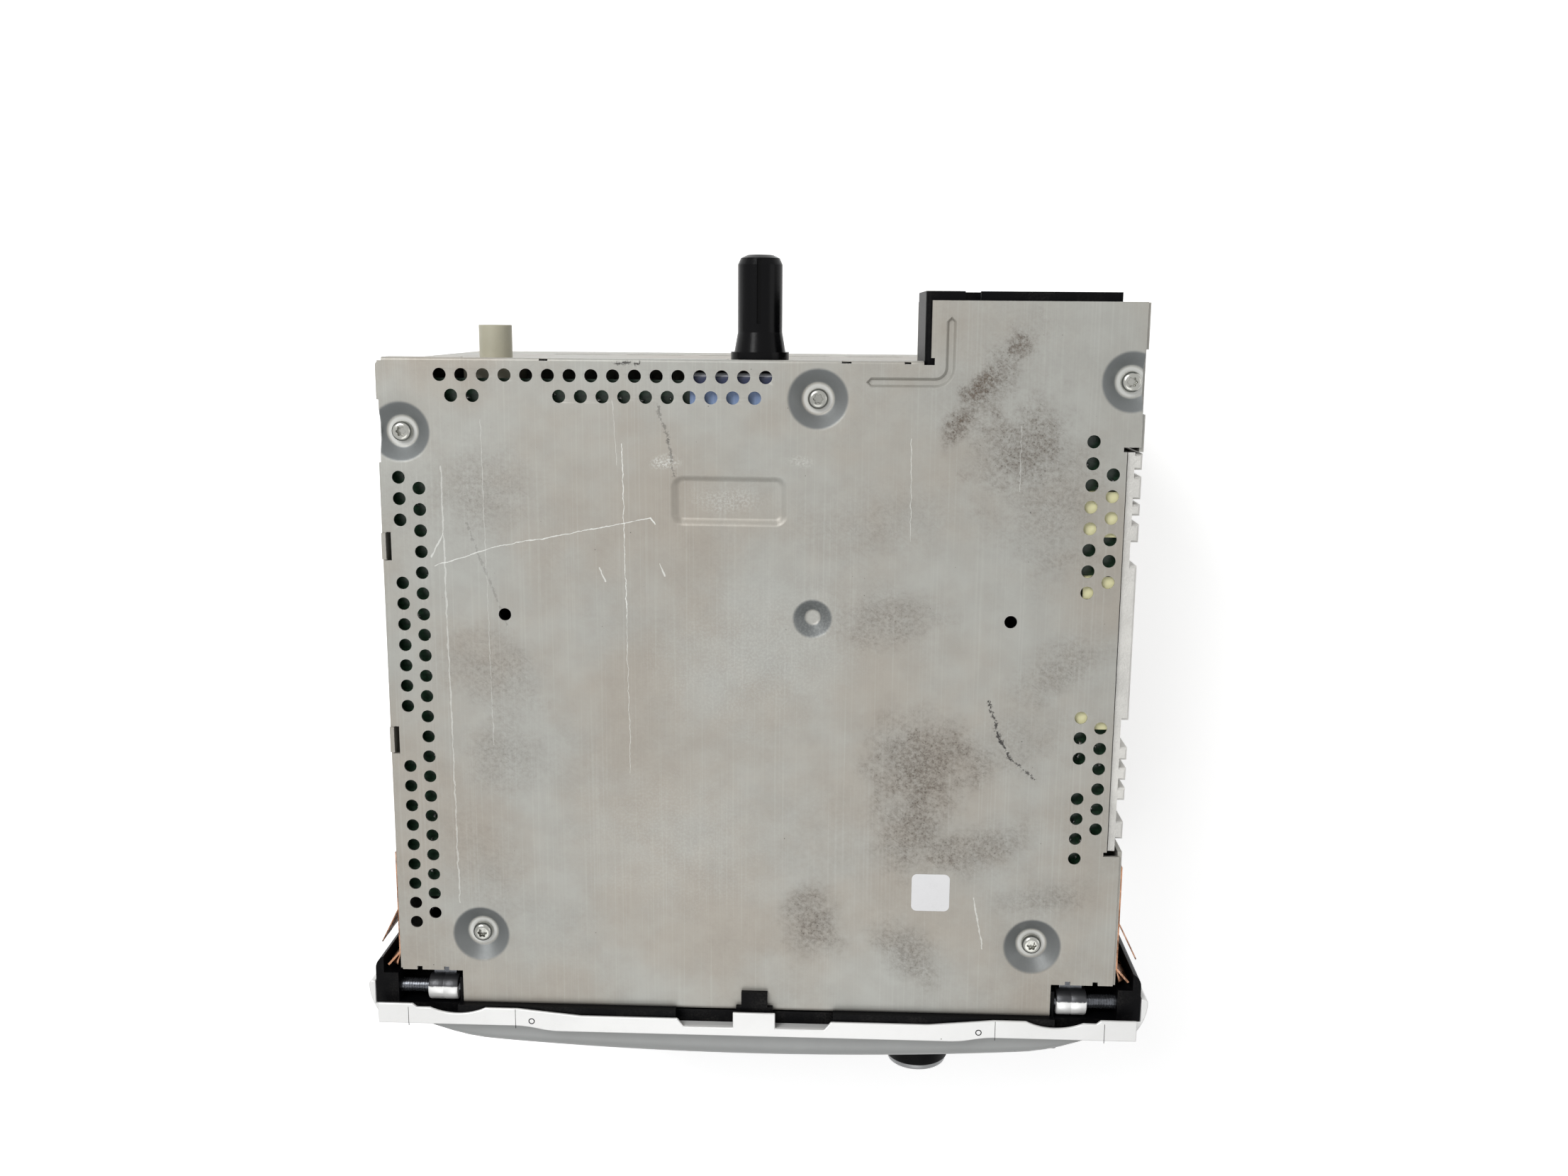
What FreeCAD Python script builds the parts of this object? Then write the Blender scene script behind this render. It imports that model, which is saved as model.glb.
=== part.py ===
# A built-in car CD player: a sheet metal case with a moulded front, a disc deck and its electronics.
# Millimetres. +Z is up, -Y is the front that faces the driver, and X runs to the driver's right.
# The origin is on the underside, in the middle of the case.
import FreeCAD, Part
import math
import os
import re
import Sketcher
from FreeCAD import Rotation, Vector

# Driving sizes: the name of each, its value and what it is.
SIZES = [
    # Case
    ("cover_width", 175.0, "top cover from side to side"),
    ("cover_front", 78.8, "top cover's front edge, before the origin"),
    ("cover_rear", 80.3, "top cover's rear edge, behind the origin"),
    ("case_height", 97.0, "underside to the outer face of the top cover"),
    ("sheet", 0.8, "thickness of the two covers"),
    ("wall", 1.0, "thickness of the side frame"),
    ("wall_show", 0.7, "side wall that shows beyond the cover's edge"),
    ("fold_height", 6.0, "height of the covers' folded edges"),
    ("fold_radius", 1.1, "outer radius of a folded edge"),
    ("rear_bend", 0.7, "outer radius of the top cover's rear fold"),
    ("seat_gap", 0.1, "clearance between parts that are pushed together"),
    ("run_gap", 0.3, "clearance round parts that move"),
    ("pin_gap", 0.05, "radial clearance of a pin that turns in its hole"),
    # Rear extension over the main connector
    ("extension_left", 39.4, "left edge of the extension"),
    ("extension_depth", 13.6, "how far the extension goes past the rear edge"),
    ("corner_relief", 1.6, "square relief cut at the extension's inner corner"),
    # Cut-outs in the cover's outline
    ("corner_wide", 15.0, "width of the front corner cut-outs"),
    ("corner_deep", 8.8, "depth of the front corner cut-outs"),
    ("bump_near", 3.4, "first small notch, from the corner cut-out's inner side"),
    ("bump_far", 10.1, "second small notch, from the same side"),
    ("bump_wide", 1.3, "width of a small notch"),
    ("bump_deep", 0.9, "depth of a small notch"),
    ("sink_step", 3.1, "how far the right edge steps in beside the heat sink"),
    ("sink_relief", 3.9, "depth of the relief slots at both ends of that step"),
    ("relief_wide", 1.1, "width of those relief slots"),
    ("sink_front", -36.8, "front end of the step"),
    ("sink_rear", 61.4, "rear end of the step"),
    ("tab_notch_deep", 1.6, "depth of the left edge's notches"),
    ("tab_notch_rear", 39.7, "rear end of the rear notch"),
    ("tab_notch_wide", 6.8, "length of a left notch"),
    ("tab_notch_pitch", 47.2, "distance between the two left notches"),
    # Dimples for the cover screws
    ("dimple_depth", 2.5, "depth of a screw dimple"),
    ("dimple_rim", 7.0, "rim radius of a screw dimple"),
    ("dimple_flat", 3.75, "radius of its flat floor"),
    ("screw_shank", 1.5, "radius of a cover screw's shank"),
    ("screw_head", 2.5, "radius of a screw's pan head"),
    ("head_height", 1.8, "height of that head"),
    ("front_dimple_in", 19.9, "front screws, from the cover's side"),
    ("front_dimple_back", 18.5, "front screws, from the cover's front edge"),
    ("blind_rim", 4.6, "rim radius of the blind dimple"),
    ("blind_flat", 1.7, "floor radius of the blind dimple"),
    # Ventilation holes
    ("vent_size", 3.05, "diameter of a ventilation hole"),
    ("vent_sides", 8, "sides of a ventilation hole's outline"),
    ("vent_pitch", 5.0, "distance between holes in a row"),
    ("vent_rear", 3.9, "rear row, from the rear edge"),
    ("vent_gap", 4.73, "distance between two staggered rows"),
    ("vent_left", 3.95, "outer left column, from the left edge"),
    ("vent_right", 6.0, "outer right column, from the right edge"),
    ("lock_hole", 3.0, "diameter of a transport lock hole"),
    ("lock_spacing", 118.9, "distance between the two lock holes"),
    ("lock_place", 20.4, "lock holes, behind the middle"),
    # Pressed shapes in the cover
    ("press_depth", 1.1, "depth of the pressed rectangle"),
    ("press_long", 26.2, "length of the pressed rectangle"),
    ("press_wide", 11.2, "width of the pressed rectangle"),
    ("press_slope", 1.5, "width of its sloped side"),
    ("bead_wide", 2.4, "width of the stiffening bead"),
    ("bead_depth", 0.5, "depth of the stiffening bead"),
    # Rear fittings
    ("post_radius", 5.2, "radius of the locating post"),
    ("post_drop", 11.0, "locating post's axis below the cover"),
    ("post_length", 24.6, "locating post beyond the rear wall"),
    ("jack_radius", 3.85, "outer radius of the antenna jack"),
    ("jack_bore", 2.6, "bore radius of the antenna jack"),
    ("jack_place", -62.6, "antenna jack's axis"),
    ("jack_drop", 12.0, "antenna jack's axis below the cover"),
    ("jack_length", 8.2, "antenna jack beyond the rear wall"),
    ("plug_left", 38.0, "left side of the main connector"),
    ("plug_wide", 44.0, "width of the main connector"),
    ("plug_tall", 32.0, "height of the main connector"),
    ("plug_proud", 2.1, "main connector beyond the extension's rear edge"),
    ("plug_wall", 1.6, "wall of a connector cavity"),
    ("plug_floor", 10.0, "depth of a connector cavity"),
    # Heat sink
    ("sink_low", 34.0, "lower edge of the heat sink"),
    ("sink_base", 1.6, "thickness of the heat sink's plate"),
    ("sink_fin", 1.9, "how far its fins stand out"),
    ("fin_wide", 3.0, "thickness of a fin"),
    ("fin_pitch", 5.0, "distance between fins"),
    # Main board
    ("board", 1.6, "thickness of a circuit board"),
    ("board_front_gap", 12.8, "main board's front edge, behind the cover's"),
    ("board_rear_gap", 4.8, "main board's rear edge, before the cover's"),
    ("board_gap", 0.9, "clearance beside the main board"),
    # Disc deck
    ("disc_level", 46.4, "underside of a loaded disc"),
    ("disc_size", 120.0, "diameter of a disc"),
    ("deck_level", 33.0, "underside of the deck frame's plate"),
    ("deck_sheet", 1.2, "thickness of the deck frame"),
    ("deck_side", 74.0, "half width of the deck frame"),
    ("deck_front", -70.0, "front edge of the deck frame"),
    ("deck_rear", 64.0, "rear edge of the deck frame"),
    ("deck_wall", 43.0, "top of the deck frame's side walls"),
    ("damper_height", 8.0, "height of a rubber damper"),
    ("damper_side", 62.0, "dampers, from the middle"),
    ("platter_radius", 15.0, "radius of the turntable"),
    ("hub_radius", 7.3, "radius of the turntable's hub"),
    ("rod_radius", 1.5, "radius of a guide rod"),
    ("rod_level", 38.5, "axis of the guide rods"),
    ("rod_side", 17.0, "guide rods, from the middle"),
    ("screw_side", 30.0, "lead screw, from the middle"),
    ("roller_radius", 3.5, "radius of the loading roller"),
    ("roller_place", -64.0, "loading roller's axis"),
    ("gear_module", 0.6, "module of the loading gears"),
    ("gear_width", 2.4, "width of a loading gear"),
    ("gear_drop", 2.5, "loading motor's axis, below the roller's"),
    ("arm_level", 51.6, "underside of the clamp arm"),
    ("arm_pivot", 58.0, "pivot of the clamp arm"),
    # Front
    ("front_over", 3.0, "bezel's top above the cover"),
    ("bezel_beyond", 9.0, "bezel's widest point, beyond the cover's side"),
    ("strip_beyond", 5.8, "bezel's front edge, beyond the cover's side"),
    ("strip_tall", 3.6, "height of the bezel's top and bottom bars"),
    ("strip_front", 4.2, "bezel's front edge at its ends, before the cover"),
    ("frame_thick", 3.4, "thickness of the front frame"),
    ("strip_dip", 3.2, "deepest step of the bezel's rear edge, before the cover"),
    ("frame_lap", 0.6, "how far the front frame laps over the cover's front edge"),
    ("panel_beyond", 0.5, "centre panel's end, beyond the cover's side"),
    ("panel_front", 13.5, "middle of the centre panel, before the cover"),
    ("panel_bow", 4.4, "how much its ends fall back from its middle"),
    ("panel_shell", 2.0, "wall thickness of the centre panel"),
    ("panel_edge", 4.0, "edge radius of the centre panel"),
    ("panel_back", 3.9, "rear edge of the centre panel, before the cover"),
    ("slot_level", 47.0, "middle of the disc slot"),
    ("slot_wide", 124.0, "width of the disc slot"),
    ("slot_tall", 5.0, "height of the disc slot"),
    ("window_left", -64.0, "left edge of the display window"),
    ("window_wide", 86.0, "width of the display window"),
    ("window_low", 58.0, "lower edge of the display window"),
    ("window_tall", 30.0, "height of the display window"),
    ("knob_place", 41.4, "knob's axis, right of the middle"),
    ("knob_level", 77.0, "knob's axis above the base"),
    ("knob_radius", 8.2, "radius of the knob"),
    ("knob_proud", 8.3, "how far the knob stands out of the panel's middle"),
    ("knob_length", 7.9, "length of the knob, which ends in front of the panel"),
    ("knob_press", 0.8, "travel of the knob's push switch"),
    ("shaft_radius", 3.0, "radius of the encoder's shaft"),
    ("encoder_deep", 4.0, "depth of the encoder's case"),
    ("neck_length", 2.6, "how far the encoder's neck stands out of its case"),
    ("key_travel", 1.0, "travel of a key"),
    ("key_proud", 1.2, "how far a key stands out of the panel"),
    ("key_corner", 1.2, "cut corner of a key"),
    ("flange_thick", 0.8, "thickness of the flange that holds a key in the panel"),
    ("key_pitch", 25.0, "distance between the numbered keys"),
    ("key_level", 24.0, "numbered keys' middle above the base"),
    # Corner latches and side springs
    ("drum_radius", 3.3, "radius of a latch barrel"),
    ("drum_length", 7.5, "length of a latch barrel"),
    ("drum_side", 74.2, "inner end of a latch barrel, from the middle"),
    ("drum_level", 93.2, "latch barrel's axis above the base"),
    ("drum_place", 2.9, "latch barrel's axis, behind the cover's front edge"),
    ("shaft_thin", 1.75, "radius of the barrel's thin shaft"),
    ("latch_arm", 9.0, "reach of the latch arm behind the barrel's axis"),
    ("spring_sheet", 0.5, "thickness of the side springs"),
    ("blade_root", 24.2, "blade's bend, behind the cover's front edge"),
    ("blade_reach", 9.8, "length of the blade along the side"),
    ("blade_flare", 5.6, "how far the blade's end stands out"),
    ("blade_low", 81.5, "lower edge of the blade"),
    ("blade_high", 93.5, "upper edge of the blade"),
]

NAMES = {name for name, number, meaning in SIZES}
AXES = {"X": Vector(1, 0, 0), "Y": Vector(0, 1, 0), "Z": Vector(0, 0, 1)}
TURN_TO = {"X": Rotation(Vector(0, 1, 0), 90), "Y": Rotation(Vector(1, 0, 0), -90), "Z": Rotation()}

document = FreeCAD.newDocument("car_cd_player")
sheet = document.addObject("Spreadsheet::Sheet", "sizes")
for row, (name, number, meaning) in enumerate(SIZES, start=1):
    sheet.set(f"A{row}", meaning)
    sheet.set(f"B{row}", str(number))
    sheet.setAlias(f"B{row}", name)
document.recompute()

pieces = {}


# Reading and binding sizes

def bound(text):
    """The expression with each size's name led by the sheet's name."""
    return re.sub(r"[a-z_]+", lambda found: "sizes." + found[0] if found[0] in NAMES else found[0], str(text))


def number(text):
    """The expression's value in millimetres."""
    return float(sheet.evalExpression(bound(text)))


def keep(name, item):
    """Registers a finished piece under the name of its file."""
    item.Label = name
    pieces[name] = item
    return item


# Outlines. Each is a closed list of points; a point of four values is reached by an arc through the last two.

def rectangle(left, right, low, high):
    return [(left, low), (right, low), (right, high), (left, high)]


def rounded(left, right, low, high, radius):
    """A rectangle with round corners."""
    diagonal = f"({radius}) * {1 - math.sqrt(0.5)}"
    return [
        (f"{right} - ({radius})", low),
        (right, f"{low} + {radius}", f"{right} - ({diagonal})", f"{low} + {diagonal}"),
        (right, f"{high} - ({radius})"),
        (f"{right} - ({radius})", high, f"{right} - ({diagonal})", f"{high} - ({diagonal})"),
        (f"{left} + {radius}", high),
        (left, f"{high} - ({radius})", f"{left} + {diagonal}", f"{high} - ({diagonal})"),
        (left, f"{low} + {radius}"),
        (f"{left} + {radius}", low, f"{left} + {diagonal}", f"{low} + {diagonal}"),
    ]


def bevelled(left, right, low, high, bevel):
    """A rectangle with cut corners."""
    return [
        (f"{left} + {bevel}", low),
        (f"{right} - ({bevel})", low),
        (right, f"{low} + {bevel}"),
        (right, f"{high} - ({bevel})"),
        (f"{right} - ({bevel})", high),
        (f"{left} + {bevel}", high),
        (left, f"{high} - ({bevel})"),
        (left, f"{low} + {bevel}"),
    ]


def vent_slot(start, end, middle, radius):
    """A slot with bevelled ends, along the sketch's first axis."""
    return bevelled(start, end, f"{middle} - {radius}", f"{middle} + {radius}", f"{radius} * 0.6")


def both_sides(low, high):
    """The span from low to high on the left side and on the right: two pairs of ends."""
    return (("left", -1, (f"-({high})", f"-({low})")), ("right", 1, (low, high)))


def circle(across, up, radius):
    return {"centre": (across, up), "radius": radius}


# Sketches and features

def pin_down(sketch, kind, element, end, text, amount):
    """A distance from the sketch's origin, bound to its expression."""
    place = sketch.addConstraint(Sketcher.Constraint(kind, -1, 1, element, end, amount))
    sketch.setExpression(f"Constraints[{place}]", bound(text))


def draw_circle(sketch, shape):
    across, up = shape["centre"]
    centre = Vector(number(across), number(up), 0)
    radius = number(shape["radius"])
    element = sketch.addGeometry(Part.Circle(centre, Vector(0, 0, 1), radius), False)
    place = sketch.addConstraint(Sketcher.Constraint("Radius", element, radius))
    sketch.setExpression(f"Constraints[{place}]", bound(shape["radius"]))
    pin_down(sketch, "DistanceX", element, 3, across, centre.x)
    pin_down(sketch, "DistanceY", element, 3, up, centre.y)


def draw_outline(sketch, points):
    """Lines and arcs from point to point. A sketch keeps every arc counterclockwise."""
    ends = [Vector(number(point[0]), number(point[1]), 0) for point in points]
    elements = []
    for place, point in enumerate(points):
        start = ends[place - 1]
        if len(point) == 4:
            middle = Vector(number(point[2]), number(point[3]), 0)
            turn = (middle - start).cross(ends[place] - start).z
            forward = turn > 0
            first, last = (start, ends[place]) if forward else (ends[place], start)
            element = sketch.addGeometry(Part.Arc(first, middle, last), False)
            guide = sketch.addGeometry(Part.Point(middle), True)
            pin_down(sketch, "DistanceX", guide, 1, point[2], middle.x)
            pin_down(sketch, "DistanceY", guide, 1, point[3], middle.y)
            sketch.addConstraint(Sketcher.Constraint("PointOnObject", guide, 1, element))
        else:
            element = sketch.addGeometry(Part.LineSegment(start, ends[place]), False)
            forward = True
        elements.append((element, 2 if forward else 1, 1 if forward else 2))
    for place, point in enumerate(points):
        element, last, first = elements[place]
        following, unused_last, next_first = elements[(place + 1) % len(points)]
        sketch.addConstraint(Sketcher.Constraint("Coincident", element, last, following, next_first))
        pin_down(sketch, "DistanceX", element, last, point[0], ends[place].x)
        pin_down(sketch, "DistanceY", element, last, point[1], ends[place].y)


def sketch_on(body, name, plane, level, shapes, shift=("0", "0")):
    """A sketch parallel to a base plane: XY at a height, XZ at a depth or YZ at a distance to the right."""
    sketch = body.newObject("Sketcher::SketchObject", f"{body.Name}_{name}_sketch")
    role = f"{plane}_Plane"
    base = [feature for feature in body.Origin.OriginFeatures if feature.Role == role][0]
    sketch.AttachmentSupport = [(base, "")]
    sketch.MapMode = "FlatFace"
    sign = "-1" if plane == "XZ" else "1"
    sketch.setExpression(".AttachmentOffset.Base.x", bound(shift[0]))
    sketch.setExpression(".AttachmentOffset.Base.y", bound(shift[1]))
    sketch.setExpression(".AttachmentOffset.Base.z", bound(f"({level}) * {sign}"))
    for shape in shapes:
        if isinstance(shape, dict):
            draw_circle(sketch, shape)
        else:
            draw_outline(sketch, shape)
    return sketch


def new_body(name):
    body = document.addObject("PartDesign::Body", name)
    document.recompute()
    return body


def extrude(body, name, plane, low, high, shapes, cut=False, shift=("0", "0")):
    """Adds or cuts the outlines from one level to another along the plane's own axis."""
    sketch = sketch_on(body, name, plane, low, shapes, shift)
    kind = "PartDesign::Pocket" if cut else "PartDesign::Pad"
    feature = body.newObject(kind, f"{body.Name}_{name}")
    feature.Profile = sketch
    feature.Reversed = (plane == "XZ") != cut
    feature.setExpression("Length", bound(f"({high}) - ({low})"))
    return feature


def revolve(body, name, plane, level, shift, points, cut=False, axis="V_Axis"):
    """Turns an outline round its own sketch's axis."""
    sketch = sketch_on(body, name, plane, level, [points], shift)
    kind = "PartDesign::Groove" if cut else "PartDesign::Revolution"
    feature = body.newObject(kind, f"{body.Name}_{name}")
    feature.Profile = sketch
    feature.ReferenceAxis = (sketch, [axis])
    feature.Angle = 360
    return feature


def loft(body, name, plane, sections, cut=False):
    """Joins outlines of as many corners at several levels."""
    sketches = []
    for place, (level, shape) in enumerate(sections):
        sketches.append(sketch_on(body, f"{name}_{place}", plane, level, [shape]))
    kind = "PartDesign::SubtractiveLoft" if cut else "PartDesign::AdditiveLoft"
    feature = body.newObject(kind, f"{body.Name}_{name}")
    feature.Profile = sketches[0]
    feature.Sections = sketches[1:]
    feature.Ruled = True
    return feature


def repeat(body, feature, axis, pitch, count):
    """Repeats a feature along one of the body's own axes."""
    pattern = body.newObject("PartDesign::LinearPattern", f"{feature.Name}_row")
    line = [item for item in body.Origin.OriginFeatures if item.Role == f"{axis}_Axis"][0]
    pattern.Originals = [feature]
    pattern.Direction = (line, [""])
    pattern.Occurrences = count
    pattern.setExpression("Length", bound(f"{pitch} * {count - 1}"))
    body.Tip = pattern
    return pattern


def edges_along(shape, axis, corners):
    """Names of the straight edges parallel to an axis that pass through the given corners."""
    near = 0.02
    names = []
    for place, edge in enumerate(shape.Edges, start=1):
        if edge.Curve.TypeId != "Part::GeomLine":
            continue
        if abs(edge.tangentAt(edge.FirstParameter).dot(AXES[axis])) < 0.999:
            continue
        point = edge.Vertexes[0].Point
        flat = {"X": (point.y, point.z), "Y": (point.x, point.z), "Z": (point.x, point.y)}[axis]
        for corner in corners:
            if abs(flat[0] - corner[0]) < near and abs(flat[1] - corner[1]) < near:
                names.append(f"Edge{place}")
                break
    return names


def edges_at(shape, axis, level, inside=None):
    """Names of the edges that lie at one level, within a box if one is given."""
    near = 0.02
    names = []
    for place, edge in enumerate(shape.Edges, start=1):
        box = edge.BoundBox
        low, high = {"X": (box.XMin, box.XMax), "Y": (box.YMin, box.YMax), "Z": (box.ZMin, box.ZMax)}[axis]
        if abs(low - level) > near or abs(high - level) > near:
            continue
        if inside and not all(inside[0][k] <= box.Center[k] <= inside[1][k] for k in range(3)):
            continue
        names.append(f"Edge{place}")
    return names


def dress(body, kind, name, names, size):
    """A fillet or chamfer on the named edges of the body's newest feature."""
    base = body.Tip
    feature = body.newObject(f"PartDesign::{kind}", f"{body.Name}_{name}")
    feature.Base = (base, names)
    feature.setExpression("Radius" if kind == "Fillet" else "Size", bound(size))
    return feature


def round_along(body, name, axis, corners, radius):
    document.recompute()
    places = [(number(across), number(up)) for across, up in corners]
    return dress(body, "Fillet", name, edges_along(body.Tip.Shape, axis, places), radius)


def round_at(body, name, axis, level, radius, inside=None):
    document.recompute()
    return dress(body, "Fillet", name, edges_at(body.Tip.Shape, axis, number(level), inside), radius)


def bevel_at(body, name, axis, level, size, inside=None):
    document.recompute()
    return dress(body, "Chamfer", name, edges_at(body.Tip.Shape, axis, number(level), inside), size)


# Simple solids and their sums

def place_at(item, across, deep, up):
    for letter, text in (("x", across), ("y", deep), ("z", up)):
        item.setExpression(f".Placement.Base.{letter}", bound(text))
    return item


def block(name, left, right, front, rear, low, high):
    item = document.addObject("Part::Box", name)
    item.setExpression("Length", bound(f"({right}) - ({left})"))
    item.setExpression("Width", bound(f"({rear}) - ({front})"))
    item.setExpression("Height", bound(f"({high}) - ({low})"))
    return place_at(item, left, front, low)


def rod(name, axis, across, deep, up, radius, length):
    """A round bar that starts at a point and runs along an axis."""
    item = document.addObject("Part::Cylinder", name)
    item.setExpression("Radius", bound(radius))
    item.setExpression("Height", bound(length))
    item.Placement.Rotation = TURN_TO[axis]
    return place_at(item, across, deep, up)


def prism(name, axis, across, deep, up, radius, length, sides):
    """A bar of regular section that starts at a point and runs along an axis."""
    item = document.addObject("Part::Prism", name)
    item.Polygon = sides
    item.setExpression("Circumradius", bound(radius))
    item.setExpression("Height", bound(length))
    item.Placement.Rotation = TURN_TO[axis]
    return place_at(item, across, deep, up)


def cut_away(name, base, *tools):
    for place, tool in enumerate(tools):
        item = document.addObject("Part::Cut", f"{name}_cut{place}")
        item.Base = base
        item.Tool = tool
        base = item
    return base


def joined(name, *items):
    item = document.addObject("Part::MultiFuse", f"{name}_joined")
    item.Shapes = list(items)
    item.Refine = True
    return item


def punch(name, across, deep, low, high, size):
    """A many-sided punch for one ventilation hole."""
    sides = int(number("vent_sides"))
    return prism(name, "Z", across, deep, low, f"{size} / 2", f"({high}) - ({low})", sides)


def together(name, items):
    """A group of separate solids in one node."""
    item = document.addObject("Part::Compound", f"{name}_group")
    item.Links = list(items)
    return item


# Shared places

UNDER = "case_height - sheet"
FRONT = "-(cover_front)"
REAR = "cover_rear"
SIDE = "cover_width / 2"
WALL_OUT = "cover_width / 2 + wall_show"
WALL_IN = "cover_width / 2 + wall_show - wall"
CORNER = "cover_width / 2 - corner_wide"
REAR_WALL = "cover_rear - sheet - seat_gap"
SINK_IN = "cover_width / 2 - sink_step + seat_gap + run_gap"
PLUG_TOP = "case_height - sheet - bead_depth - seat_gap"
PLUG_LOW = "case_height - sheet - bead_depth - seat_gap - plug_tall"
BOARD_LEFT = "-(cover_width) / 2 - wall_show + wall + board_gap"
BOARD_RIGHT = "cover_width / 2 - sink_step + seat_gap + run_gap - board_gap"
BOARD_FRONT = "-(cover_front) + board_front_gap"
BOARD_REAR = "cover_rear - board_rear_gap"
BOARD_TOP = "case_height - sheet - dimple_depth"
BOARD_UNDER = "case_height - sheet - dimple_depth - board"
DECK_TOP = "deck_level + deck_sheet"
PANEL_FACE = "-(cover_front) - panel_front"
PANEL_BACK = "-(cover_front) - panel_back"
PANEL_HALF = "cover_width / 2 + panel_beyond"
STRIP_HALF = "cover_width / 2 + strip_beyond"
BEZEL_HALF = "cover_width / 2 + bezel_beyond"
FRONT_TOP = "case_height + front_over"
FRAME_FACE = "-(cover_front) - run_gap - frame_thick"
FRAME_STEP = "-(cover_front) - strip_dip"
FRAME_BACK = "-(cover_front) - run_gap"
WING_IN = "cover_width / 2 + wall_show + spring_sheet + run_gap"
CONTROL_FACE = "-(cover_front) - 2 * run_gap - frame_thick - board"
FLAP_DEEP = "-(cover_front) + 1"
GEAR_SIDE = "63 + deck_sheet + run_gap"
PINION_TEETH = 9
IDLER_TEETH = 24
ROLLER_TEETH = 16

# The screw dimples: name, right of the middle, behind the middle
SCREW_DIMPLES = [
    ("front_left", "-(cover_width) / 2 + front_dimple_in", "-(cover_front) + front_dimple_back"),
    ("front_right", "cover_width / 2 - front_dimple_in", "-(cover_front) + front_dimple_back"),
    ("rear_middle", "13.9", "cover_rear - 8.7"),
    ("rear_left", "-(cover_width) / 2 + 4.7", "cover_rear - 17.1"),
    ("rear_right", "cover_width / 2 - 2.6", "cover_rear - 4.2"),
]
# The screws that hold the bottom cover's folds: how far behind the middle, and how high
FRAME_SCREWS = [("-40", "7"), ("50", "7")]


# Casing

def cover_outline():
    """The top cover seen from above, from its front left round by the right."""
    half = SIDE
    notch_back = f"{FRONT} + corner_deep"
    bump_back = f"{notch_back} + bump_deep"
    step = f"{half} - sink_step"
    relief = f"{half} - sink_relief"
    right = [
        (CORNER, FRONT),
        (CORNER, notch_back),
        (f"{CORNER} + bump_near", notch_back),
        (f"{CORNER} + bump_near", bump_back),
        (f"{CORNER} + bump_near + bump_wide", bump_back),
        (f"{CORNER} + bump_near + bump_wide", notch_back),
        (f"{CORNER} + bump_far", notch_back),
        (f"{CORNER} + bump_far", bump_back),
        (f"{CORNER} + bump_far + bump_wide", bump_back),
        (f"{CORNER} + bump_far + bump_wide", notch_back),
        (half, notch_back),
    ]
    left = [(f"-({across})", deep) for across, deep in reversed(right)]
    heat_sink_side = [
        (half, "sink_front"),
        (relief, "sink_front"),
        (relief, "sink_front + relief_wide"),
        (step, "sink_front + relief_wide"),
        (step, "sink_rear - relief_wide"),
        (relief, "sink_rear - relief_wide"),
        (relief, "sink_rear"),
        (half, "sink_rear"),
    ]
    rear = [
        (half, f"{REAR} + extension_depth"),
        ("extension_left", f"{REAR} + extension_depth"),
        ("extension_left", f"{REAR} + corner_relief / 2"),
        ("extension_left + corner_relief / 2", f"{REAR} + corner_relief / 2"),
        ("extension_left + corner_relief / 2", f"{REAR} - corner_relief / 2"),
        ("extension_left - corner_relief", f"{REAR} - corner_relief / 2"),
        ("extension_left - corner_relief", REAR),
        (f"-({half})", REAR),
    ]
    left_edge = []
    for start in ("tab_notch_rear", "tab_notch_rear - tab_notch_pitch"):
        left_edge += [
            (f"-({half})", start),
            (f"-({half}) + tab_notch_deep", start),
            (f"-({half}) + tab_notch_deep", f"{start} - tab_notch_wide"),
            (f"-({half})", f"{start} - tab_notch_wide"),
        ]
    return right + heat_sink_side + rear + left_edge + left


def vent_places():
    """Where the top cover's ventilation holes are, row by row and column by column."""
    rear_row = f"{REAR} - vent_rear"
    rear_start = f"-({SIDE}) + 14.4"
    outer_left = f"-({SIDE}) + vent_left"
    inner_left = f"{outer_left} + vent_gap"
    outer_right = f"{SIDE} - vent_right"
    inner_right = f"{outer_right} - vent_gap"
    rows = [
        (rear_start, rear_row, 16),
        (f"{rear_start} + vent_pitch / 2", f"{rear_row} - vent_gap", 2),
        (f"{rear_start} + vent_pitch * 5.5", f"{rear_row} - vent_gap", 10),
    ]
    columns = [
        (inner_left, "cover_rear - 30.2", 22),
        (outer_left, "cover_rear - 27.7", 3),
        (outer_left, "cover_rear - 52.7", 7),
        (outer_left, "cover_rear - 97.7", 9),
        (inner_right, "cover_rear - 17.7", 8),
        (inner_right, "cover_rear - 82.7", 3),
        (inner_right, "cover_rear - 102.7", 4),
        (outer_right, "cover_rear - 25.2", 6),
        (outer_right, "cover_rear - 85.2", 6),
    ]
    places = []
    for across, deep, count in rows:
        for place in range(count):
            places.append((f"{across} + {place} * vent_pitch", deep))
    for across, deep, count in columns:
        for place in range(count):
            places.append((across, f"{deep} - {place} * vent_pitch"))
    return places


def dimple(body, name, across, deep, rim, flat, hole):
    """A conical dish pressed into the cover, with or without a hole in its floor."""
    top = "case_height"
    extrude(body, f"{name}_opening", "XY", UNDER, top, [circle(across, deep, rim)], cut=True)
    section = [
        (hole, f"{top} - dimple_depth"),
        (hole, f"{UNDER} - dimple_depth"),
        (flat, f"{UNDER} - dimple_depth"),
        (rim, UNDER),
        (rim, top),
        (flat, f"{top} - dimple_depth"),
    ]
    revolve(body, f"{name}_dish", "XZ", deep, (across, "0"), section)


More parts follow.
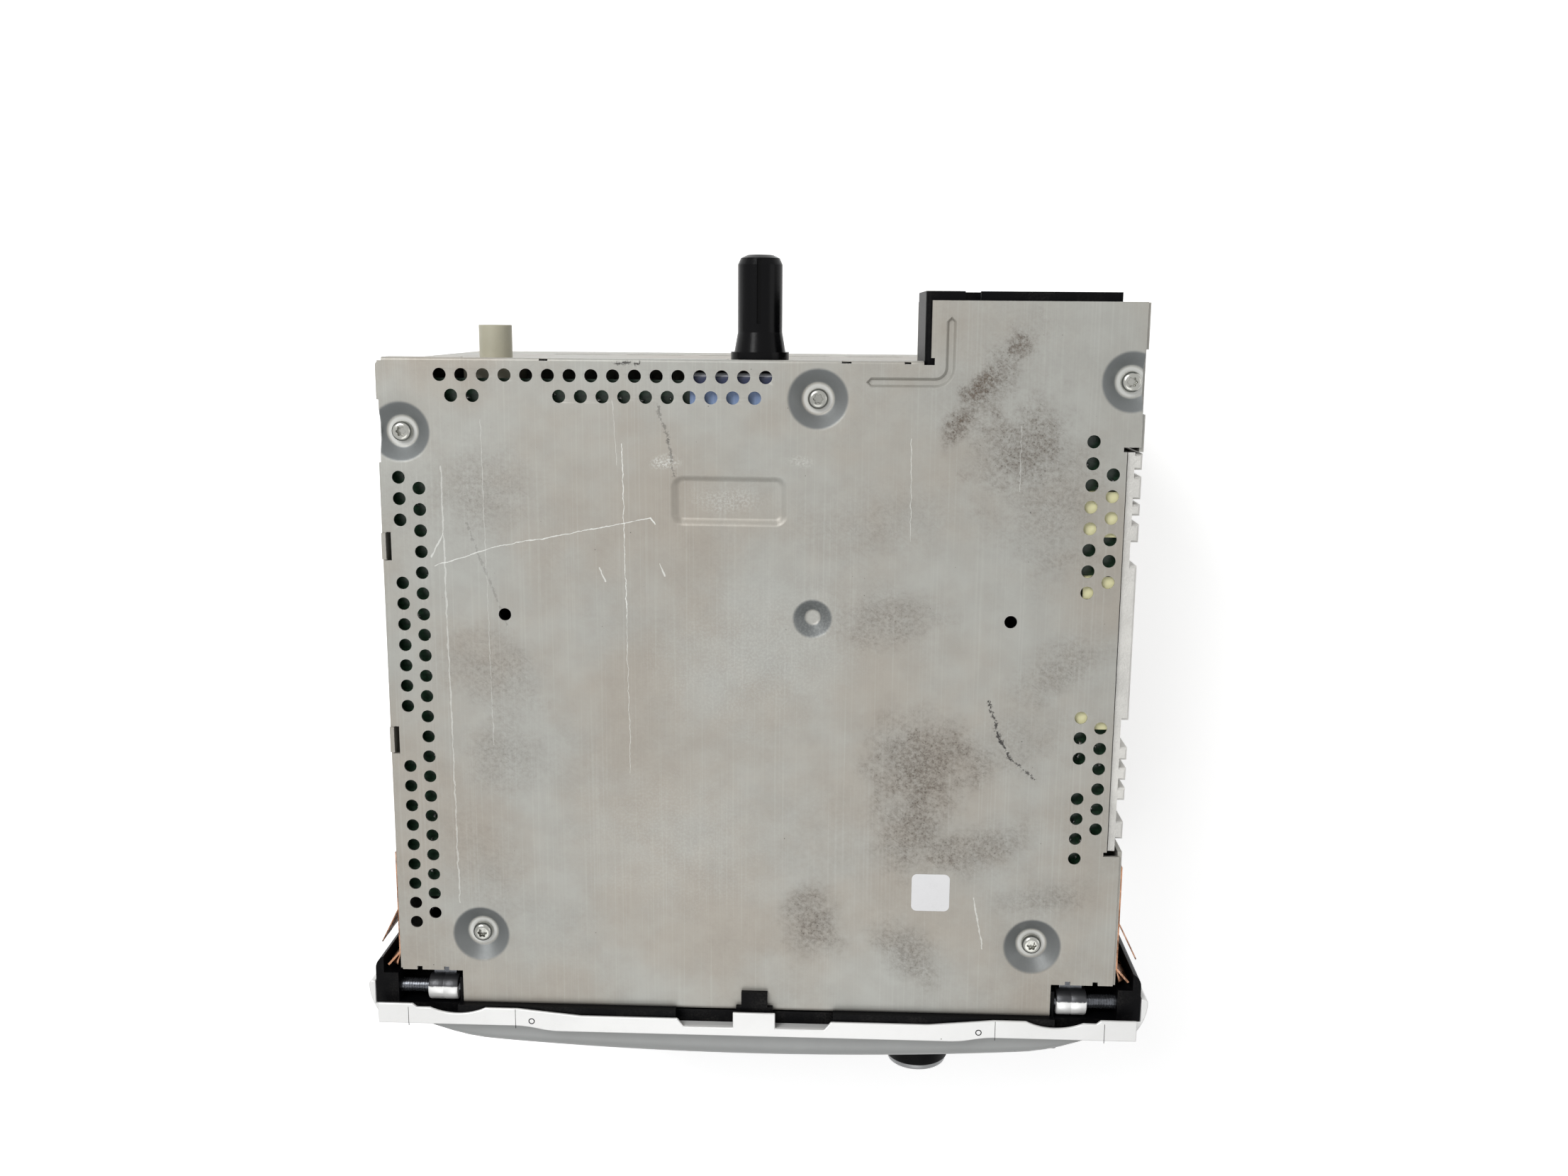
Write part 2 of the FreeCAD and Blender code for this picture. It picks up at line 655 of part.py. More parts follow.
def make_top_cover():
    body = new_body("top_cover_sheet")
    top = "case_height"
    spare = 8
    blank = rectangle(f"-({SIDE}) - {spare}", f"{SIDE} + {spare}", FRONT, f"{REAR} + extension_depth")
    extrude(body, "blank", "XY", UNDER, top, [blank])
    for name, across, deep in SCREW_DIMPLES:
        dimple(body, name, across, deep, "dimple_rim", "dimple_flat", "screw_shank + 0.2")
    dimple(body, "blind", "13.2", "lock_place", "blind_rim", "blind_flat", "0")

    # The pressed rectangle and the stiffening bead show as a hump below and a hollow above.
    across, deep = "-6.4", "48"
    long_half = "press_long / 2"
    wide_half = "press_wide / 2"
    sunk = "press_depth"
    for level, cutting in ((UNDER, False), (top, True)):
        loft(body, "recess" if cutting else "recess_back", "XY", [
            (level, rounded(f"{across} - {long_half}", f"{across} + {long_half}",
                            f"{deep} - {wide_half}", f"{deep} + {wide_half}", "2.2")),
            (f"{level} - {sunk}", rounded(
                f"{across} - {long_half} + press_slope", f"{across} + {long_half} - press_slope",
                f"{deep} - {wide_half} + press_slope", f"{deep} + {wide_half} - press_slope", "1.6")),
        ], cut=cutting)
    extrude(body, "bead_back", "XY", f"{UNDER} - bead_depth", UNDER, [bead_outline("bead_wide / 2 + 0.3")])
    extrude(body, "bead", "XY", f"{top} - bead_depth", top, [bead_outline("bead_wide / 2")], cut=True)

    beyond = rectangle(f"-({SIDE}) - 2 * {spare}", f"{SIDE} + 2 * {spare}", f"{FRONT} - {spare}",
                       f"{REAR} + extension_depth + {spare}")
    extrude(body, "trim", "XY", "case_height - 3 * dimple_depth", f"{top} + sheet",
            [beyond, cover_outline()], cut=True)
    extrude(body, "front_fold", "XY", f"{top} - fold_height", UNDER,
            [rectangle(f"-({CORNER})", CORNER, FRONT, f"{FRONT} + sheet")])
    extrude(body, "rear_fold", "XY", f"{top} - fold_height", UNDER,
            [rectangle(f"-({SIDE}) + wall", "extension_left - corner_relief", f"{REAR} - sheet", REAR)])
    round_along(body, "front_bend", "X", [(FRONT, top)], "fold_radius")
    round_along(body, "rear_bend", "X", [(REAR, top)], "rear_bend")

    fold_notches = [(19.2, 2.2), (33.4, 1.5), (-50.0, 2.0)]
    cuts = []
    for start, wide in fold_notches:
        cuts.append(rectangle(f"{start}", f"{start + wide}", f"{REAR} - 0.7", f"{REAR} + 1"))
    extrude(body, "edge_notches", "XY", UNDER, f"{top} + sheet", cuts, cut=True)
    post_hole = rectangle("-7", "7", f"{REAR} - 2 * sheet", f"{REAR} + 1")
    jack_hole = rectangle("jack_place - 6.5", "jack_place + 6.5", f"{REAR} - 2 * sheet", f"{REAR} + 1")
    extrude(body, "fold_openings", "XY", f"{top} - fold_height - 1", f"{top} - 2 * sheet",
            [post_hole, jack_hole], cut=True)
    locks = [circle(f"lock_spacing / 2 * {side}", "lock_place", "lock_hole / 2") for side in (-1, 1)]
    extrude(body, "lock_holes", "XY", UNDER, top, locks, cut=True)
    punches = []
    span = (f"{UNDER} - sheet", f"{top} + sheet")
    for place, (across, deep) in enumerate(vent_places()):
        punches.append(punch(f"top_vent_{place}", across, deep, *span, "vent_size"))
    return keep("top_cover", cut_away("top_cover", body, together("top_vents", punches)))


def bead_outline(half):
    """The L-shaped stiffening bead beside the extension, half as wide as given to each side."""
    left, low, right, high = "25.9", "75.5", "43.8", "89.2"
    bend = "3.4"
    return [
        (f"{right} - {bend}", f"{low} - ({half})"),
        (f"{right} + {half}", f"{low} + {bend}", f"{right} + ({half}) * 0.7 - {bend} * 0.29",
         f"{low} - ({half}) * 0.7 + {bend} * 0.29"),
        (f"{right} + {half}", high),
        (f"{right} - ({half})", high, right, f"{high} + {half}"),
        (f"{right} - ({half})", f"{low} + {bend}"),
        (f"{right} - {bend}", f"{low} + {half}", f"{right} - ({half}) * 0.7 - {bend} * 0.29",
         f"{low} + ({half}) * 0.7 + {bend} * 0.29"),
        (left, f"{low} + {half}"),
        (left, f"{low} - ({half})", f"{left} - ({half})", low),
    ]


def make_side_frame():
    """The folded sheet that makes both sides and the rear wall."""
    body = new_body("side_frame")
    top = UNDER
    outer_rear = f"{REAR_WALL}"
    inner_rear = f"{REAR_WALL} - wall"
    path = [
        (f"-({WALL_OUT})", FRAME_BACK),
        (f"-({WALL_IN})", FRAME_BACK),
        (f"-({WALL_IN})", inner_rear),
        (WALL_IN, inner_rear),
        (WALL_IN, FRAME_BACK),
        (WALL_OUT, FRAME_BACK),
        (WALL_OUT, f"{REAR} + extension_depth - seat_gap"),
        (f"{WALL_OUT} - 5", f"{REAR} + extension_depth - seat_gap"),
        (f"{WALL_OUT} - 5", f"{REAR} + extension_depth - seat_gap - wall"),
        (WALL_IN, f"{REAR} + extension_depth - seat_gap - wall"),
        (WALL_IN, outer_rear),
        (f"-({WALL_OUT})", outer_rear),
    ]
    extrude(body, "walls", "XY", "0", top, [path])
    # Below the main connector the extension ends in a floor that is folded out of the right side.
    floor = f"{PLUG_LOW} - seat_gap - wall"
    below = rectangle(f"{WALL_OUT} - 6", f"{WALL_OUT} + 1", outer_rear, f"{REAR} + extension_depth + 1")
    extrude(body, "below_extension", "XY", "-1", floor, [below], cut=True)
    extrude(body, "extension_floor", "XY", floor, f"{floor} + wall", [
        rectangle("plug_left", WALL_IN, f"{outer_rear} - wall", f"{REAR} + extension_depth - seat_gap")])
    # The corner cut-outs for the latches, and the window that the heat sink fills.
    extrude(body, "latch_corners", "YZ", f"-({WALL_OUT}) - 1", f"{WALL_OUT} + 1", [
        rectangle(f"{FRONT} - 1", f"{FRONT} + corner_deep", "drum_level - 8", "case_height + 1")], cut=True)
    window = rectangle("sink_front + relief_wide", "sink_rear - relief_wide", "sink_low", "case_height + 1")
    extrude(body, "sink_window", "YZ", f"{WALL_IN} - 1", f"{WALL_OUT} + 1", [window], cut=True)
    # Rear openings: connector, antenna jack and the locating post's stud.
    post_level = "case_height - post_drop"
    jack_level = "case_height - jack_drop"
    plug_right = "plug_left + plug_wide + seat_gap"
    extrude(body, "rear_openings", "XZ", f"{inner_rear} - 1", f"{outer_rear} + 0.5", [
        rectangle("plug_left - seat_gap", plug_right, f"{floor} + wall", "case_height + 1"),
        circle("jack_place", jack_level, "jack_radius + seat_gap"),
        circle("0", post_level, "post_radius / 2 + seat_gap"),
    ], cut=True)
    # Notches in the upper edges for the dishes of the rear screws, and a tab for the rear right screw.
    dish = dict((name, (across, deep)) for name, across, deep in SCREW_DIMPLES)
    across, deep = dish["rear_right"]
    notch = "dimple_rim + run_gap"
    left_deep = dish["rear_left"][1]
    middle = dish["rear_middle"][0]
    left_notch = (f"{left_deep} - ({notch})", f"{left_deep} + {notch}")
    right_notch = (f"{deep} - ({notch})", f"{deep} + {notch}")
    extrude(body, "dish_notches", "XY", f"{BOARD_TOP} - run_gap", "case_height + 1", [
        rectangle(f"-({WALL_OUT}) - 1", f"-({WALL_IN}) + 1", *left_notch),
        rectangle(f"{middle} - ({notch})", f"{middle} + {notch}", f"{inner_rear} - 1", f"{outer_rear} + 1"),
        rectangle("plug_left + plug_wide - 1", f"{WALL_OUT} + 1", *right_notch),
    ], cut=True)
    tab = rectangle("plug_left + plug_wide + run_gap", f"{WALL_IN} + 0.2",
                    f"{deep} - dimple_flat", f"{inner_rear} + 0.2")
    extrude(body, "screw_tab", "XY", f"{BOARD_TOP} - seat_gap - wall", f"{BOARD_TOP} - seat_gap", [
        tab, circle(across, deep, "screw_shank + seat_gap")])
    screws = [circle(deep, level, "screw_shank + seat_gap") for deep, level in FRAME_SCREWS]
    extrude(body, "screw_holes", "YZ", f"-({WALL_OUT}) - 1", f"{WALL_OUT} + 1", screws, cut=True)
    rear_slot = extrude(body, "rear_slots", "XZ", f"{inner_rear} - 1", f"{outer_rear} + 0.5",
                        [vent_slot("-60", "-44", "28", "1.5")], cut=True)
    repeat(body, rear_slot, "X", "20", 5)
    left_slot = extrude(body, "left_slots", "YZ", f"-({WALL_OUT}) - 1", f"-({WALL_IN}) + 1",
                        [vent_slot("-50", "-32", "22", "1.5")], cut=True)
    repeat(body, left_slot, "Y", "24", 5)
    right_slot = extrude(body, "right_slots", "YZ", f"{WALL_IN} - 1", f"{WALL_OUT} + 1",
                         [vent_slot("-50", "-32", "22", "1.5")], cut=True)
    repeat(body, right_slot, "Y", "24", 5)
    # Two tabs stand up through the notches in the cover's left edge.
    for place, start in enumerate(("tab_notch_rear", "tab_notch_rear - tab_notch_pitch")):
        ends = (f"{start} - tab_notch_wide + run_gap", f"{start} - run_gap")
        extrude(body, f"tab_{place}", "XY", top, "case_height", [
            rectangle(f"-({WALL_OUT})", f"-({WALL_IN})", *ends)])
    round_along(body, "corners", "Z", [(f"-({WALL_OUT})", outer_rear)], "fold_radius")
    return keep("side_frame", body)


def make_bottom_cover():
    body = new_body("bottom_cover")
    side = f"{WALL_IN} - seat_gap"
    rear = f"{REAR_WALL} - wall - seat_gap"
    extrude(body, "plate", "XY", "0", "sheet", [rectangle(f"-({side})", side, FRAME_BACK, rear)])
    for name, sign, ends in both_sides(f"{side} - sheet", side):
        extrude(body, f"{name}_fold", "XY", "sheet", "sheet + 2 * fold_height", [
            rectangle(*ends, f"{FRONT} + corner_deep + 4", f"{rear} - 4")])
    extrude(body, "rear_fold", "XY", "sheet", "sheet + fold_height", [
        rectangle(f"-({side}) + 4", f"{side} - 4", f"{rear} - sheet", rear)])
    slots = extrude(body, "slots", "XY", "-1", "sheet + 1", [
        vent_slot("-58", "-38", deep, "1.5") for deep in ("-18", "18")], cut=True)
    repeat(body, slots, "X", "32", 4)
    screws = [circle(deep, level, "screw_shank + 0.01") for deep, level in FRAME_SCREWS]
    extrude(body, "screw_holes", "YZ", f"-({side}) - 1", f"{side} + 1", screws, cut=True)
    return keep("bottom_cover", body)


def make_heat_sink():
    """An aluminium block whose fins stand upright along the right side."""
    body = new_body("heat_sink")
    inner = SINK_IN
    outer = f"{inner} + sink_base"
    front = "sink_front + relief_wide + seat_gap"
    rear = "sink_rear - relief_wide - seat_gap"
    top = "case_height - sheet - run_gap"
    extrude(body, "plate", "XY", "sink_low + seat_gap", top, [rectangle(inner, outer, front, rear)])
    fins = [("-32.6", "-28.4")]
    for place in range(3):
        start = f"-22.9 + {place} * fin_pitch"
        fins.append((start, f"{start} + fin_wide"))
    fins += [("-3.1", "33.8"), ("39.4", "43.6"), ("45.6", "48.2"), ("49.4", "54.6"), ("56.2", "59.9")]
    outlines = [rectangle(outer, f"{outer} + sink_fin - seat_gap", start, end) for start, end in fins]
    extrude(body, "fins", "XY", "sink_low + 2", top, outlines)
    bevel_at(body, "fin_tops", "Z", top, "0.5", inside=(
        (number(outer) + 0.1, -200, 0), (200, 200, 200)))
    return keep("heat_sink", body)


def make_locating_post():
    """The black moulded post that enters a hole in the dashboard frame."""
    body = new_body("locating_post")
    level = "case_height - post_drop"
    foot = f"{REAR_WALL} + sheet + 2 * seat_gap"
    section = [
        ("0", f"{REAR_WALL} - wall - 0.6"),
        ("post_radius / 2", f"{REAR_WALL} - wall - 0.6"),
        ("post_radius / 2", f"{REAR_WALL}"),
        ("post_radius + 1.6", f"{REAR_WALL}"),
        ("post_radius + 1.6", f"{foot} + 1.5"),
        ("post_radius + 0.8", f"{foot} + 1.5"),
        ("post_radius", f"{foot} + 6"),
        ("post_radius", f"{REAR_WALL} + post_length - 2.2"),
        ("post_radius - 0.7", f"{REAR_WALL} + post_length - 0.7"),
        ("post_radius - 2.2", f"{REAR_WALL} + post_length"),
        ("0", f"{REAR_WALL} + post_length"),
    ]
    revolve(body, "turned", "XY", level, ("0", "0"), section)
    extrude(body, "groove", "XY", f"{level} + post_radius - 1.2", f"{level} + post_radius + 1", [
        rectangle("-0.5", "0.5", f"{foot} + 8", f"{REAR_WALL} + post_length - 1")], cut=True)
    return keep("locating_post", body)


def make_antenna_jack():
    level = "case_height - jack_drop"
    root = f"{REAR_WALL} - wall - 14"
    whole = f"{REAR_WALL} + jack_length - ({root})"
    shell = rod("jack_shell", "Y", "jack_place", root, level, "jack_radius", whole)
    mouth = rod("jack_mouth", "Y", "jack_place", REAR_WALL, level, "jack_bore", "jack_length + 1")
    bore = rod("jack_core", "Y", "jack_place", f"{root} - 1", level, "1 + seat_gap", "jack_length + 30")
    case = block("jack_case", "jack_place - 6", "jack_place + 6", root, f"{REAR_WALL} - wall - seat_gap",
                 f"{level} - 6", BOARD_UNDER)
    pin = rod("jack_pin", "Y", "jack_place", f"{root} + 2", level, "1", f"{whole} - 4")
    keep("antenna_jack", cut_away("antenna_jack", joined("antenna_jack", shell, case), mouth, bore))
    return keep("antenna_contact", pin)


def cavity_boxes():
    """The main connector's four cavities: left, right, low and high edges."""
    low = PLUG_LOW
    high = PLUG_TOP
    left = "plug_left"
    right = "plug_left + plug_wide"
    split = "plug_left + plug_wide * 0.46"
    middle = f"{low} + plug_tall / 2"
    columns = [(f"{left} + plug_wall", f"{split} - plug_wall / 2"),
               (f"{split} + plug_wall / 2", f"{right} - plug_wall")]
    rows = [(f"{low} + plug_wall", f"{middle} - plug_wall / 2"),
            (f"{middle} + plug_wall / 2", f"{high} - plug_wall")]
    return [(*column, *row) for column in columns for row in rows]


def make_main_connector():
    body = new_body("main_connector")
    rear = f"{REAR} + extension_depth + plug_proud"
    root = f"{REAR_WALL} - wall - 2"
    low = PLUG_LOW
    high = PLUG_TOP
    extrude(body, "housing", "XZ", root, rear, [rectangle("plug_left", "plug_left + plug_wide", low, high)])
    cavities = [rectangle(*box) for box in cavity_boxes()]
    extrude(body, "cavities", "XZ", f"{rear} - plug_floor", f"{rear} + 1", cavities, cut=True)
    extrude(body, "key_ways", "XZ", f"{rear} - plug_floor", f"{rear} + 1", [
        rectangle("plug_left + plug_wide * 0.2", "plug_left + plug_wide * 0.28",
                  f"{high} - plug_wall - 0.1", f"{high} + 1"),
        rectangle("plug_left + plug_wide * 0.7", "plug_left + plug_wide * 0.78",
                  f"{low} - 1", f"{low} + plug_wall + 0.1"),
    ], cut=True)
    name, across, deep = SCREW_DIMPLES[4]
    extrude(body, "dish_room", "XY", f"{BOARD_TOP} - run_gap - wall", f"{high} + 1", [
        rectangle(f"{across} - dimple_rim - run_gap", "plug_left + plug_wide + 1", f"{root} - 1",
                  f"{deep} + dimple_rim + run_gap")], cut=True)
    corners = [("plug_left", high), ("plug_left", low), ("plug_left + plug_wide", low)]
    round_along(body, "corners", "Y", corners, "1.2")
    return keep("main_connector", body)


def make_connector_pins():
    """Square contact pins that stand out of the floor of each cavity."""
    floor = f"{REAR} + extension_depth + plug_proud - plug_floor"
    pins = []
    half = 0.45
    for left, right, low, high in cavity_boxes():
        for column in (0.2, 0.5, 0.8):
            for line in (0.3, 0.7):
                across = f"{left} + {column} * ({right} - ({left}))"
                up = f"{low} + {line} * ({high} - ({low}))"
                pins.append(block(f"contact_{len(pins)}", f"{across} - {half}", f"{across} + {half}", floor,
                                  f"{floor} + plug_floor / 2", f"{up} - {half}", f"{up} + {half}"))
    return keep("connector_pins", together("connector_pins", pins))


def screw(name, axis, across, deep, up, direction, shank):
    """A pan head screw. Its head's seat is at the point, and its shank runs along the axis from there."""
    shank_start = [across, deep, up]
    head_start = [across, deep, up]
    along = "XYZ".index(axis)
    if direction > 0:
        head_start[along] += " - head_height"
    else:
        shank_start[along] += f" - ({shank})"
    bar = prism(f"{name}_shank", axis, *shank_start, "screw_shank", shank, 6)
    head = prism(f"{name}_head", axis, *head_start, "screw_head", "head_height", 12)
    return joined(name, bar, head)


def make_screws():
    floor = "case_height - dimple_depth"
    top_screws = [screw(f"screw_{name}", "Z", across, deep, floor, -1, "sheet + board + 3.5")
                  for name, across, deep in SCREW_DIMPLES]
    keep("cover_screws", together("cover_screws", top_screws))
    side_screws = []
    for side, direction in ((-1, 1), (1, -1)):
        for deep in ("-40", "50"):
            start = f"({WALL_OUT}) * {side}"
            side_screws.append(screw(f"side_screw_{len(side_screws)}", "X", start, deep, "7", direction, "4"))
    keep("frame_screws", together("frame_screws", side_screws))


# Electronics

def make_main_board():
    body = new_body("main_board")
    inner = f"{CORNER} - 2"
    shoulder = f"{BOARD_FRONT} + 14"
    outline = [
        (f"-({inner})", BOARD_FRONT),
        (inner, BOARD_FRONT),
        (inner, shoulder),
        (BOARD_RIGHT, shoulder),
        (BOARD_RIGHT, BOARD_REAR),
        (BOARD_LEFT, BOARD_REAR),
        (BOARD_LEFT, shoulder),
        (f"-({inner})", shoulder),
    ]
    holes = [circle(across, deep, "screw_shank + seat_gap") for name, across, deep in SCREW_DIMPLES[:4]]
    holes += [circle(f"lock_spacing / 2 * {side}", "lock_place", "lock_hole / 2 + 1") for side in (-1, 1)]
    extrude(body, "board", "XY", BOARD_UNDER, BOARD_TOP, [outline] + holes)
    deep = SCREW_DIMPLES[4][2]
    notch = rectangle("plug_left + plug_wide - 0.5", f"{BOARD_RIGHT} + 3", f"{deep} - dimple_flat - 0.8",
                      f"{BOARD_REAR} + 3")
    extrude(body, "corner", "XY", f"{BOARD_UNDER} - 1", f"{BOARD_TOP} + 1", [notch], cut=True)
    return keep("main_board", body)


def make_board_parts():
    """What stands on the main board and hangs below it."""
    nuts = []
    for name, across, deep in SCREW_DIMPLES[:4]:
        where = (across, deep, f"{BOARD_UNDER} - 4")
        outer = prism(f"nut_{name}_blank", "Z", *where, "screw_shank * 2.1", "4", 6)
        bore = prism(f"nut_{name}_bore", "Z", *where, "screw_shank + 0.01", "5", 6)
        nuts.append(cut_away(f"nut_{name}", outer, bore))
    keep("board_nuts", together("board_nuts", nuts))

    can = block("tuner_box", "-48", "-10", "40", "68", f"{BOARD_UNDER} - 13", BOARD_UNDER)
    rim = block("tuner_rim", "-48.6", "-9.4", "39.4", "68.6", f"{BOARD_UNDER} - 4", f"{BOARD_UNDER} - 1")
    keep("tuner_can", joined("tuner_can", can, rim))

    capacitors = []
    for across, deep in (("58", "-30"), ("58", "-14"), ("42", "-22")):
        can = rod(f"capacitor_{len(capacitors)}", "Z", across, deep, f"{BOARD_UNDER} - 20", "6.5", "20")
        capacitors.append(can)
    keep("capacitors", together("capacitors", capacitors))

    keep("amplifier_chip", block("amplifier_chip", f"{SINK_IN} - 5", SINK_IN, "0", "28",
                                 f"{BOARD_UNDER} - 20", BOARD_UNDER))

    blocks = []
    right = f"{BOARD_RIGHT} - 0.5"
    for wide, front, rear in (("8", "40.5", "51"), ("7.4", "26", "31.2"), ("8.4", "-5.5", "1.5")):
        blocks.append(block(f"terminal_{len(blocks)}", f"{right} - {wide}", right, front, rear,
                            BOARD_TOP, f"{BOARD_TOP} + 2"))
    keep("terminal_blocks", together("terminal_blocks", blocks))


def make_ribbon():
    """The flat cable that leaves the main board's rear edge and goes down to the deck."""
    left, right = "-15.6", "5"
    start = "70"
    socket = block("ribbon_socket", f"{left} - 1.5", f"{right} + 1.5", f"{start} - 4", start,
                   BOARD_TOP, f"{BOARD_TOP} + 2")
    keep("ribbon_socket", socket)
    thick = 0.3
    bend = 1.0
    rear = f"{BOARD_REAR} + 0.4 + {bend}"
    high = f"{BOARD_TOP} + 1"
    foot = "disc_level + 12"
    body = new_body("ribbon_cable")
    outline = [
        (start, f"{high} + {thick}"),
        (start, high),
        (f"{rear} - {bend}", high),
        (rear, f"{high} - {bend}", f"{rear} - {bend * 0.29}", f"{high} - {bend * 0.29}"),
        (rear, f"{foot} + {bend}"),
        (f"{rear} - {bend}", foot, f"{rear} - {bend * 0.29}", f"{foot} + {bend * 0.29}"),
        ("66", foot),
        ("66", f"{foot} - {thick}"),
        (f"{rear} - {bend}", f"{foot} - {thick}"),
        (f"{rear} + {thick}", f"{foot} + {bend}", f"{rear} - {bend * 0.29 - thick * 0.71}",
         f"{foot} + {bend * 0.29 - thick * 0.71}"),
        (f"{rear} + {thick}", f"{high} - {bend}"),
        (f"{rear} - {bend}", f"{high} + {thick}", f"{rear} - {bend * 0.29 - thick * 0.71}",
         f"{high} - {bend * 0.29 - thick * 0.71}"),
    ]
    extrude(body, "ribbon", "YZ", left, right, [outline])
    keep("ribbon_cable", body)


# Disc deck

def make_deck_frame():
    body = new_body("deck_frame")
    extrude(body, "plate", "XY", "deck_level", DECK_TOP, [
        rectangle("-(deck_side)", "deck_side", "deck_front", "deck_rear"),
        circle("0", "0", "platter_radius - 3"),
    ])
    window = bevelled("-60", "-22", "-26", "26", "5")
    extrude(body, "window", "XY", "deck_level - 1", f"{DECK_TOP} + 1", [window], cut=True)
    for name, side in (("left", -1), ("right", 1)):
        ends = sorted((f"deck_side * {side}", f"(deck_side - deck_sheet) * {side}"), key=number)
        wall = rectangle(*ends, "deck_front + 4", "deck_rear")
        extrude(body, f"{name}_wall", "XY", DECK_TOP, "deck_wall", [wall])
    # Ears at the front carry the loading roller, and ears at the rear carry the clamp arm.
    for place, side in enumerate((-1, 1)):
        ends = sorted((f"63 * {side}", f"(63 + deck_sheet) * {side}"), key=number)
        length = "roller_place + 26" if side > 0 else "roller_place + 6"
        extrude(body, f"front_ear_{place}", "XY", DECK_TOP, "disc_level + 1", [
            rectangle(*ends, "roller_place - 5", length)])
        ends = sorted((f"24 * {side}", f"(24 + deck_sheet) * {side}"), key=number)
        extrude(body, f"rear_ear_{place}", "XY", DECK_TOP, "arm_level + 4", [
            rectangle(*ends, "arm_pivot - 5", "arm_pivot + 5")])
    roller_hole = circle("roller_place", "disc_level - roller_radius", "rod_radius + pin_gap")
    extrude(body, "roller_holes", "YZ", "-70", "70", [roller_hole], cut=True)
    idler = gear_centres()[1]
    extrude(body, "idler_pin", "YZ", "63", f"{GEAR_SIDE} + gear_width + 0.5", [circle(*idler, "rod_radius")])
    pinion = gear_centres()[2]
    extrude(body, "pinion_hole", "YZ", "62", "65", [circle(*pinion, "1 + pin_gap")], cut=True)
    pivot_hole = circle("arm_pivot", "arm_level + 0.6", "rod_radius + pin_gap")
    extrude(body, "pivot_holes", "YZ", "-30", "30", [pivot_hole], cut=True)
    # Two blocks hold the ends of the guide rods and the lead screw.
    for place, across in enumerate(("13", "72")):
        edges = rectangle(f"{across} - 1.5", f"{across} + 0.8", "-(rod_side) - 3", "rod_side + 3")
        extrude(body, f"rod_block_{place}", "XY", DECK_TOP, "rod_level + 3", [edges])
    rods = [circle(f"rod_side * {side}", "rod_level", "rod_radius + 0.01") for side in (-1, 1)]
    extrude(body, "rod_holes", "YZ", "12", "73.5", rods, cut=True)
    bearing = rectangle("12", "13.8", "-(screw_side) - 3", "-(screw_side) + 3")
    extrude(body, "screw_bearing", "XY", DECK_TOP, "rod_level + 3", [bearing])
    journal = circle("-(screw_side)", "rod_level", "1.2 + pin_gap")
    extrude(body, "screw_hole", "YZ", "11", "15", [journal], cut=True)
    gap_between = rectangle("11", "73.5", "-(rod_side) + 5", "rod_side - 5")
    extrude(body, "block_gap", "XY", DECK_TOP, "rod_level + 4", [gap_between], cut=True)
    return keep("deck_frame", body)


def make_deck_mounts():
    """Steel posts on the bottom cover, each with a rubber damper under the deck frame."""
    posts = []
    dampers = []
    post_top = "deck_level - damper_height"
    for across in (-1, 1):
        for deep in (-1, 1):
            where = (f"{across} * damper_side", f"{deep} * damper_side * 0.8")
            posts.append(prism(f"post_{len(posts)}", "Z", *where, "sheet", "4", f"{post_top} - sheet", 6))
            dampers.append(prism(f"damper_{len(dampers)}", "Z", *where, post_top, "5", "damper_height", 10))
    keep("deck_posts", together("deck_posts", posts))
    keep("deck_dampers", together("deck_dampers", dampers))


def make_spindle():
    can = rod("motor_can", "Z", "0", "0", "deck_level - 5", "platter_radius - 4", "deck_sheet + 5")
    flange = rod("motor_flange", "Z", "0", "0", DECK_TOP, "platter_radius - 1", "1")
    shaft = rod("motor_shaft", "Z", "0", "0", DECK_TOP, "1", f"disc_level + 1 - ({DECK_TOP})")
    keep("spindle_motor", joined("spindle_motor", can, flange, shaft))
    body = new_body("turntable")
    section = [
        ("1 + pin_gap", "disc_level - 6"),
        ("4", "disc_level - 6"),
        ("4", "disc_level - 2"),
        ("platter_radius", "disc_level - 2"),
        ("platter_radius", "disc_level"),
        ("hub_radius", "disc_level"),
        ("hub_radius", "disc_level + 0.8"),
        ("hub_radius - 1.8", "disc_level + 2"),
        ("1 + pin_gap", "disc_level + 2"),
    ]
    revolve(body, "turned", "XZ", "0", ("0", "0"), section)
    keep("turntable", body)


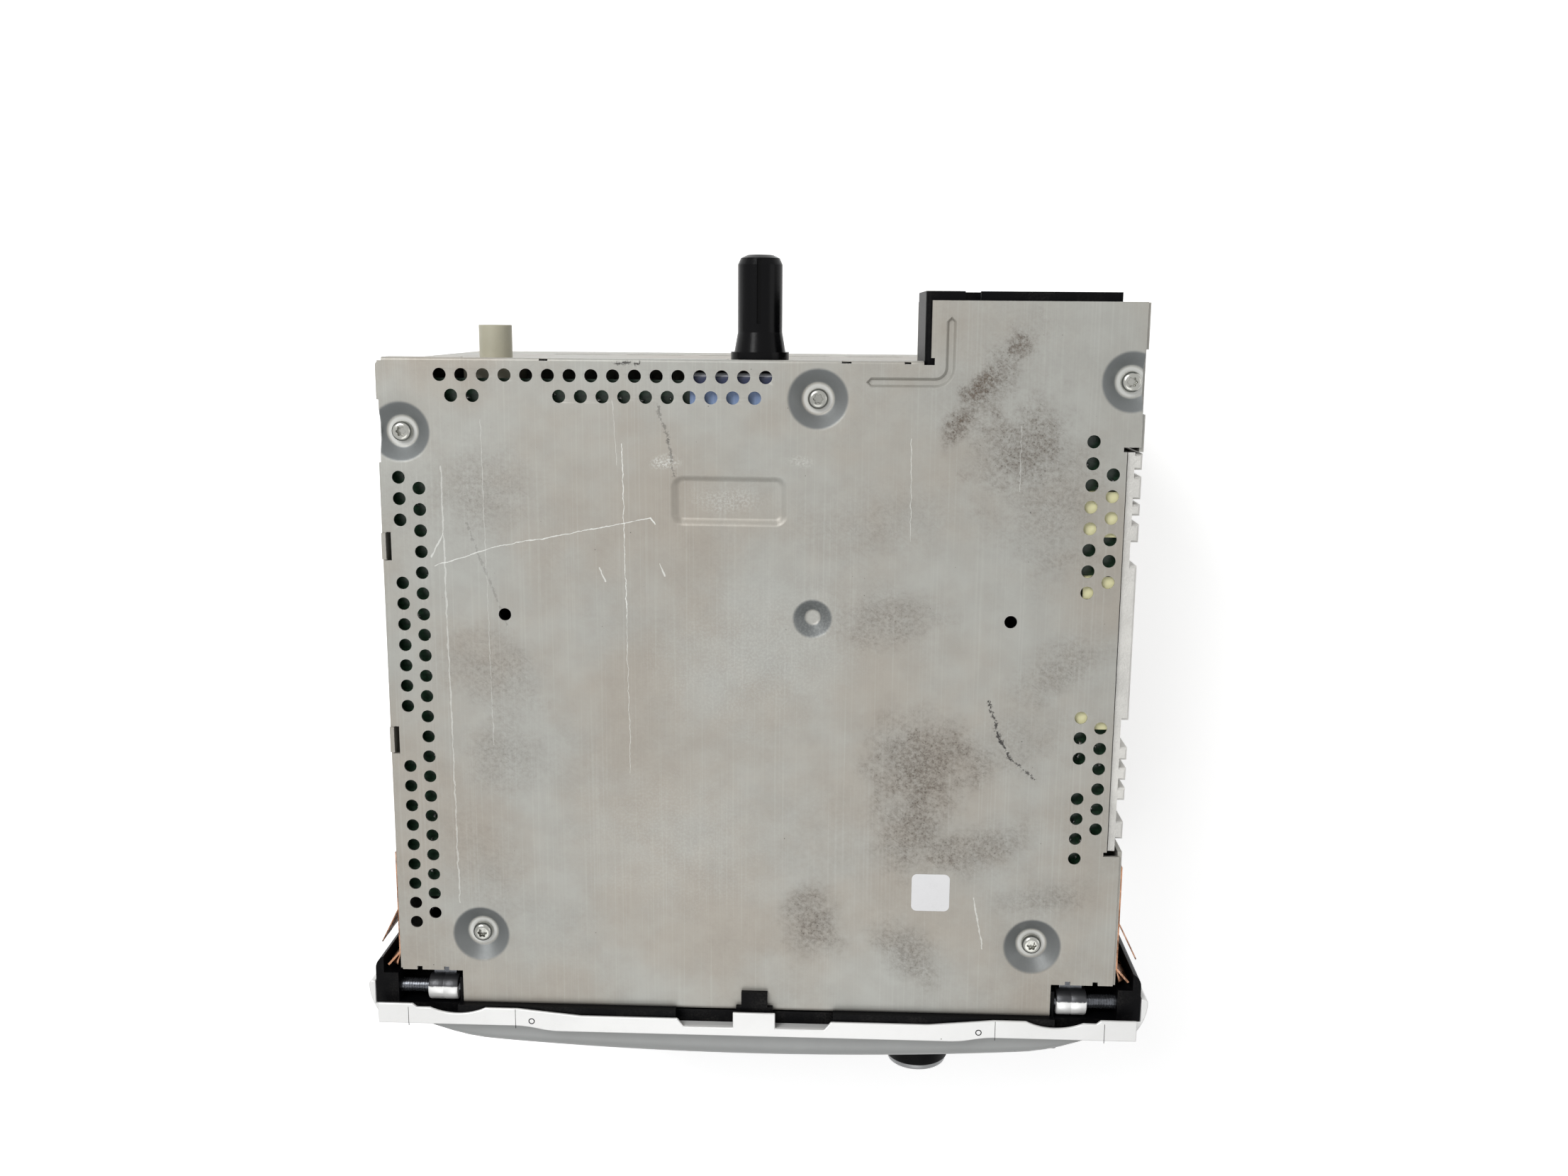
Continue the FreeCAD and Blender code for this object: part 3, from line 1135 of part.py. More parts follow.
def make_clamp():
    body = new_body("clamp_arm")
    high = "arm_level + deck_sheet"
    outline = [
        ("-(hub_radius) * 0.8", "-6"),
        ("hub_radius * 0.8", "-6"),
        ("hub_radius + 5", "4"),
        ("22", "arm_pivot - 10"),
        ("22", "arm_pivot + 4"),
        ("-22", "arm_pivot + 4"),
        ("-22", "arm_pivot - 10"),
        ("-(hub_radius) - 5", "4"),
    ]
    extrude(body, "plate", "XY", "arm_level", high, [outline, circle("0", "0", "2 + pin_gap + 0.1")])
    window = [("-10", "arm_pivot - 16"), ("-7", "16"), ("7", "16"), ("10", "arm_pivot - 16")]
    extrude(body, "window", "XY", "arm_level - 1", f"{high} + 1", [window], cut=True)
    for place, side in enumerate((-1, 1)):
        ends = sorted((f"20.8 * {side}", f"22 * {side}"), key=number)
        lip = rectangle(*ends, "arm_pivot - 10", "arm_pivot + 4")
        extrude(body, f"edge_{place}", "XY", high, f"{high} + 2.5", [lip])
    extrude(body, "pivot_pin", "YZ", "-25.2", "25.2", [circle("arm_pivot", "arm_level + 0.6", "rod_radius")])
    keep("clamp_arm", body)

    disc = new_body("clamp_disc")
    section = [
        ("0", "disc_level + 2.5"),
        ("hub_radius", "disc_level + 2.5"),
        ("hub_radius", "disc_level + 1.5"),
        ("platter_radius - 1", "disc_level + 1.5"),
        ("platter_radius - 1", "disc_level + 4"),
        ("2", "disc_level + 4"),
        ("2", f"{high} + run_gap"),
        ("4", f"{high} + run_gap"),
        ("4", f"{high} + run_gap + 1"),
        ("0", f"{high} + run_gap + 1"),
    ]
    revolve(disc, "turned", "XZ", "0", ("0", "0"), section)
    keep("clamp_disc", disc)


def make_pickup():
    body = new_body("pickup_sled")
    outline = [
        ("17", "-14"),
        ("24", "-(rod_side) - 4.5"),
        ("36", "-(rod_side) - 4.5"),
        ("38", "-8"),
        ("38", "8"),
        ("36", "rod_side + 4.5"),
        ("24", "rod_side + 4.5"),
        ("17", "14"),
    ]
    extrude(body, "block", "XY", "rod_level - 3", "rod_level + 3", [outline])
    extrude(body, "nut_arm", "XY", "rod_level - 1", "rod_level + 1", [
        rectangle("19", "24", "-(screw_side) + 2 + run_gap", "-(rod_side) + 3")])
    rods = [circle(f"rod_side * {side}", "rod_level", "rod_radius + pin_gap") for side in (-1, 1)]
    extrude(body, "rod_bores", "YZ", "15", "40", rods, cut=True)
    hollow = rectangle("21", "35", "-10", "10")
    extrude(body, "hollow", "XY", "rod_level - 4", "rod_level - 1", [hollow], cut=True)
    keep("pickup_sled", body)

    holder = block("lens_holder", "20", "32", "-6", "6", "rod_level + 3", "rod_level + 5")
    lens = document.addObject("Part::Sphere", "lens_glass")
    lens.Radius = 3
    lens.Angle1 = 0
    place_at(lens, "26", "0", "rod_level + 4.5")
    keep("pickup_lens", joined("pickup_lens", holder, lens))

    rods = [rod(f"guide_rod_{place}", "X", "12", f"rod_side * {side}", "rod_level", "rod_radius", "60")
            for place, side in enumerate((-1, 1))]
    keep("guide_rods", together("guide_rods", rods))
    thread = rod("screw_thread", "X", "15", "-(screw_side)", "rod_level", "2", "43")
    journal = rod("screw_journal", "X", "12", "-(screw_side)", "rod_level", "1.2", "50")
    keep("lead_screw", joined("lead_screw", thread, journal))
    motor = rod("sled_motor_can", "X", "60", "-(screw_side)", "rod_level", "4", "12")
    foot = block("sled_motor_foot", "60.5", "71.5", "-(screw_side) - 4", "-(screw_side) + 4",
                 DECK_TOP, "rod_level")
    hole = rod("sled_motor_bore", "X", "59", "-(screw_side)", "rod_level", "1.2 + pin_gap", "4")
    keep("sled_motor", cut_away("sled_motor", joined("sled_motor", motor, foot), hole))


def add_gear(body, centre, teeth, start_angle, bore=None):
    """A spur gear with straight-sided teeth, thinned a little so that it runs free."""
    far = f"{GEAR_SIDE} + gear_width"
    disc = [circle("0", "0", f"gear_module * {teeth / 2 - 1.15}")]
    if bore:
        disc.append(circle("0", "0", bore))
    extrude(body, "disc", "YZ", GEAR_SIDE, far, disc, shift=centre)
    step = 2 * math.pi / teeth
    foot, tip = teeth / 2 - 1.3, teeth / 2 + 0.9
    foot_share, tip_share = 0.29, 0.11
    corners = []
    for radius, share in ((foot, -foot_share), (tip, -tip_share), (tip, tip_share), (foot, foot_share)):
        angle = start_angle + share * step
        corners.append((f"gear_module * {radius * math.cos(angle):.5f}",
                        f"gear_module * {radius * math.sin(angle):.5f}"))
    tooth = extrude(body, "tooth", "YZ", GEAR_SIDE, far, [corners], shift=centre)
    ring = body.newObject("PartDesign::PolarPattern", f"{body.Name}_teeth")
    ring.Originals = [tooth]
    ring.Axis = (tooth.Profile[0], ["N_Axis"])
    ring.Angle = 360
    ring.Occurrences = teeth
    body.Tip = ring


def gear_centres():
    """Where the roller's gear, the idler and the pinion turn, in the plane across the deck."""
    roller = ("roller_place", "disc_level - roller_radius")
    idler = (f"roller_place + gear_module * {(ROLLER_TEETH + IDLER_TEETH) / 2}", roller[1])
    reach = f"gear_module * {(IDLER_TEETH + PINION_TEETH) / 2}"
    pinion = (f"{idler[0]} + sqrt(({reach}) ^ 2 - gear_drop ^ 2)", f"{roller[1]} - gear_drop")
    return roller, idler, pinion


def make_loading():
    """The rubber roller that draws the disc in, with its gears and motor."""
    roller, idler, pinion = gear_centres()
    shaft = rod("roller_shaft", "X", "-66", *roller, "rod_radius", f"{GEAR_SIDE} + gear_width + 66")
    sleeves = [rod("roller_sleeve_left", "X", "-60", *roller, "roller_radius", "50"),
               rod("roller_sleeve_right", "X", "10", *roller, "roller_radius", "50")]
    wheel = new_body("roller_gear")
    add_gear(wheel, roller, ROLLER_TEETH, 0)
    keep("loading_roller", joined("loading_roller", shaft, *sleeves, wheel))

    # A tooth of the roller's gear points at the idler, so the idler has a gap there.
    gear = new_body("loading_gear")
    idler_step = 2 * math.pi / IDLER_TEETH
    idler_start = math.pi + idler_step / 2
    add_gear(gear, idler, IDLER_TEETH, idler_start, "rod_radius + pin_gap")
    keep("loading_gear", gear)

    # The pinion has a gap where the idler's nearest tooth stands.
    body = new_body("motor_pinion")
    toward = math.atan2(number(pinion[1]) - number(idler[1]), number(pinion[0]) - number(idler[0]))
    pitches = (toward - idler_start) / idler_step
    ahead = pitches - round(pitches)
    pinion_step = 2 * math.pi / PINION_TEETH
    add_gear(body, pinion, PINION_TEETH, toward + math.pi + (ahead + 0.5) * pinion_step)
    extrude(body, "shaft", "YZ", "60", GEAR_SIDE, [circle(*pinion, "1")])
    keep("motor_pinion", body)
    can = rod("loading_motor_can", "X", "42", *pinion, "5", "20.5")
    foot = block("loading_motor_foot", "44", "60", f"{pinion[0]} - 5", f"{pinion[0]} + 5",
                 DECK_TOP, pinion[1])
    bore = rod("loading_motor_bore", "X", "59.5", *pinion, "1 + pin_gap", "5")
    keep("loading_motor", cut_away("loading_motor", joined("loading_motor", can, foot), bore))


def make_disc_guide():
    plate = block("guide_plate", "-62.9", "62.9", "roller_place - 5", "roller_place + 12",
                  "disc_level + 2.8", "disc_level + 4.2")
    legs = []
    for place, side in enumerate((-1, 1)):
        ends = sorted((f"61.4 * {side}", f"62.9 * {side}"), key=number)
        legs.append(block(f"guide_leg_{place}", *ends, "roller_place - 5", "roller_place + 5",
                          "disc_level - 0.8", "disc_level + 2.8"))
    keep("disc_guide", joined("disc_guide", plate, *legs))


# Front

def panel_depth(across, inset="0"):
    """How far back the bowed panel's face lies at a distance from the middle."""
    return f"{PANEL_FACE} + {inset} + panel_bow * (({across}) / ({PANEL_HALF})) ^ 2"


def make_front_frame():
    """The black moulding that carries the front and closes the case."""
    body = new_body("front_frame")
    low = "strip_tall + seat_gap"
    high = f"{FRONT_TOP} - strip_tall - seat_gap"
    wing_out = f"{STRIP_HALF} + 1.3"
    wing_rear = f"{FRONT} + corner_deep + 3.2"
    extrude(body, "plate", "XZ", FRAME_FACE, FRAME_BACK, [
        rectangle(f"-({PANEL_HALF})", PANEL_HALF, low, high)])
    extrude(body, "wide_plate", "XZ", FRAME_STEP, FRAME_BACK, [
        rectangle(f"-({STRIP_HALF}) + 0.6", f"{STRIP_HALF} - 0.6", low, high)])
    on_top = "case_height + 0.05"
    ridge = f"{FRONT_TOP} - 1"
    tongue = ("4.5", "3.2")
    for name, side, ends in both_sides("19.4", f"{CORNER} + 1"):
        extrude(body, f"{name}_ridge", "XY", f"{high} - 1", ridge, [rectangle(*ends, FRAME_STEP, FRAME_BACK)])
        extrude(body, f"{name}_lap", "XY", on_top, ridge, [
            rectangle(*ends, f"{FRAME_STEP} + 0.2", f"{FRONT} + frame_lap")])
    extrude(body, "tongue_root", "XY", f"{high} - 1", "case_height + 1.4", [
        rectangle(f"-({tongue[0]})", tongue[0], FRAME_STEP, FRAME_BACK)])
    extrude(body, "tongue", "XY", on_top, "case_height + 1.4", [[
        (f"-({tongue[0]})", f"{FRAME_STEP} + 0.2"),
        (tongue[0], f"{FRAME_STEP} + 0.2"),
        (tongue[0], f"{FRONT} + 1.6"),
        (tongue[1], f"{FRONT} + 1.6"),
        (tongue[1], f"{FRONT} + 5.4"),
        (f"-({tongue[1]})", f"{FRONT} + 5.4"),
        (f"-({tongue[1]})", f"{FRONT} + 1.6"),
        (f"-({tongue[0]})", f"{FRONT} + 1.6"),
    ]])
    # Wings beside the case, and shelves and cheeks for the corner latches.
    for name, side, ends in both_sides(WING_IN, wing_out):
        extrude(body, f"{name}_wing", "XY", low, high, [rectangle(*ends, f"{FRAME_BACK} - 0.2", wing_rear)])
    for name, side, ends in both_sides(f"{CORNER} + seat_gap", f"{WING_IN} + 0.2"):
        extrude(body, f"{name}_shelf", "XY", "drum_level - 7.6", "drum_level - 6.2", [
            rectangle(*ends, f"{FRAME_BACK} - 0.2", f"{FRONT} + corner_deep - 0.2")])
    for name, side, ends in both_sides(f"{CORNER} + seat_gap", f"{CORNER} + seat_gap + 1"):
        extrude(body, f"{name}_cheek", "XY", "drum_level - 6.6", f"{UNDER} - 0.2", [
            rectangle(*ends, f"{FRAME_BACK} - 0.2", f"{FRONT} + drum_place + 3.6")])
    round_along(body, "wing_corners", "Z", [(f"-({wing_out})", wing_rear), (wing_out, wing_rear)], "3.5")
    for name, side, ends in both_sides(f"{WING_IN} - 1", f"{WING_IN} + 3.6"):
        extrude(body, f"{name}_hook_room", "XY", "blade_low - 3", FRONT_TOP, [
            rectangle(*ends, f"{FRONT} + corner_deep - 1.4", f"{wing_rear} + 1")], cut=True)
    journal = circle(f"{FRONT} + drum_place", "drum_level", "shaft_thin + pin_gap")
    extrude(body, "journals", "YZ", f"-({WING_IN}) - 2", f"{WING_IN} + 2", [journal], cut=True)
    trough = circle(f"{FRONT} + drum_place", "drum_level", "drum_radius + run_gap")
    for name, side, ends in both_sides("drum_side - run_gap", "drum_side + drum_length + run_gap"):
        extrude(body, f"{name}_trough", "YZ", *ends, [trough], cut=True)
    slot = rectangle("-(slot_wide) / 2 - 1", "slot_wide / 2 + 1", "slot_level - slot_tall / 2 - 0.7",
                     "slot_level + slot_tall / 2 + 0.7")
    extrude(body, "slot", "XZ", f"{FRAME_FACE} - 1", f"{FRAME_BACK} + 1", [slot], cut=True)
    # Ears for the dust flap.
    for name, side, ends in both_sides("slot_wide / 2 + 1.2", "slot_wide / 2 + 2.8"):
        extrude(body, f"{name}_flap_ear", "XY", "slot_level + 1.6", "slot_level + 6.4", [
            rectangle(*ends, f"{FRAME_BACK} - 0.2", f"{FLAP_DEEP} + 2")])
    pin = circle(FLAP_DEEP, "slot_level + 4", "1 + pin_gap")
    extrude(body, "flap_holes", "YZ", "-(slot_wide) / 2 - 4", "slot_wide / 2 + 4", [pin], cut=True)
    return keep("front_frame", body)


def make_slot_flap():
    """The dust flap behind the disc slot, with its two pins."""
    half = "slot_wide / 2 + 0.8"
    level = "slot_level + 4"
    plate = block("flap_plate", f"-({half})", half, f"{FLAP_DEEP} - 0.5", f"{FLAP_DEEP} + 0.5",
                  "slot_level - slot_tall / 2 - 1", level)
    pin = rod("flap_pin", "X", "-(slot_wide) / 2 - 2.6", FLAP_DEEP, level, "1", "slot_wide + 5.2")
    return keep("slot_flap", joined("slot_flap", plate, pin))


def strip_half():
    """The right half of the bezel's top edge seen from above: its rear side, then its front."""
    swell = "1.2"
    rear = [
        ("0", f"{FRONT} + 0.7"),
        ("5.2", f"{FRONT} + 0.7"),
        ("5.2", FRAME_STEP),
        ("17.3", FRAME_STEP),
        ("18.9", f"{FRONT} - 1.2"),
        ("42.7", f"{FRONT} - 1.2"),
        ("58.6", f"{FRONT} + 0.3"),
        (f"{CORNER} - 6", f"{FRONT} + 0.3"),
        (f"{CORNER} + 7.9", f"{FRONT} + 0.1", f"{CORNER} + 1.1", f"{FRONT} - 1.3"),
        (f"{CORNER} + 11.1", f"{FRONT} + 0.1"),
        (f"{CORNER} + 12.1", f"{FRONT} + 1.0"),
        (STRIP_HALF, f"{FRONT} + 1.0"),
    ]
    front = [
        (STRIP_HALF, f"{FRONT} - strip_front"),
        ("59", f"{FRONT} - strip_front"),
        ("53.5", f"{FRONT} - strip_front - {swell} / 2", "56.4", f"{FRONT} - strip_front - 0.14"),
        ("48", f"{FRONT} - strip_front - {swell}", "50.6", f"{FRONT} - strip_front - 1.06"),
        ("0", f"{FRONT} - strip_front - {swell}"),
    ]
    return rear, front


def whole_outline(half_points):
    """A full outline from its right half, which starts and ends on the middle plane."""
    mirror = []
    for place in range(len(half_points) - 1, 0, -1):
        across, deep = half_points[place - 1][:2]
        point = (f"-({across})", deep)
        if len(half_points[place]) == 4:
            point += (f"-({half_points[place][2]})", half_points[place][3])
        mirror.append(point)
    return half_points[1:] + mirror


def make_silver_bezel():
    """The bright frame round the front, with its scalloped rear edge."""
    body = new_body("silver_bezel")
    rear, front = strip_half()
    bar_rear = f"{FRAME_STEP} - seat_gap"
    bar = whole_outline([("0", bar_rear), (STRIP_HALF, bar_rear)] + front)
    bar_low = f"{FRONT_TOP} - strip_tall"
    lip_low = f"{FRONT_TOP} - 0.9"
    extrude(body, "bottom_bar", "XY", "0", "strip_tall", [bar])
    extrude(body, "top_bar", "XY", bar_low, f"{lip_low} + 0.1", [bar])
    extrude(body, "lip", "XY", lip_low, FRONT_TOP, [whole_outline(rear + front)])
    for name, side in (("left", "-1"), ("right", "1")):
        points = [
            (f"({PANEL_HALF} + 2 * seat_gap) * {side}", bar_rear),
            (f"({PANEL_HALF} + 2 * seat_gap) * {side}", f"{FRONT} - strip_front"),
            (f"({STRIP_HALF}) * {side}", f"{FRONT} - strip_front"),
            (f"({BEZEL_HALF}) * {side}", f"{FRONT} + 4.6",
             f"({BEZEL_HALF} - 0.9) * {side}", f"{FRONT} - 0.4"),
            (f"({BEZEL_HALF} - 0.6) * {side}", f"{FRONT} + 5.2"),
            (f"({STRIP_HALF} + 1.5) * {side}", f"{FRONT} + 5.2"),
            (f"({STRIP_HALF} + 1.5) * {side}", f"{FRAME_BACK} - 0.4"),
            (f"({STRIP_HALF} - 0.4) * {side}", f"{FRAME_BACK} - 0.4"),
            (f"({STRIP_HALF} - 0.4) * {side}", bar_rear),
        ]
        extrude(body, f"{name}_side", "XY", "strip_tall - 0.1", f"{bar_low} + 0.1", [points])
    return keep("silver_bezel", body)


def key_places():
    """Every key: name, middle across, middle up, width, height."""
    keys = [(f"key_{place + 1}", f"key_pitch * {place - 2.5}", "key_level", "20", "11") for place in range(6)]
    keys.append(("key_source", f"{PANEL_HALF} - 20", "knob_level + 9", "16", "8"))
    keys.append(("key_eject", "slot_wide / 2 + 10", "slot_level", "10", "7"))
    return keys


def centred(across, up, wide, tall, spare="0"):
    """A rectangle's edges from its middle and size, widened all round."""
    return (f"{across} - {wide} / 2 - {spare}", f"{across} + {wide} / 2 + {spare}",
            f"{up} - {tall} / 2 - {spare}", f"{up} + {tall} / 2 + {spare}")


def make_centre_panel():
    """The grey panel: a bowed shell, open at the back."""
    body = new_body("centre_panel")
    low = "strip_tall + 2 * seat_gap"
    high = f"{FRONT_TOP} - strip_tall - 2 * seat_gap"
    end_face = f"{PANEL_FACE} + panel_bow"
    extrude(body, "outside", "XY", low, high, [[
        (PANEL_HALF, PANEL_BACK),
        (f"-({PANEL_HALF})", PANEL_BACK),
        (f"-({PANEL_HALF})", end_face),
        (PANEL_HALF, end_face, "0", PANEL_FACE),
    ]])
    ends = [(f"-({PANEL_HALF})", end_face), (PANEL_HALF, end_face)]
    round_along(body, "ends", "Z", ends, "panel_edge * 1.2")
    document.recompute()
    before_back = ((-1000, -1000, -1000), (1000, number(PANEL_BACK) - 0.5, 1000))
    rims = []
    for level in (low, high):
        rims += edges_at(body.Tip.Shape, "Z", number(level), before_back)
    dress(body, "Fillet", "rims", rims, "panel_edge")
    inner = f"{PANEL_HALF} - panel_shell"
    inner_end = f"{end_face} + panel_shell"
    corner = "panel_edge - 1"
    extrude(body, "inside", "XY", f"{low} + panel_shell", f"{high} - panel_shell", [[
        (inner, f"{PANEL_BACK} + 1"),
        (f"-({inner})", f"{PANEL_BACK} + 1"),
        (f"-({inner})", f"{inner_end} + {corner}"),
        (f"-({inner}) + {corner}", f"{inner_end} - 0.15"),
        (f"{inner} - {corner}", f"{inner_end} - 0.15", "0", f"{PANEL_FACE} + panel_shell"),
        (inner, f"{inner_end} + {corner}"),
    ]], cut=True)
    slot = rectangle("-(slot_wide) / 2", "slot_wide / 2",
                     "slot_level - slot_tall / 2", "slot_level + slot_tall / 2")
    openings = [
        slot,
        rectangle("window_left", "window_left + window_wide", "window_low", "window_low + window_tall"),
        circle("knob_place", "knob_level", "shaft_radius + 2"),
    ]
    for name, across, up, wide, tall in key_places():
        openings.append(rectangle(*centred(across, up, wide, tall, "run_gap")))
    extrude(body, "openings", "XZ", f"{PANEL_FACE} - 1", f"{PANEL_BACK} + 1", openings, cut=True)
    return keep("centre_panel", body)


def make_display():
    """The display's window and module, and the circuit board behind the panel."""
    body = new_body("display_lens")
    left, right = "window_left + seat_gap", "window_left + window_wide - seat_gap"
    middle = "window_left + window_wide / 2"
    face, back = "0.3", "2.4"
    extrude(body, "window", "XY", "window_low + seat_gap", "window_low + window_tall - seat_gap", [[
        (left, panel_depth(left, face)),
        (right, panel_depth(right, face), middle, panel_depth(middle, face)),
        (right, panel_depth(right, back)),
        (left, panel_depth(left, back), middle, panel_depth(middle, back)),
    ]])
    keep("display_lens", body)
    keep("display_module", block("display_module", "window_left + 1", "window_left + window_wide - 1",
                                 f"{panel_depth(left, back)} + run_gap", CONTROL_FACE,
                                 "window_low + 1", "window_low + window_tall - 1"))
    board = new_body("front_board")
    spare = "5"
    outline = rectangle(f"-({PANEL_HALF}) + {spare}", f"{PANEL_HALF} - {spare}", f"strip_tall + {spare}",
                        f"{FRONT_TOP} - strip_tall - {spare}")
    slot = rectangle("-(slot_wide) / 2 - 2", "slot_wide / 2 + 2", "slot_level - slot_tall / 2 - 1.2",
                     "slot_level + slot_tall / 2 + 1.2")
    extrude(board, "board", "XZ", CONTROL_FACE, f"{CONTROL_FACE} + board", [outline, slot])
    keep("front_board", board)


def make_keys():
    """Push keys with a flange behind the panel and a stem in front of the board."""
    for name, across, up, wide, tall in key_places():
        body = new_body(name)
        face = f"{panel_depth(across)} - key_proud"
        rear = f"{CONTROL_FACE} - key_travel - run_gap"
        outer_edge = f"abs({across}) + {wide} / 2 + 1"
        flange = f"{panel_depth(outer_edge)} + panel_shell + run_gap + 0.2"
        rim = f"{flange} + flange_thick"
        extrude(body, "cap", "XZ", face, rim, [bevelled(*centred(across, up, wide, tall), "key_corner")])
        extrude(body, "flange", "XZ", flange, rim, [rectangle(*centred(across, up, wide, tall, "1"))])
        extrude(body, "stem", "XZ", flange, rear, [rectangle(*centred(across, up, "4", "4"))])
        bevel_at(body, "face_edge", "Y", face, "0.5")
        keep(name, body)


def make_knob():
    """The knob, and the encoder whose shaft it sits on."""
    front = f"{PANEL_FACE} - knob_proud"
    back = f"{front} + knob_length"
    bore = "shaft_radius + pin_gap"
    hub = "shaft_radius + 1.8"
    ring = "knob_radius - 0.7"
    body = new_body("knob")
    revolve(body, "turned", "XY", "knob_level", ("knob_place", "0"), [
        (bore, f"{back} - 0.6"),
        (hub, f"{back} - 0.6"),
        (hub, f"{front} + 5"),
        ("knob_radius - 1.6", f"{front} + 5"),
        ("knob_radius - 1.6", back),
        ("knob_radius - 0.5", back),
        ("knob_radius", f"{back} - 0.6"),
        ("knob_radius - 0.2", f"{front} + 1.7"),
        (ring, f"{front} + 1.4"),
        (ring, f"{front} + 0.7"),
        (f"{ring} - 0.8", front),
        (f"{ring} - 1.6", front),
        (f"{ring} - 2.2", f"{front} + 0.7"),
        ("0", f"{front} + 0.7"),
        ("0", f"{front} + 3"),
        (bore, f"{front} + 3"),
    ])
    keep("knob", body)

    shaft_front = f"{front} + 3 + knob_press + run_gap"
    shaft_back = f"{CONTROL_FACE} - 1.5"
    shaft = rod("encoder_shaft_bar", "Y", "knob_place", shaft_front, "knob_level", "shaft_radius",
                f"{shaft_back} - ({shaft_front})")
    keep("encoder_shaft", shaft)
    case_face = f"{CONTROL_FACE} - encoder_deep"
    case = block("encoder_case", "knob_place - 6", "knob_place + 6", case_face, CONTROL_FACE,
                 "knob_level - 6", "knob_level + 6")
    neck = rod("encoder_neck", "Y", "knob_place", f"{case_face} - neck_length", "knob_level",
               "shaft_radius + 1.4", "neck_length + 1")
    hole = rod("encoder_bore", "Y", "knob_place", f"{CONTROL_FACE} - 8", "knob_level", bore, "6.8")
    keep("encoder", cut_away("encoder", joined("encoder", case, neck), hole))


def make_latches():
    """Each corner latch: a barrel on a thin shaft, with a flat arm that reaches back under the cover."""
    axis = (f"{FRONT} + drum_place", "drum_level")
    shaft_out = f"{WING_IN} + 1.4"
    for name, side, ends in both_sides("drum_side", "drum_side + drum_length"):
        drum = rod(f"{name}_drum", "X", ends[0], *axis, "drum_radius", "drum_length")
        shaft_ends = (f"{CORNER} + 0.3", shaft_out)
        start = shaft_ends[0] if side > 0 else f"-({shaft_ends[1]})"
        shaft = rod(f"{name}_shaft", "X", start, *axis, "shaft_thin", f"{shaft_ends[1]} - ({shaft_ends[0]})")
        arm = block(f"{name}_arm", f"{ends[0]} + 1", f"{ends[1]} - 1", f"{axis[0]}", f"{axis[0]} + latch_arm",
                    "drum_level - 1.6", "drum_level")
        keep(f"latch_{name}", joined(f"latch_{name}", drum, shaft, arm))


def on_side(points, side):
    """An outline on the right (side 1) or mirrored to the left (side -1), with its arcs' middles."""
    moved = []
    for across, deep, *middle in points:
        if middle:
            middle[0] = f"({middle[0]}) * {side}"
        moved.append((f"({across}) * {side}", deep, *middle))
    return moved


def make_springs():
    """The copper earthing strips on the sides, and the blade in the window of each, rounded at its root."""
    rear = f"{FRONT} + blade_root + 14.6"
    hook_start = f"{FRONT} + corner_deep + 4"
    hook_end = f"{FRONT} + corner_deep + 0.5"
    outer = f"{WALL_OUT} + spring_sheet"
    root = f"{FRONT} + blade_root"
    blade_in = f"{WALL_OUT} + run_gap"
    tip_in = f"{WALL_OUT} + blade_flare - spring_sheet"
    for name, side in (("left", "-1"), ("right", "1")):
        strip = new_body(f"spring_strip_{name}")
        path = [
            (WALL_OUT, rear),
            (outer, rear),
            (outer, hook_start),
            (f"{outer} + 3.1", hook_end),
            (f"{outer} + 2.7", f"{hook_end} - 0.3"),
            (WALL_OUT, f"{hook_start} - 0.2"),
        ]
        extrude(strip, "strip", "XY", "blade_low - 2.5", "blade_high + 2", [on_side(path, side)])
        window = rectangle(f"{root} - blade_reach - 2 * run_gap", f"{root} + run_gap", "blade_low - run_gap",
                           "blade_high + run_gap")
        ends = ((f"({WALL_OUT} - 1) * {side}"), (f"({outer} + 1) * {side}"))
        low_end, high_end = sorted(ends, key=number)
        extrude(strip, "window", "YZ", low_end, high_end, [window], cut=True)
        keep(f"spring_strip_{name}", strip)
        blade = new_body(f"spring_blade_{name}")
        leaf = [
            (blade_in, f"{root} - spring_sheet / 2"),
            (tip_in, f"{root} - blade_reach"),
            (f"{tip_in} + spring_sheet", f"{root} - blade_reach"),
            (f"{blade_in} + spring_sheet", f"{root} - spring_sheet / 2"),
        ]
        round_root = (f"{blade_in} + spring_sheet / 2", root)
        leaf[0] += round_root
        extrude(blade, "leaf", "XY", "blade_low", "blade_high", [on_side(leaf, side)])
        keep(f"spring_blade_{name}", blade)


# Build, check and export

for make in (make_top_cover, make_side_frame, make_bottom_cover, make_heat_sink, make_locating_post,
             make_antenna_jack, make_main_connector, make_connector_pins, make_screws, make_main_board,
             make_board_parts, make_ribbon, make_deck_frame, make_deck_mounts, make_spindle, make_clamp,
             make_pickup, make_loading, make_disc_guide, make_front_frame, make_slot_flap, make_silver_bezel,
             make_centre_panel, make_display, make_keys, make_knob, make_latches, make_springs):
    make()
document.recompute()

faults = [item.Name for item in document.Objects if "Invalid" in item.State or "Error" in item.State]
for name, item in pieces.items():
    if item.Label != name:
        faults.append(f"{name} is labelled {item.Label}")
    if item.Shape.isNull() or not item.Shape.isValid() or not item.Shape.Solids:
        faults.append(f"{name} has no valid solid")
if faults:
    raise RuntimeError("; ".join(faults))

os.makedirs("parts", exist_ok=True)
for name, item in pieces.items():
    item.Shape.exportStep(f"parts/{name}.step")
print(f"{len(pieces)} pieces")
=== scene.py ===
"""A built-in car CD player, finished for pictures around its fixed frame.

The plain solids of the frame stay where they are. Operators dress them in materials, and build finer
pieces for what shows most: the pressed cover, the bezel, the panel, the keys, the knob and the fittings.
Outlines are in millimetres and become metres when a piece is made.
"""

import math
import random

import bmesh
import bpy
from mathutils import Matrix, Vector
from mathutils.geometry import delaunay_2d_cdt


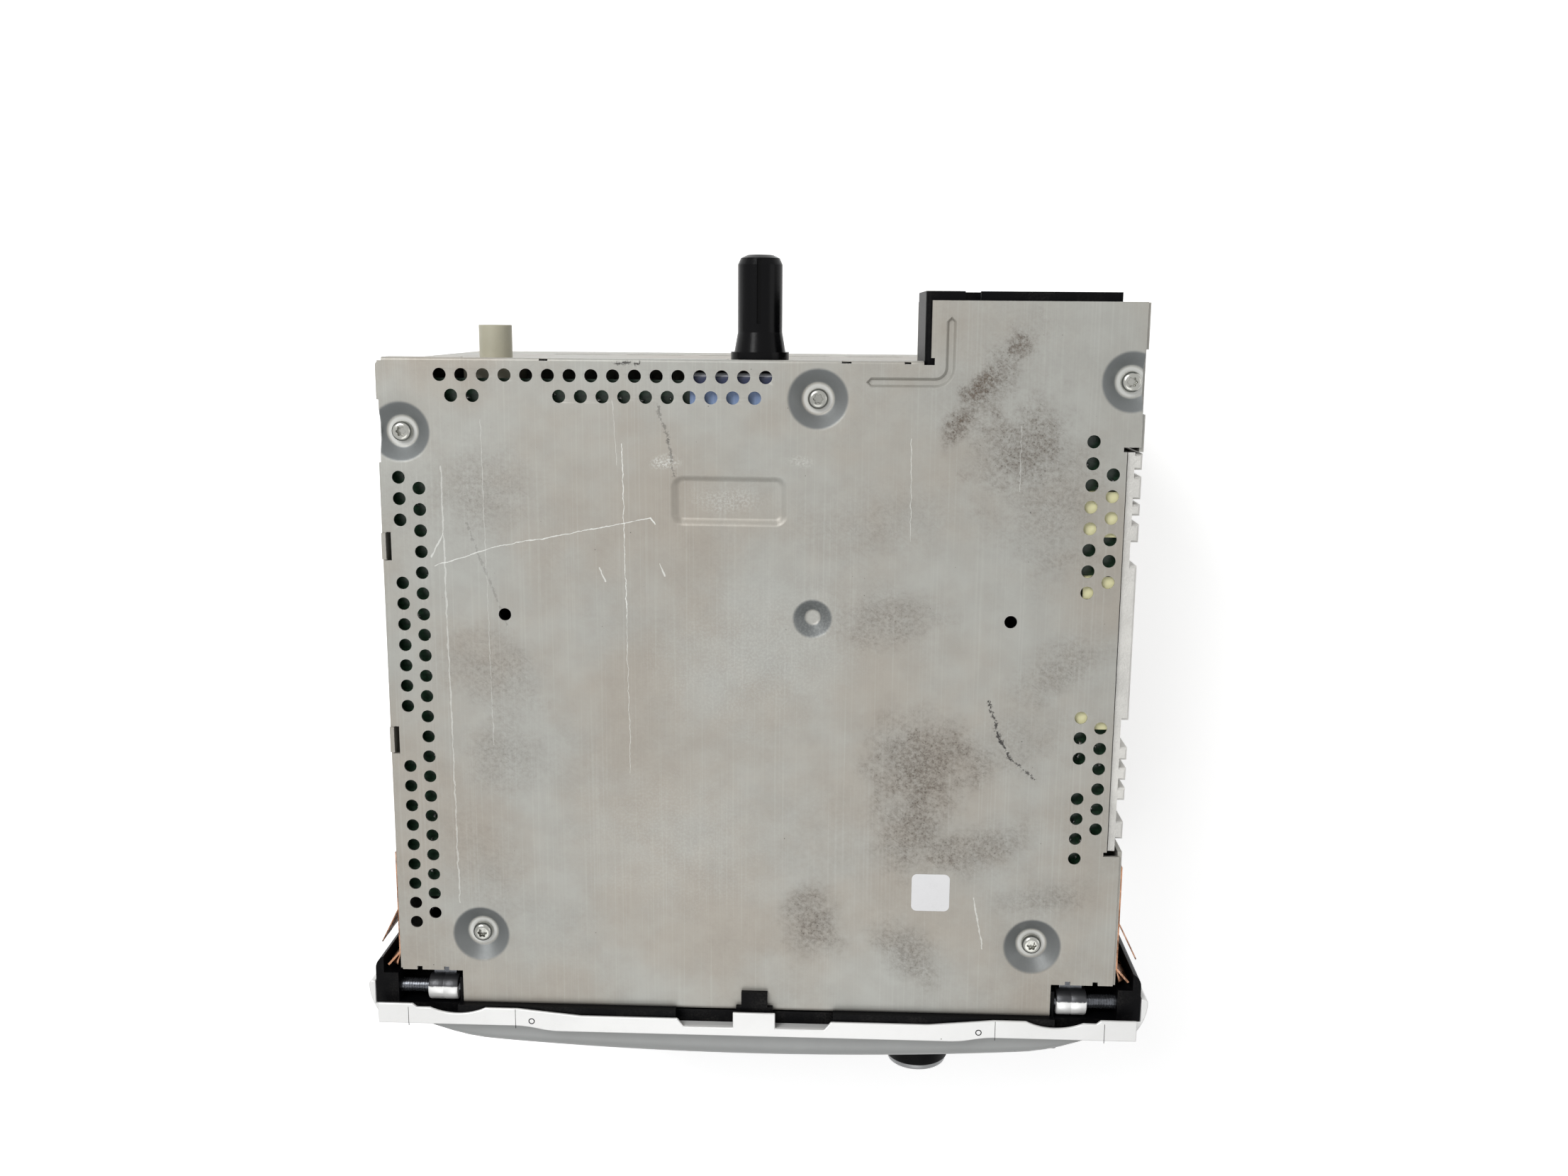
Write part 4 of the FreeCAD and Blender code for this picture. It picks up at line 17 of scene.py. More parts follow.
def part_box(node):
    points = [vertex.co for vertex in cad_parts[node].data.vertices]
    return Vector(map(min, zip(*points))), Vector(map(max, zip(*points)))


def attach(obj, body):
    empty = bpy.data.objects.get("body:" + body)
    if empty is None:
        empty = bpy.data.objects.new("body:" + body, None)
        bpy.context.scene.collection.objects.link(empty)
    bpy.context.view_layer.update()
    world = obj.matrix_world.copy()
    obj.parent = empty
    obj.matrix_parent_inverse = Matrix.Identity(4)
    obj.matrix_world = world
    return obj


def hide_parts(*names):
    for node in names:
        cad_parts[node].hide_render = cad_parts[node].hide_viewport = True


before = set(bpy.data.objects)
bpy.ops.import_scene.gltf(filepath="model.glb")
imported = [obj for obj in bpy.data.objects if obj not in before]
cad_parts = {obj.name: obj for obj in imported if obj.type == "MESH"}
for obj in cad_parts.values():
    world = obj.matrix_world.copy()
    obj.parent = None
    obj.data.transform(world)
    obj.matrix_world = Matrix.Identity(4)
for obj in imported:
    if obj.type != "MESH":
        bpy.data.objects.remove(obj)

bl_info = {
    "name": "Car CD player",
    "version": (1, 0, 0),
    "blender": (4, 5, 0),
    "location": "3D View > Sidebar > CD Player",
    "description": "Builds and finishes the visible pieces of a built-in car CD player",
    "category": "Object",
}

MM = 0.001
FULL_TURN = 2 * math.pi

# Places on the case, in millimetres: +X right, +Y to the rear, +Z up
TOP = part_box("top_cover")[1].z / MM
COVER_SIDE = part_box("top_cover")[1].x / MM
COVER_FRONT = -78.8
COVER_REAR = 80.3
CORNER_CUT = 72.5
EXTENSION_LEFT = 39.4
EXTENSION_REAR = 93.9
BOARD_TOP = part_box("main_board")[1].z / MM
STRIP_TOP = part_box("silver_bezel")[1].z / MM
STRIP_HALF = 93.3
BEZEL_HALF = 96.5
FRAME_STEP = -82.0
PANEL_HALF = 88.0
PANEL_FACE = -92.3
PANEL_BOW = 4.4
PANEL_BACK = -82.7
PANEL_TAPER_FROM = 66.0
PANEL_TAPER = 0.012

# Each screw dish: right of the middle, behind the middle
SCREW_DISHES = [(-67.6, -60.3), (67.6, -60.3), (13.9, 71.6), (-82.8, 63.2), (84.9, 76.1)]
BLIND_DISH = (13.2, 20.4)
DISH_RIM = 7.0
DISH_FLOOR = 3.75
BLIND_RIM = 4.6
BLIND_FLOOR = 1.7
SCREW_HOLE = 1.7
LOCK_HOLES = [(-59.45, 20.4), (59.45, 20.4)]
LOCK_HOLE = 1.5
LABEL = (37.95, 47.15, -51.55, -42.15)

# Ventilation holes. A row is its first hole's place and its count, and it runs to the right
VENT_PITCH = 5.0
VENT_ROWS = [(-73.1, 76.4, 16), (-70.6, 71.67, 2), (-45.6, 71.67, 10)]
# A column runs from its rear hole to the front
VENT_COLUMNS = [
    (-78.82, 50.1, 22),
    (-83.55, 52.6, 3),
    (-83.55, 27.6, 7),
    (-83.55, -17.4, 9),
    (76.77, 62.6, 8),
    (76.77, -2.4, 3),
    (76.77, -22.4, 4),
    (81.5, 55.1, 6),
    (81.5, -4.9, 6),
]

# Keys: frame node, mark on it, middle across and up, width and height
KEYS = [(f"key_{place + 1}", str(place + 1), 25.0 * (place - 2.5), 24.0, 20.0, 11.0) for place in range(6)]
KEYS += [("key_source", "power", 68.0, 86.0, 16.0, 8.0), ("key_eject", "eject", 72.0, 47.0, 10.0, 7.0)]
KEY_GAP = 0.3
KNOB_PLACE = (41.4, 77.0)
KNOB_SIDES = 96
WINDOW = (-64.0, 22.0, 58.0, 88.0)
SLOT = (-62.0, 62.0, 44.5, 49.5)

# Smudges on the cover: middle across and behind, reach along and across, turn in degrees, strength
SMUDGES = [
    (40.0, -14.0, 13.0, 11.0, -20, 0.85),
    (38.0, -31.0, 9.0, 12.0, 10, 0.70),
    (54.0, -36.0, 13.0, 6.0, 25, 0.55),
    (14.0, -55.0, 7.0, 9.0, 20, 0.75),
    (37.0, -62.0, 11.0, 6.0, -50, 0.55),
    (66.0, 52.0, 13.0, 20.0, 15, 0.45),
    (71.0, 9.0, 12.0, 6.0, 25, 0.45),
    (31.0, 20.0, 14.0, 7.0, 10, 0.40),
    (54.0, 76.0, 5.0, 15.0, -30, 0.55),
    (50.5, 75.0, 5.0, 2.6, 45, 0.90),
    (45.5, 65.5, 3.0, 6.0, -25, 0.80),
    (59.0, 84.0, 2.6, 3.0, 0, 0.80),
    (59.0, 61.0, 12.0, 8.0, 30, 0.45),
    (-63.0, 50.0, 13.0, 11.0, 30, 0.30),
    (-63.0, 7.0, 10.0, 13.0, 60, 0.42),
    (-61.0, -14.0, 9.0, 9.0, 0, 0.30),
    (-67.0, -40.0, 10.0, 14.0, 35, 0.22),
    (30.0, 44.0, 20.0, 9.0, 5, 0.25),
    (60.0, -10.0, 14.0, 9.0, 35, 0.30),
    (70.0, -48.0, 12.0, 4.0, 8, 0.35),
]
# Bright scratches: from, to, width, strength
SCRATCHES = [
    ((-31.2, 61.0), (-30.6, 20.0), 0.16, 0.75),
    ((-30.6, 20.0), (-30.0, -18.0), 0.12, 0.50),
    ((-75.7, 31.8), (-62.0, 36.4), 0.18, 0.70),
    ((-62.0, 36.4), (-45.0, 39.6), 0.18, 0.70),
    ((-45.0, 39.6), (-24.6, 43.9), 0.18, 0.80),
    ((-24.6, 43.9), (-23.6, 42.2), 0.22, 0.80),
    ((35.4, 62.8), (35.6, 39.2), 0.12, 0.55),
    ((-64.0, 66.2), (-63.0, -11.7), 0.14, 0.28),
    ((60.3, 66.0), (60.4, 51.0), 0.12, 0.40),
    ((-33.3, 71.0), (-32.5, 56.0), 0.12, 0.40),
    ((-73.6, 55.0), (-72.6, -52.0), 0.30, 0.35),
    ((-36.8, 32.0), (-35.6, 28.6), 0.25, 0.60),
    ((-22.6, 33.0), (-21.4, 30.0), 0.25, 0.60),
    ((53.0, -48.0), (55.5, -61.0), 0.35, 0.45),
    ((-76.4, 34.0), (-73.4, 39.5), 0.30, 0.50),
]
# Dark streaks: from, to, width, strength
STREAKS = [
    ((-22.8, 69.5), (-20.4, 62.0), 0.55, 0.45),
    ((-20.4, 62.0), (-19.2, 53.5), 0.50, 0.45),
    ((-33.0, 79.4), (-27.0, 79.3), 0.55, 0.90),
    ((-68.0, 42.0), (-59.0, 18.0), 0.45, 0.22),
    ((55.0, 1.0), (58.0, -8.5), 0.60, 0.95),
    ((58.0, -8.5), (60.5, -12.5), 0.60, 0.95),
    ((60.5, -12.5), (66.5, -17.8), 0.50, 0.80),
]
# Specks gather along this line
SPECK_LINE = ((54.0, 4.0), (65.0, -18.0))
# Rubbed, brighter spots; the last two are broad patches of painted sheen on the cover: middle, reach, turn,
# strength
RUBS_AND_PAINTED_SHEEN = [
    (-21.0, 56.8, 4.2, 1.9, 4, 0.80),
    (10.0, 57.2, 3.6, 1.6, -8, 0.45),
    (-6.4, 48.0, 11.0, 3.6, 0, 0.35),
    (0.0, 12.0, 34.0, 22.0, 20, 0.16),
    (-20.0, -35.0, 30.0, 24.0, -20, 0.12),
]


# Settings that a user may change

def colour_setting(name, meaning, value):
    return bpy.props.FloatVectorProperty(
        name=name, description=meaning, default=value, size=3, min=0.0, max=1.0, subtype="COLOR")


def length_setting(name, meaning, value):
    return bpy.props.FloatProperty(
        name=name, description=meaning, default=value * MM, min=0.0, precision=5, unit="LENGTH")


def share_setting(name, meaning, value):
    return bpy.props.FloatProperty(
        name=name, description=meaning, default=value, min=0.0, max=1.0, subtype="FACTOR")


class CaseSettings(bpy.types.PropertyGroup):
    sheet_colour: colour_setting("Sheet colour", "Clean zinc coated sheet", (0.372, 0.359, 0.330))
    grime_colour: colour_setting("Grime colour", "Brown grey dirt on the sheet", (0.125, 0.100, 0.078))
    sheet: length_setting("Sheet", "Thickness of the top cover", 0.8)
    vent: length_setting("Vent hole", "Diameter of a ventilation hole", 3.05)
    dish_depth: length_setting("Dish depth", "Depth of a screw dish", 2.5)
    dish_rim: length_setting("Dish rim", "Rim radius of a screw dish", DISH_RIM)
    screw_head: length_setting("Screw head", "Radius of a cover screw's head", 2.45)
    dirt: share_setting("Dirt", "How strong the smudges are", 1.0)


class FrontSettings(bpy.types.PropertyGroup):
    bezel_colour: colour_setting("Bezel colour", "Silver paint of the bezel", (0.745, 0.745, 0.735))
    panel_colour: colour_setting("Panel colour", "Grey paint of the centre panel", (0.335, 0.342, 0.338))
    key_colour: colour_setting("Key colour", "Dark plastic of the keys", (0.035, 0.036, 0.038))
    mark_colour: colour_setting("Mark colour", "Print on the keys", (0.72, 0.73, 0.72))
    ring_colour: colour_setting("Ring colour", "Satin ring at the knob's front", (0.30, 0.305, 0.31))
    knob_radius: length_setting("Knob radius", "Radius of the knob", 8.2)
    edge: length_setting("Panel edge", "Edge radius of the centre panel", 4.0)


class TrimSettings(bpy.types.PropertyGroup):
    black: colour_setting("Black plastic", "Moulded frame, post and plug", (0.002, 0.002, 0.0025))
    copper: colour_setting("Copper", "Earthing springs", (0.38, 0.20, 0.12))
    ivory: colour_setting("Ivory plastic", "Antenna jack", (0.45, 0.43, 0.33))
    cream: colour_setting("Cream plastic", "Terminal blocks and ribbon socket", (0.86, 0.83, 0.50))
    board: colour_setting("Board", "Solder mask of the circuit boards", (0.012, 0.035, 0.018))
    steel: colour_setting("Bright steel", "Screws, rods and posts", (0.56, 0.57, 0.58))
    aluminium: colour_setting("Cast aluminium", "Heat sink", (0.62, 0.61, 0.58))


class StageSettings(bpy.types.PropertyGroup):
    floor: colour_setting("Floor", "Pale floor", (0.86, 0.86, 0.86))
    key_power: bpy.props.FloatProperty(
        name="Key light", description="Power of the soft light over the rear left", default=8.6, min=0.0,
        unit="POWER")
    fill_power: bpy.props.FloatProperty(
        name="Fill light", description="Power of the soft lights at the front and the side", default=1.0,
        min=0.0, unit="POWER")
    sky: share_setting("Sky", "Strength of the even light from all round", 0.36)
    floor_glow: share_setting("Floor glow", "How much the floor is lifted towards white in the picture", 0.52)


SETTINGS = {
    "cd_case": CaseSettings,
    "cd_front": FrontSettings,
    "cd_trim": TrimSettings,
    "cd_stage": StageSettings,
}


# Outlines

def circle(across, deep, radius, sides):
    """A closed ring of points."""
    ring = []
    for place in range(sides):
        angle = FULL_TURN * place / sides
        ring.append((across + radius * math.cos(angle), deep + radius * math.sin(angle)))
    return ring


def rounded(left, right, low, high, radius, steps=6):
    """A rectangle with round corners."""
    corners = [
        (right - radius, low + radius, -90),
        (right - radius, high - radius, 0),
        (left + radius, high - radius, 90),
        (left + radius, low + radius, 180),
    ]
    loop = []
    for across, deep, start in corners:
        for step in range(steps + 1):
            angle = math.radians(start + 90 * step / steps)
            loop.append((across + radius * math.cos(angle), deep + radius * math.sin(angle)))
    return loop


def arc(start, middle, end, steps):
    """Points from start to end along the arc through the middle, without the start."""
    turn = Vector(middle) - Vector(start)
    chord = Vector(end) - Vector(start)
    scale = 2 * (turn.x * chord.y - turn.y * chord.x)
    across = (chord.y * turn.length_squared - turn.y * chord.length_squared) / scale
    deep = (turn.x * chord.length_squared - chord.x * turn.length_squared) / scale
    centre = Vector(start) + Vector((across, deep))
    spoke = Vector(start) - centre
    whole = spoke.angle_signed(Vector(end) - centre)
    half = spoke.angle_signed(Vector(middle) - centre)
    if whole * half < 0:
        whole -= math.copysign(FULL_TURN, whole)
    points = []
    for step in range(1, steps + 1):
        angle = -whole * step / steps
        x = spoke.x * math.cos(angle) - spoke.y * math.sin(angle)
        y = spoke.x * math.sin(angle) + spoke.y * math.cos(angle)
        points.append((centre.x + x, centre.y + y))
    return points


def along(path, half):
    """A closed outline round an open path, half as wide as given to each side, with round ends."""
    left, right = [], []
    for place, (across, deep) in enumerate(path):
        before = Vector(path[max(place - 1, 0)])
        after = Vector(path[min(place + 1, len(path) - 1)])
        run = (after - before).normalized()
        left.append((across - run.y * half, deep + run.x * half))
        right.append((across + run.y * half, deep - run.x * half))
    first_run = (Vector(path[1]) - Vector(path[0])).normalized() * half
    last_run = (Vector(path[-1]) - Vector(path[-2])).normalized() * half
    far = (path[-1][0] + last_run.x, path[-1][1] + last_run.y)
    near = (path[0][0] - first_run.x, path[0][1] - first_run.y)
    return right + [far] + left[::-1] + [near]


def away_from(path, across, deep):
    """Distance from a point to an open path."""
    spot = Vector((across, deep))
    best = math.inf
    for start, end in zip(path, path[1:]):
        first = Vector(start)
        run = Vector(end) - first
        share = max(0.0, min(1.0, (spot - first).dot(run) / run.length_squared))
        best = min(best, (spot - first - run * share).length)
    return best


def ease(value):
    """A smooth step from 0 to 1."""
    value = max(0.0, min(1.0, value))
    return value * value * (3 - 2 * value)


def encloses(loop, across, deep):
    """Whether the closed loop goes round the point."""
    inside = False
    last_across, last_deep = loop[-1]
    for next_across, next_deep in loop:
        if (next_deep > deep) != (last_deep > deep):
            run = next_across - last_across
            if across < last_across + (deep - last_deep) * run / (next_deep - last_deep):
                inside = not inside
        last_across, last_deep = next_across, next_deep
    return inside


# Shapes. Each is a list of points in millimetres and a list of faces.

def filled(outline, holes=(), rings=(), lines=()):
    """Flat triangles that fill the outline, less its holes, with the rings and lines as edges."""
    points, edges = [], []
    for loop in (outline, *holes, *rings):
        start = len(points)
        points += [Vector(point) for point in loop]
        edges += [(start + place, start + (place + 1) % len(loop)) for place in range(len(loop))]
    for line in lines:
        start = len(points)
        points += [Vector(point) for point in line]
        edges += [(start + place, start + place + 1) for place in range(len(line) - 1)]
    spots, _, faces, *_ = delaunay_2d_cdt(points, edges, [], 0, 0.0001)
    boxes = []
    for loop in holes:
        xs, ys = zip(*loop)
        boxes.append((min(xs), max(xs), min(ys), max(ys), loop))

    def in_sheet(face):
        across = sum(spots[corner].x for corner in face) / len(face)
        deep = sum(spots[corner].y for corner in face) / len(face)
        return encloses(outline, across, deep) and not any(
            left < across < right and low < deep < high and encloses(loop, across, deep)
            for left, right, low, high, loop in boxes)

    return spots, [face for face in faces if in_sheet(face)]


def prism(outline, low, high):
    """An outline raised from low to high."""
    count = len(outline)
    points = [(across, deep, low) for across, deep in outline]
    points += [(across, deep, high) for across, deep in outline]
    faces = [tuple(reversed(range(count))), tuple(range(count, 2 * count))]
    for place in range(count):
        after = (place + 1) % count
        faces.append((place, after, count + after, count + place))
    return points, faces


def turned(profile, sides):
    """A shape turned about Z. Each profile point is a radius and a height, from one end to the other."""
    points, faces, rings = [], [], []
    for radius, height in profile:
        start = len(points)
        if radius == 0:
            points.append((0.0, 0.0, height))
            rings.append([start] * sides)
            continue
        points += [(across, deep, height) for across, deep in circle(0, 0, radius, sides)]
        rings.append(list(range(start, start + sides)))
    for lower, upper in zip(rings, rings[1:]):
        for place in range(sides):
            after = (place + 1) % sides
            corners = [lower[place], lower[after], upper[after], upper[place]]
            face = tuple(dict.fromkeys(corners))
            if len(face) > 2:
                faces.append(face)
    return points, faces


def together(*shapes):
    """Several shapes as one."""
    points, faces = [], []
    for more_points, more_faces in shapes:
        start = len(points)
        points += more_points
        faces += [tuple(start + corner for corner in face) for face in more_faces]
    return points, faces


def stood(shape, axis, where):
    """A shape made about Z, laid along the axis and moved to its place."""
    across, deep, up = where
    points = []
    for x, y, z in shape[0]:
        if axis == "X":
            x, y, z = z, x, y
        elif axis == "Y":
            x, y, z = x, z, y
        points.append((x + across, y + deep, z + up))
    return points, shape[1]


def stood_up(shape, depth_at):
    """A plan shape stood up as a front: its heights go back from the face, whose depth depends on x."""
    return [(x, depth_at(x) + z, y) for x, y, z in shape[0]], shape[1]


def printed(shape, across, level, up):
    """A mark drawn about its middle, set on a front face."""
    return [(x + across, level - z, y + up) for x, y, z in shape[0]], shape[1]


def mirrored(shape, side):
    """The shape for one side of the case: 1 keeps it as it is and -1 mirrors it."""
    return [(side * x, y, z) for x, y, z in shape[0]], shape[1]


def side_reach(node):
    """How far from the middle a node at one side starts and ends."""
    return sorted(abs(corner.x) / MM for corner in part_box(node))


# Pieces

def make(name, shape, material, body="case", replaces=(), sheet=None, bevel=None, smooth=35):
    """A piece from a shape in millimetres, with its material, its body and the nodes it stands for."""
    mesh = bpy.data.meshes.new(name)
    mesh.from_pydata([Vector(point) * MM for point in shape[0]], [], shape[1])
    tidy = bmesh.new()
    tidy.from_mesh(mesh)
    loose = [point for point in tidy.verts if not point.link_faces]
    bmesh.ops.delete(tidy, geom=loose, context="VERTS")
    bmesh.ops.recalc_face_normals(tidy, faces=tidy.faces)
    tidy.to_mesh(mesh)
    tidy.free()
    mesh.shade_smooth()
    mesh.set_sharp_from_angle(angle=math.radians(smooth))
    mesh.materials.append(material)
    piece = bpy.data.objects.new(name, mesh)
    bpy.context.scene.collection.objects.link(piece)
    if sheet:
        wall = piece.modifiers.new("thickness", "SOLIDIFY")
        wall.thickness = sheet * MM
        wall.offset = -1
        wall.use_even_offset = True
        wall.thickness_clamp = 1.0
    if bevel:
        edge = piece.modifiers.new("edges", "BEVEL")
        edge.width = bevel * MM
        edge.segments = 2
        edge.limit_method = "ANGLE"
        edge.angle_limit = math.radians(smooth)
        even = piece.modifiers.new("even normals", "WEIGHTED_NORMAL")
        even.keep_sharp = True
    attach(piece, body)
    if replaces:
        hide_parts(*replaces)
    return piece


def facing(shape, direction):
    """The shape with each face turned so that its normal points the given way."""
    points = [Vector(point) for point in shape[0]]
    faces = []
    for face in shape[1]:
        normal = (points[face[1]] - points[face[0]]).cross(points[face[2]] - points[face[0]])
        faces.append(face if normal.dot(Vector(direction)) > 0 else tuple(reversed(face)))
    return shape[0], faces


# Material nodes

def put(tree, kind, inputs=None, **settings):
    """A node with its settings, and its inputs set or linked."""
    item = tree.nodes.new(kind)
    for name, value in settings.items():
        setattr(item, name, value)
    for name, value in (inputs or {}).items():
        if isinstance(value, bpy.types.NodeSocket):
            tree.links.new(value, item.inputs[name])
        else:
            item.inputs[name].default_value = value
    return item


def calculate(tree, operation, *values, clamp=False):
    item = put(tree, "ShaderNodeMath", dict(enumerate(values)), operation=operation, use_clamp=clamp)
    return item.outputs[0]


def times(tree, first, second, clamp=False):
    return calculate(tree, "MULTIPLY", first, second, clamp=clamp)


def times_plus(tree, value, factor, extra, clamp=False):
    """The value times the factor, plus something more."""
    return calculate(tree, "MULTIPLY_ADD", value, factor, extra, clamp=clamp)


def vector(tree, operation, *values, out="Vector"):
    item = put(tree, "ShaderNodeVectorMath", dict(enumerate(values)), operation=operation)
    return item.outputs[out]


def mixed(tree, share, first, second):
    """Two colours mixed by a share."""
    inputs = {0: share}
    for place, colour in ((6, first), (7, second)):
        inputs[place] = colour if isinstance(colour, bpy.types.NodeSocket) else (*colour, 1.0)
    return put(tree, "ShaderNodeMix", inputs, data_type="RGBA").outputs[2]


def tinted(tree, face, share, strength, colour):
    """The face with a colour laid over it where the share is high."""
    return mixed(tree, times(tree, share, strength), face, colour)


def ranged(tree, value, low, high, to_high=1.0):
    """A value's range mapped smoothly to 0 and upwards."""
    inputs = {"Value": value, "From Min": low, "From Max": high, "To Max": to_high}
    return put(tree, "ShaderNodeMapRange", inputs, interpolation_type="SMOOTHSTEP").outputs["Result"]


def along_axis(tree, place, axis):
    """One coordinate of a place."""
    return put(tree, "ShaderNodeSeparateXYZ", {0: place}).outputs[axis]


def noise(tree, place, scale, detail=2.0, rough=0.5, out="Fac"):
    item = put(tree, "ShaderNodeTexNoise",
               {"Vector": place, "Scale": scale, "Detail": detail, "Roughness": rough})
    return item.outputs[out]


VALUE = "NodeSocketFloat"
VECTOR = "NodeSocketVector"


def shared(name, build, outputs=(("Share", VALUE),), **inputs):
    """A node group that several materials use, made once. Place is always its first input.

    build(tree, given) gives its outputs in order.
    """
    tree = bpy.data.node_groups.get(name)
    if tree:
        return tree
    tree = bpy.data.node_groups.new(name, "ShaderNodeTree")
    for label, start in (("place", (0, 0, 0)), *inputs.items()):
        kind = VECTOR if isinstance(start, tuple) else VALUE
        socket = tree.interface.new_socket(label.capitalize(), in_out="INPUT", socket_type=kind)
        socket.default_value = start
    for label, kind in outputs:
        tree.interface.new_socket(label, in_out="OUTPUT", socket_type=kind)
    entry = put(tree, "NodeGroupInput")
    leave = put(tree, "NodeGroupOutput")
    for (label, _), found in zip(outputs, build(tree, entry.outputs)):
        tree.links.new(found, leave.inputs[label])
    return tree


def use(tree, group, **values):
    """Places a shared group, sets or links its inputs and returns its outputs."""
    item = put(tree, "ShaderNodeGroup", node_tree=group)
    for label, value in values.items():
        socket = item.inputs[label.capitalize()]
        if isinstance(value, bpy.types.NodeSocket):
            tree.links.new(value, socket)
        else:
            socket.default_value = value
    return item.outputs


def share_of(tree, group, **values):
    """Places a shared group and returns the share that it works out."""
    return use(tree, group, **values)["Share"]


def clouds():
    """Soft, uneven tone."""
    def build(tree, given):
        scale = calculate(tree, "DIVIDE", 1.0, given["Size"])
        fine = noise(tree, given["Place"], scale, 5.0, 0.6)
        return [ranged(tree, fine, 0.35, 0.68)]
    return shared("Soft clouds", build, size=20.0)


def fine_lines():
    """Thin brushed or rubbed lines at an angle."""
    def build(tree, given):
        turn = put(tree, "ShaderNodeVectorRotate",
                   {"Vector": given["Place"], "Angle": given["Turn"]}, rotation_type="Z_AXIS")
        length = calculate(tree, "DIVIDE", 1.0, given["Length"])
        spacing = calculate(tree, "DIVIDE", 1.0, given["Spacing"])
        scale = put(tree, "ShaderNodeCombineXYZ", {"X": length, "Y": spacing, "Z": spacing})
        stretched = vector(tree, "MULTIPLY", turn.outputs[0], scale.outputs[0])
        return [ranged(tree, noise(tree, stretched, 1.0, 3.0, 0.55), 0.5, 0.72)]
    return shared("Fine lines", build, turn=0.0, length=30.0, spacing=0.4)


def specks():
    """Small scattered spots."""
    def build(tree, given):
        scale = calculate(tree, "DIVIDE", 1.0, given["Spacing"])
        cells = put(tree, "ShaderNodeTexVoronoi", {"Vector": given["Place"], "Scale": scale})
        tint = put(tree, "ShaderNodeSeparateColor", {0: cells.outputs["Color"]})
        chosen = calculate(tree, "LESS_THAN", tint.outputs[0], given["Amount"])
        size = times_plus(tree, tint.outputs[1], 0.10, 0.03)
        edge = calculate(tree, "SUBTRACT", size, cells.outputs["Distance"])
        spot = ranged(tree, edge, 0.0, 0.05)
        return [times(tree, spot, chosen)]
    return shared("Specks", build, spacing=2.0, amount=0.1)


def patch():
    """A ragged oval patch."""
    def build(tree, given):
        moved = vector(tree, "SUBTRACT", given["Place"], given["Middle"])
        turn = put(tree, "ShaderNodeVectorRotate", {"Vector": moved, "Angle": given["Turn"]},
                   rotation_type="Z_AXIS")
        sized = vector(tree, "DIVIDE", turn.outputs[0], given["Reach"])
        away = vector(tree, "LENGTH", sized, out="Value")
        ragged = times_plus(tree, given["Ragged"], 1.5, -0.75)
        return [ranged(tree, calculate(tree, "ADD", away, ragged), 1.15, 0.1)]
    return shared("Ragged patch", build, middle=(0, 0, 0), reach=(10, 10, 1), turn=0.0, ragged=0.5)


def mark_line():
    """A drawn line such as a scratch, broken up along its length."""
    def build(tree, given):
        run = vector(tree, "SUBTRACT", given["End"], given["Start"])
        spot = vector(tree, "SUBTRACT", given["Place"], given["Start"])
        reach = calculate(tree, "DIVIDE", vector(tree, "DOT_PRODUCT", spot, run, out="Value"),
                          vector(tree, "DOT_PRODUCT", run, run, out="Value"), clamp=True)
        nearest = put(tree, "ShaderNodeVectorMath", {0: run, 3: reach}, operation="SCALE").outputs[0]
        away = vector(tree, "LENGTH", vector(tree, "SUBTRACT", spot, nearest), out="Value")
        swell = times_plus(tree, given["Ragged"], 2.2, -0.35)
        wide = times(tree, given["Width"], calculate(tree, "MAXIMUM", swell, 0.001))
        return [ranged(tree, calculate(tree, "DIVIDE", away, wide), 1.0, 0.3)]
    return shared("Mark", build, start=(0, 0, 0), end=(1, 0, 0), width=0.3, ragged=0.5)


def edge_wear():
    """Where edges are rubbed bright."""
    def build(tree, given):
        soft = put(tree, "ShaderNodeBevel", {"Radius": given["Radius"]}, samples=4).outputs[0]
        flat = put(tree, "ShaderNodeNewGeometry").outputs["Normal"]
        bend = calculate(tree, "SUBTRACT", 1.0, vector(tree, "DOT_PRODUCT", soft, flat, out="Value"))
        broken = noise(tree, given["Place"], 0.9, 4.0, 0.7)
        return [times(tree, ranged(tree, bend, 0.02, 0.2), ranged(tree, broken, 0.42, 0.62))]
    return shared("Edge wear", build, radius=0.0003)


def dust():
    """Dust that lies on faces which look up."""
    def build(tree, given):
        normal = put(tree, "ShaderNodeNewGeometry").outputs["Normal"]
        up = along_axis(tree, normal, "Z")
        drift = noise(tree, given["Place"], 0.11, 6.0, 0.7)
        grains = noise(tree, given["Place"], 2.2, 2.0, 0.7)
        spread = times(tree, ranged(tree, drift, 0.4, 0.72), ranged(tree, grains, 0.3, 0.75))
        lying = times(tree, spread, ranged(tree, up, 0.2, 0.9))
        return [times(tree, lying, given["Amount"])]
    return shared("Dust", build, amount=0.3)


def grain():
    """The fine texture of a moulded, cast or coated face."""
    def build(tree, given):
        scale = calculate(tree, "DIVIDE", 1.0, given["Size"])
        tone = noise(tree, given["Place"], scale, 3.0, 0.65)
        bump = put(tree, "ShaderNodeBump", {"Strength": given["Depth"], "Distance": 0.0002, "Height": tone})
        return [tone, bump.outputs[0]]
    return shared("Grain", build, outputs=(("Tone", VALUE), ("Normal", VECTOR)), size=0.4, depth=0.3)


def new_finish(name):
    """A material with its shader and its place in millimetres."""
    material = bpy.data.materials.new(name)
    material.use_nodes = True
    tree = material.node_tree
    shader = tree.nodes["Principled BSDF"]
    coordinates = put(tree, "ShaderNodeTexCoord").outputs["Object"]
    scaled = put(tree, "ShaderNodeVectorMath", {0: coordinates, 3: 1.0 / MM}, operation="SCALE")
    return material, tree, shader, scaled.outputs[0]


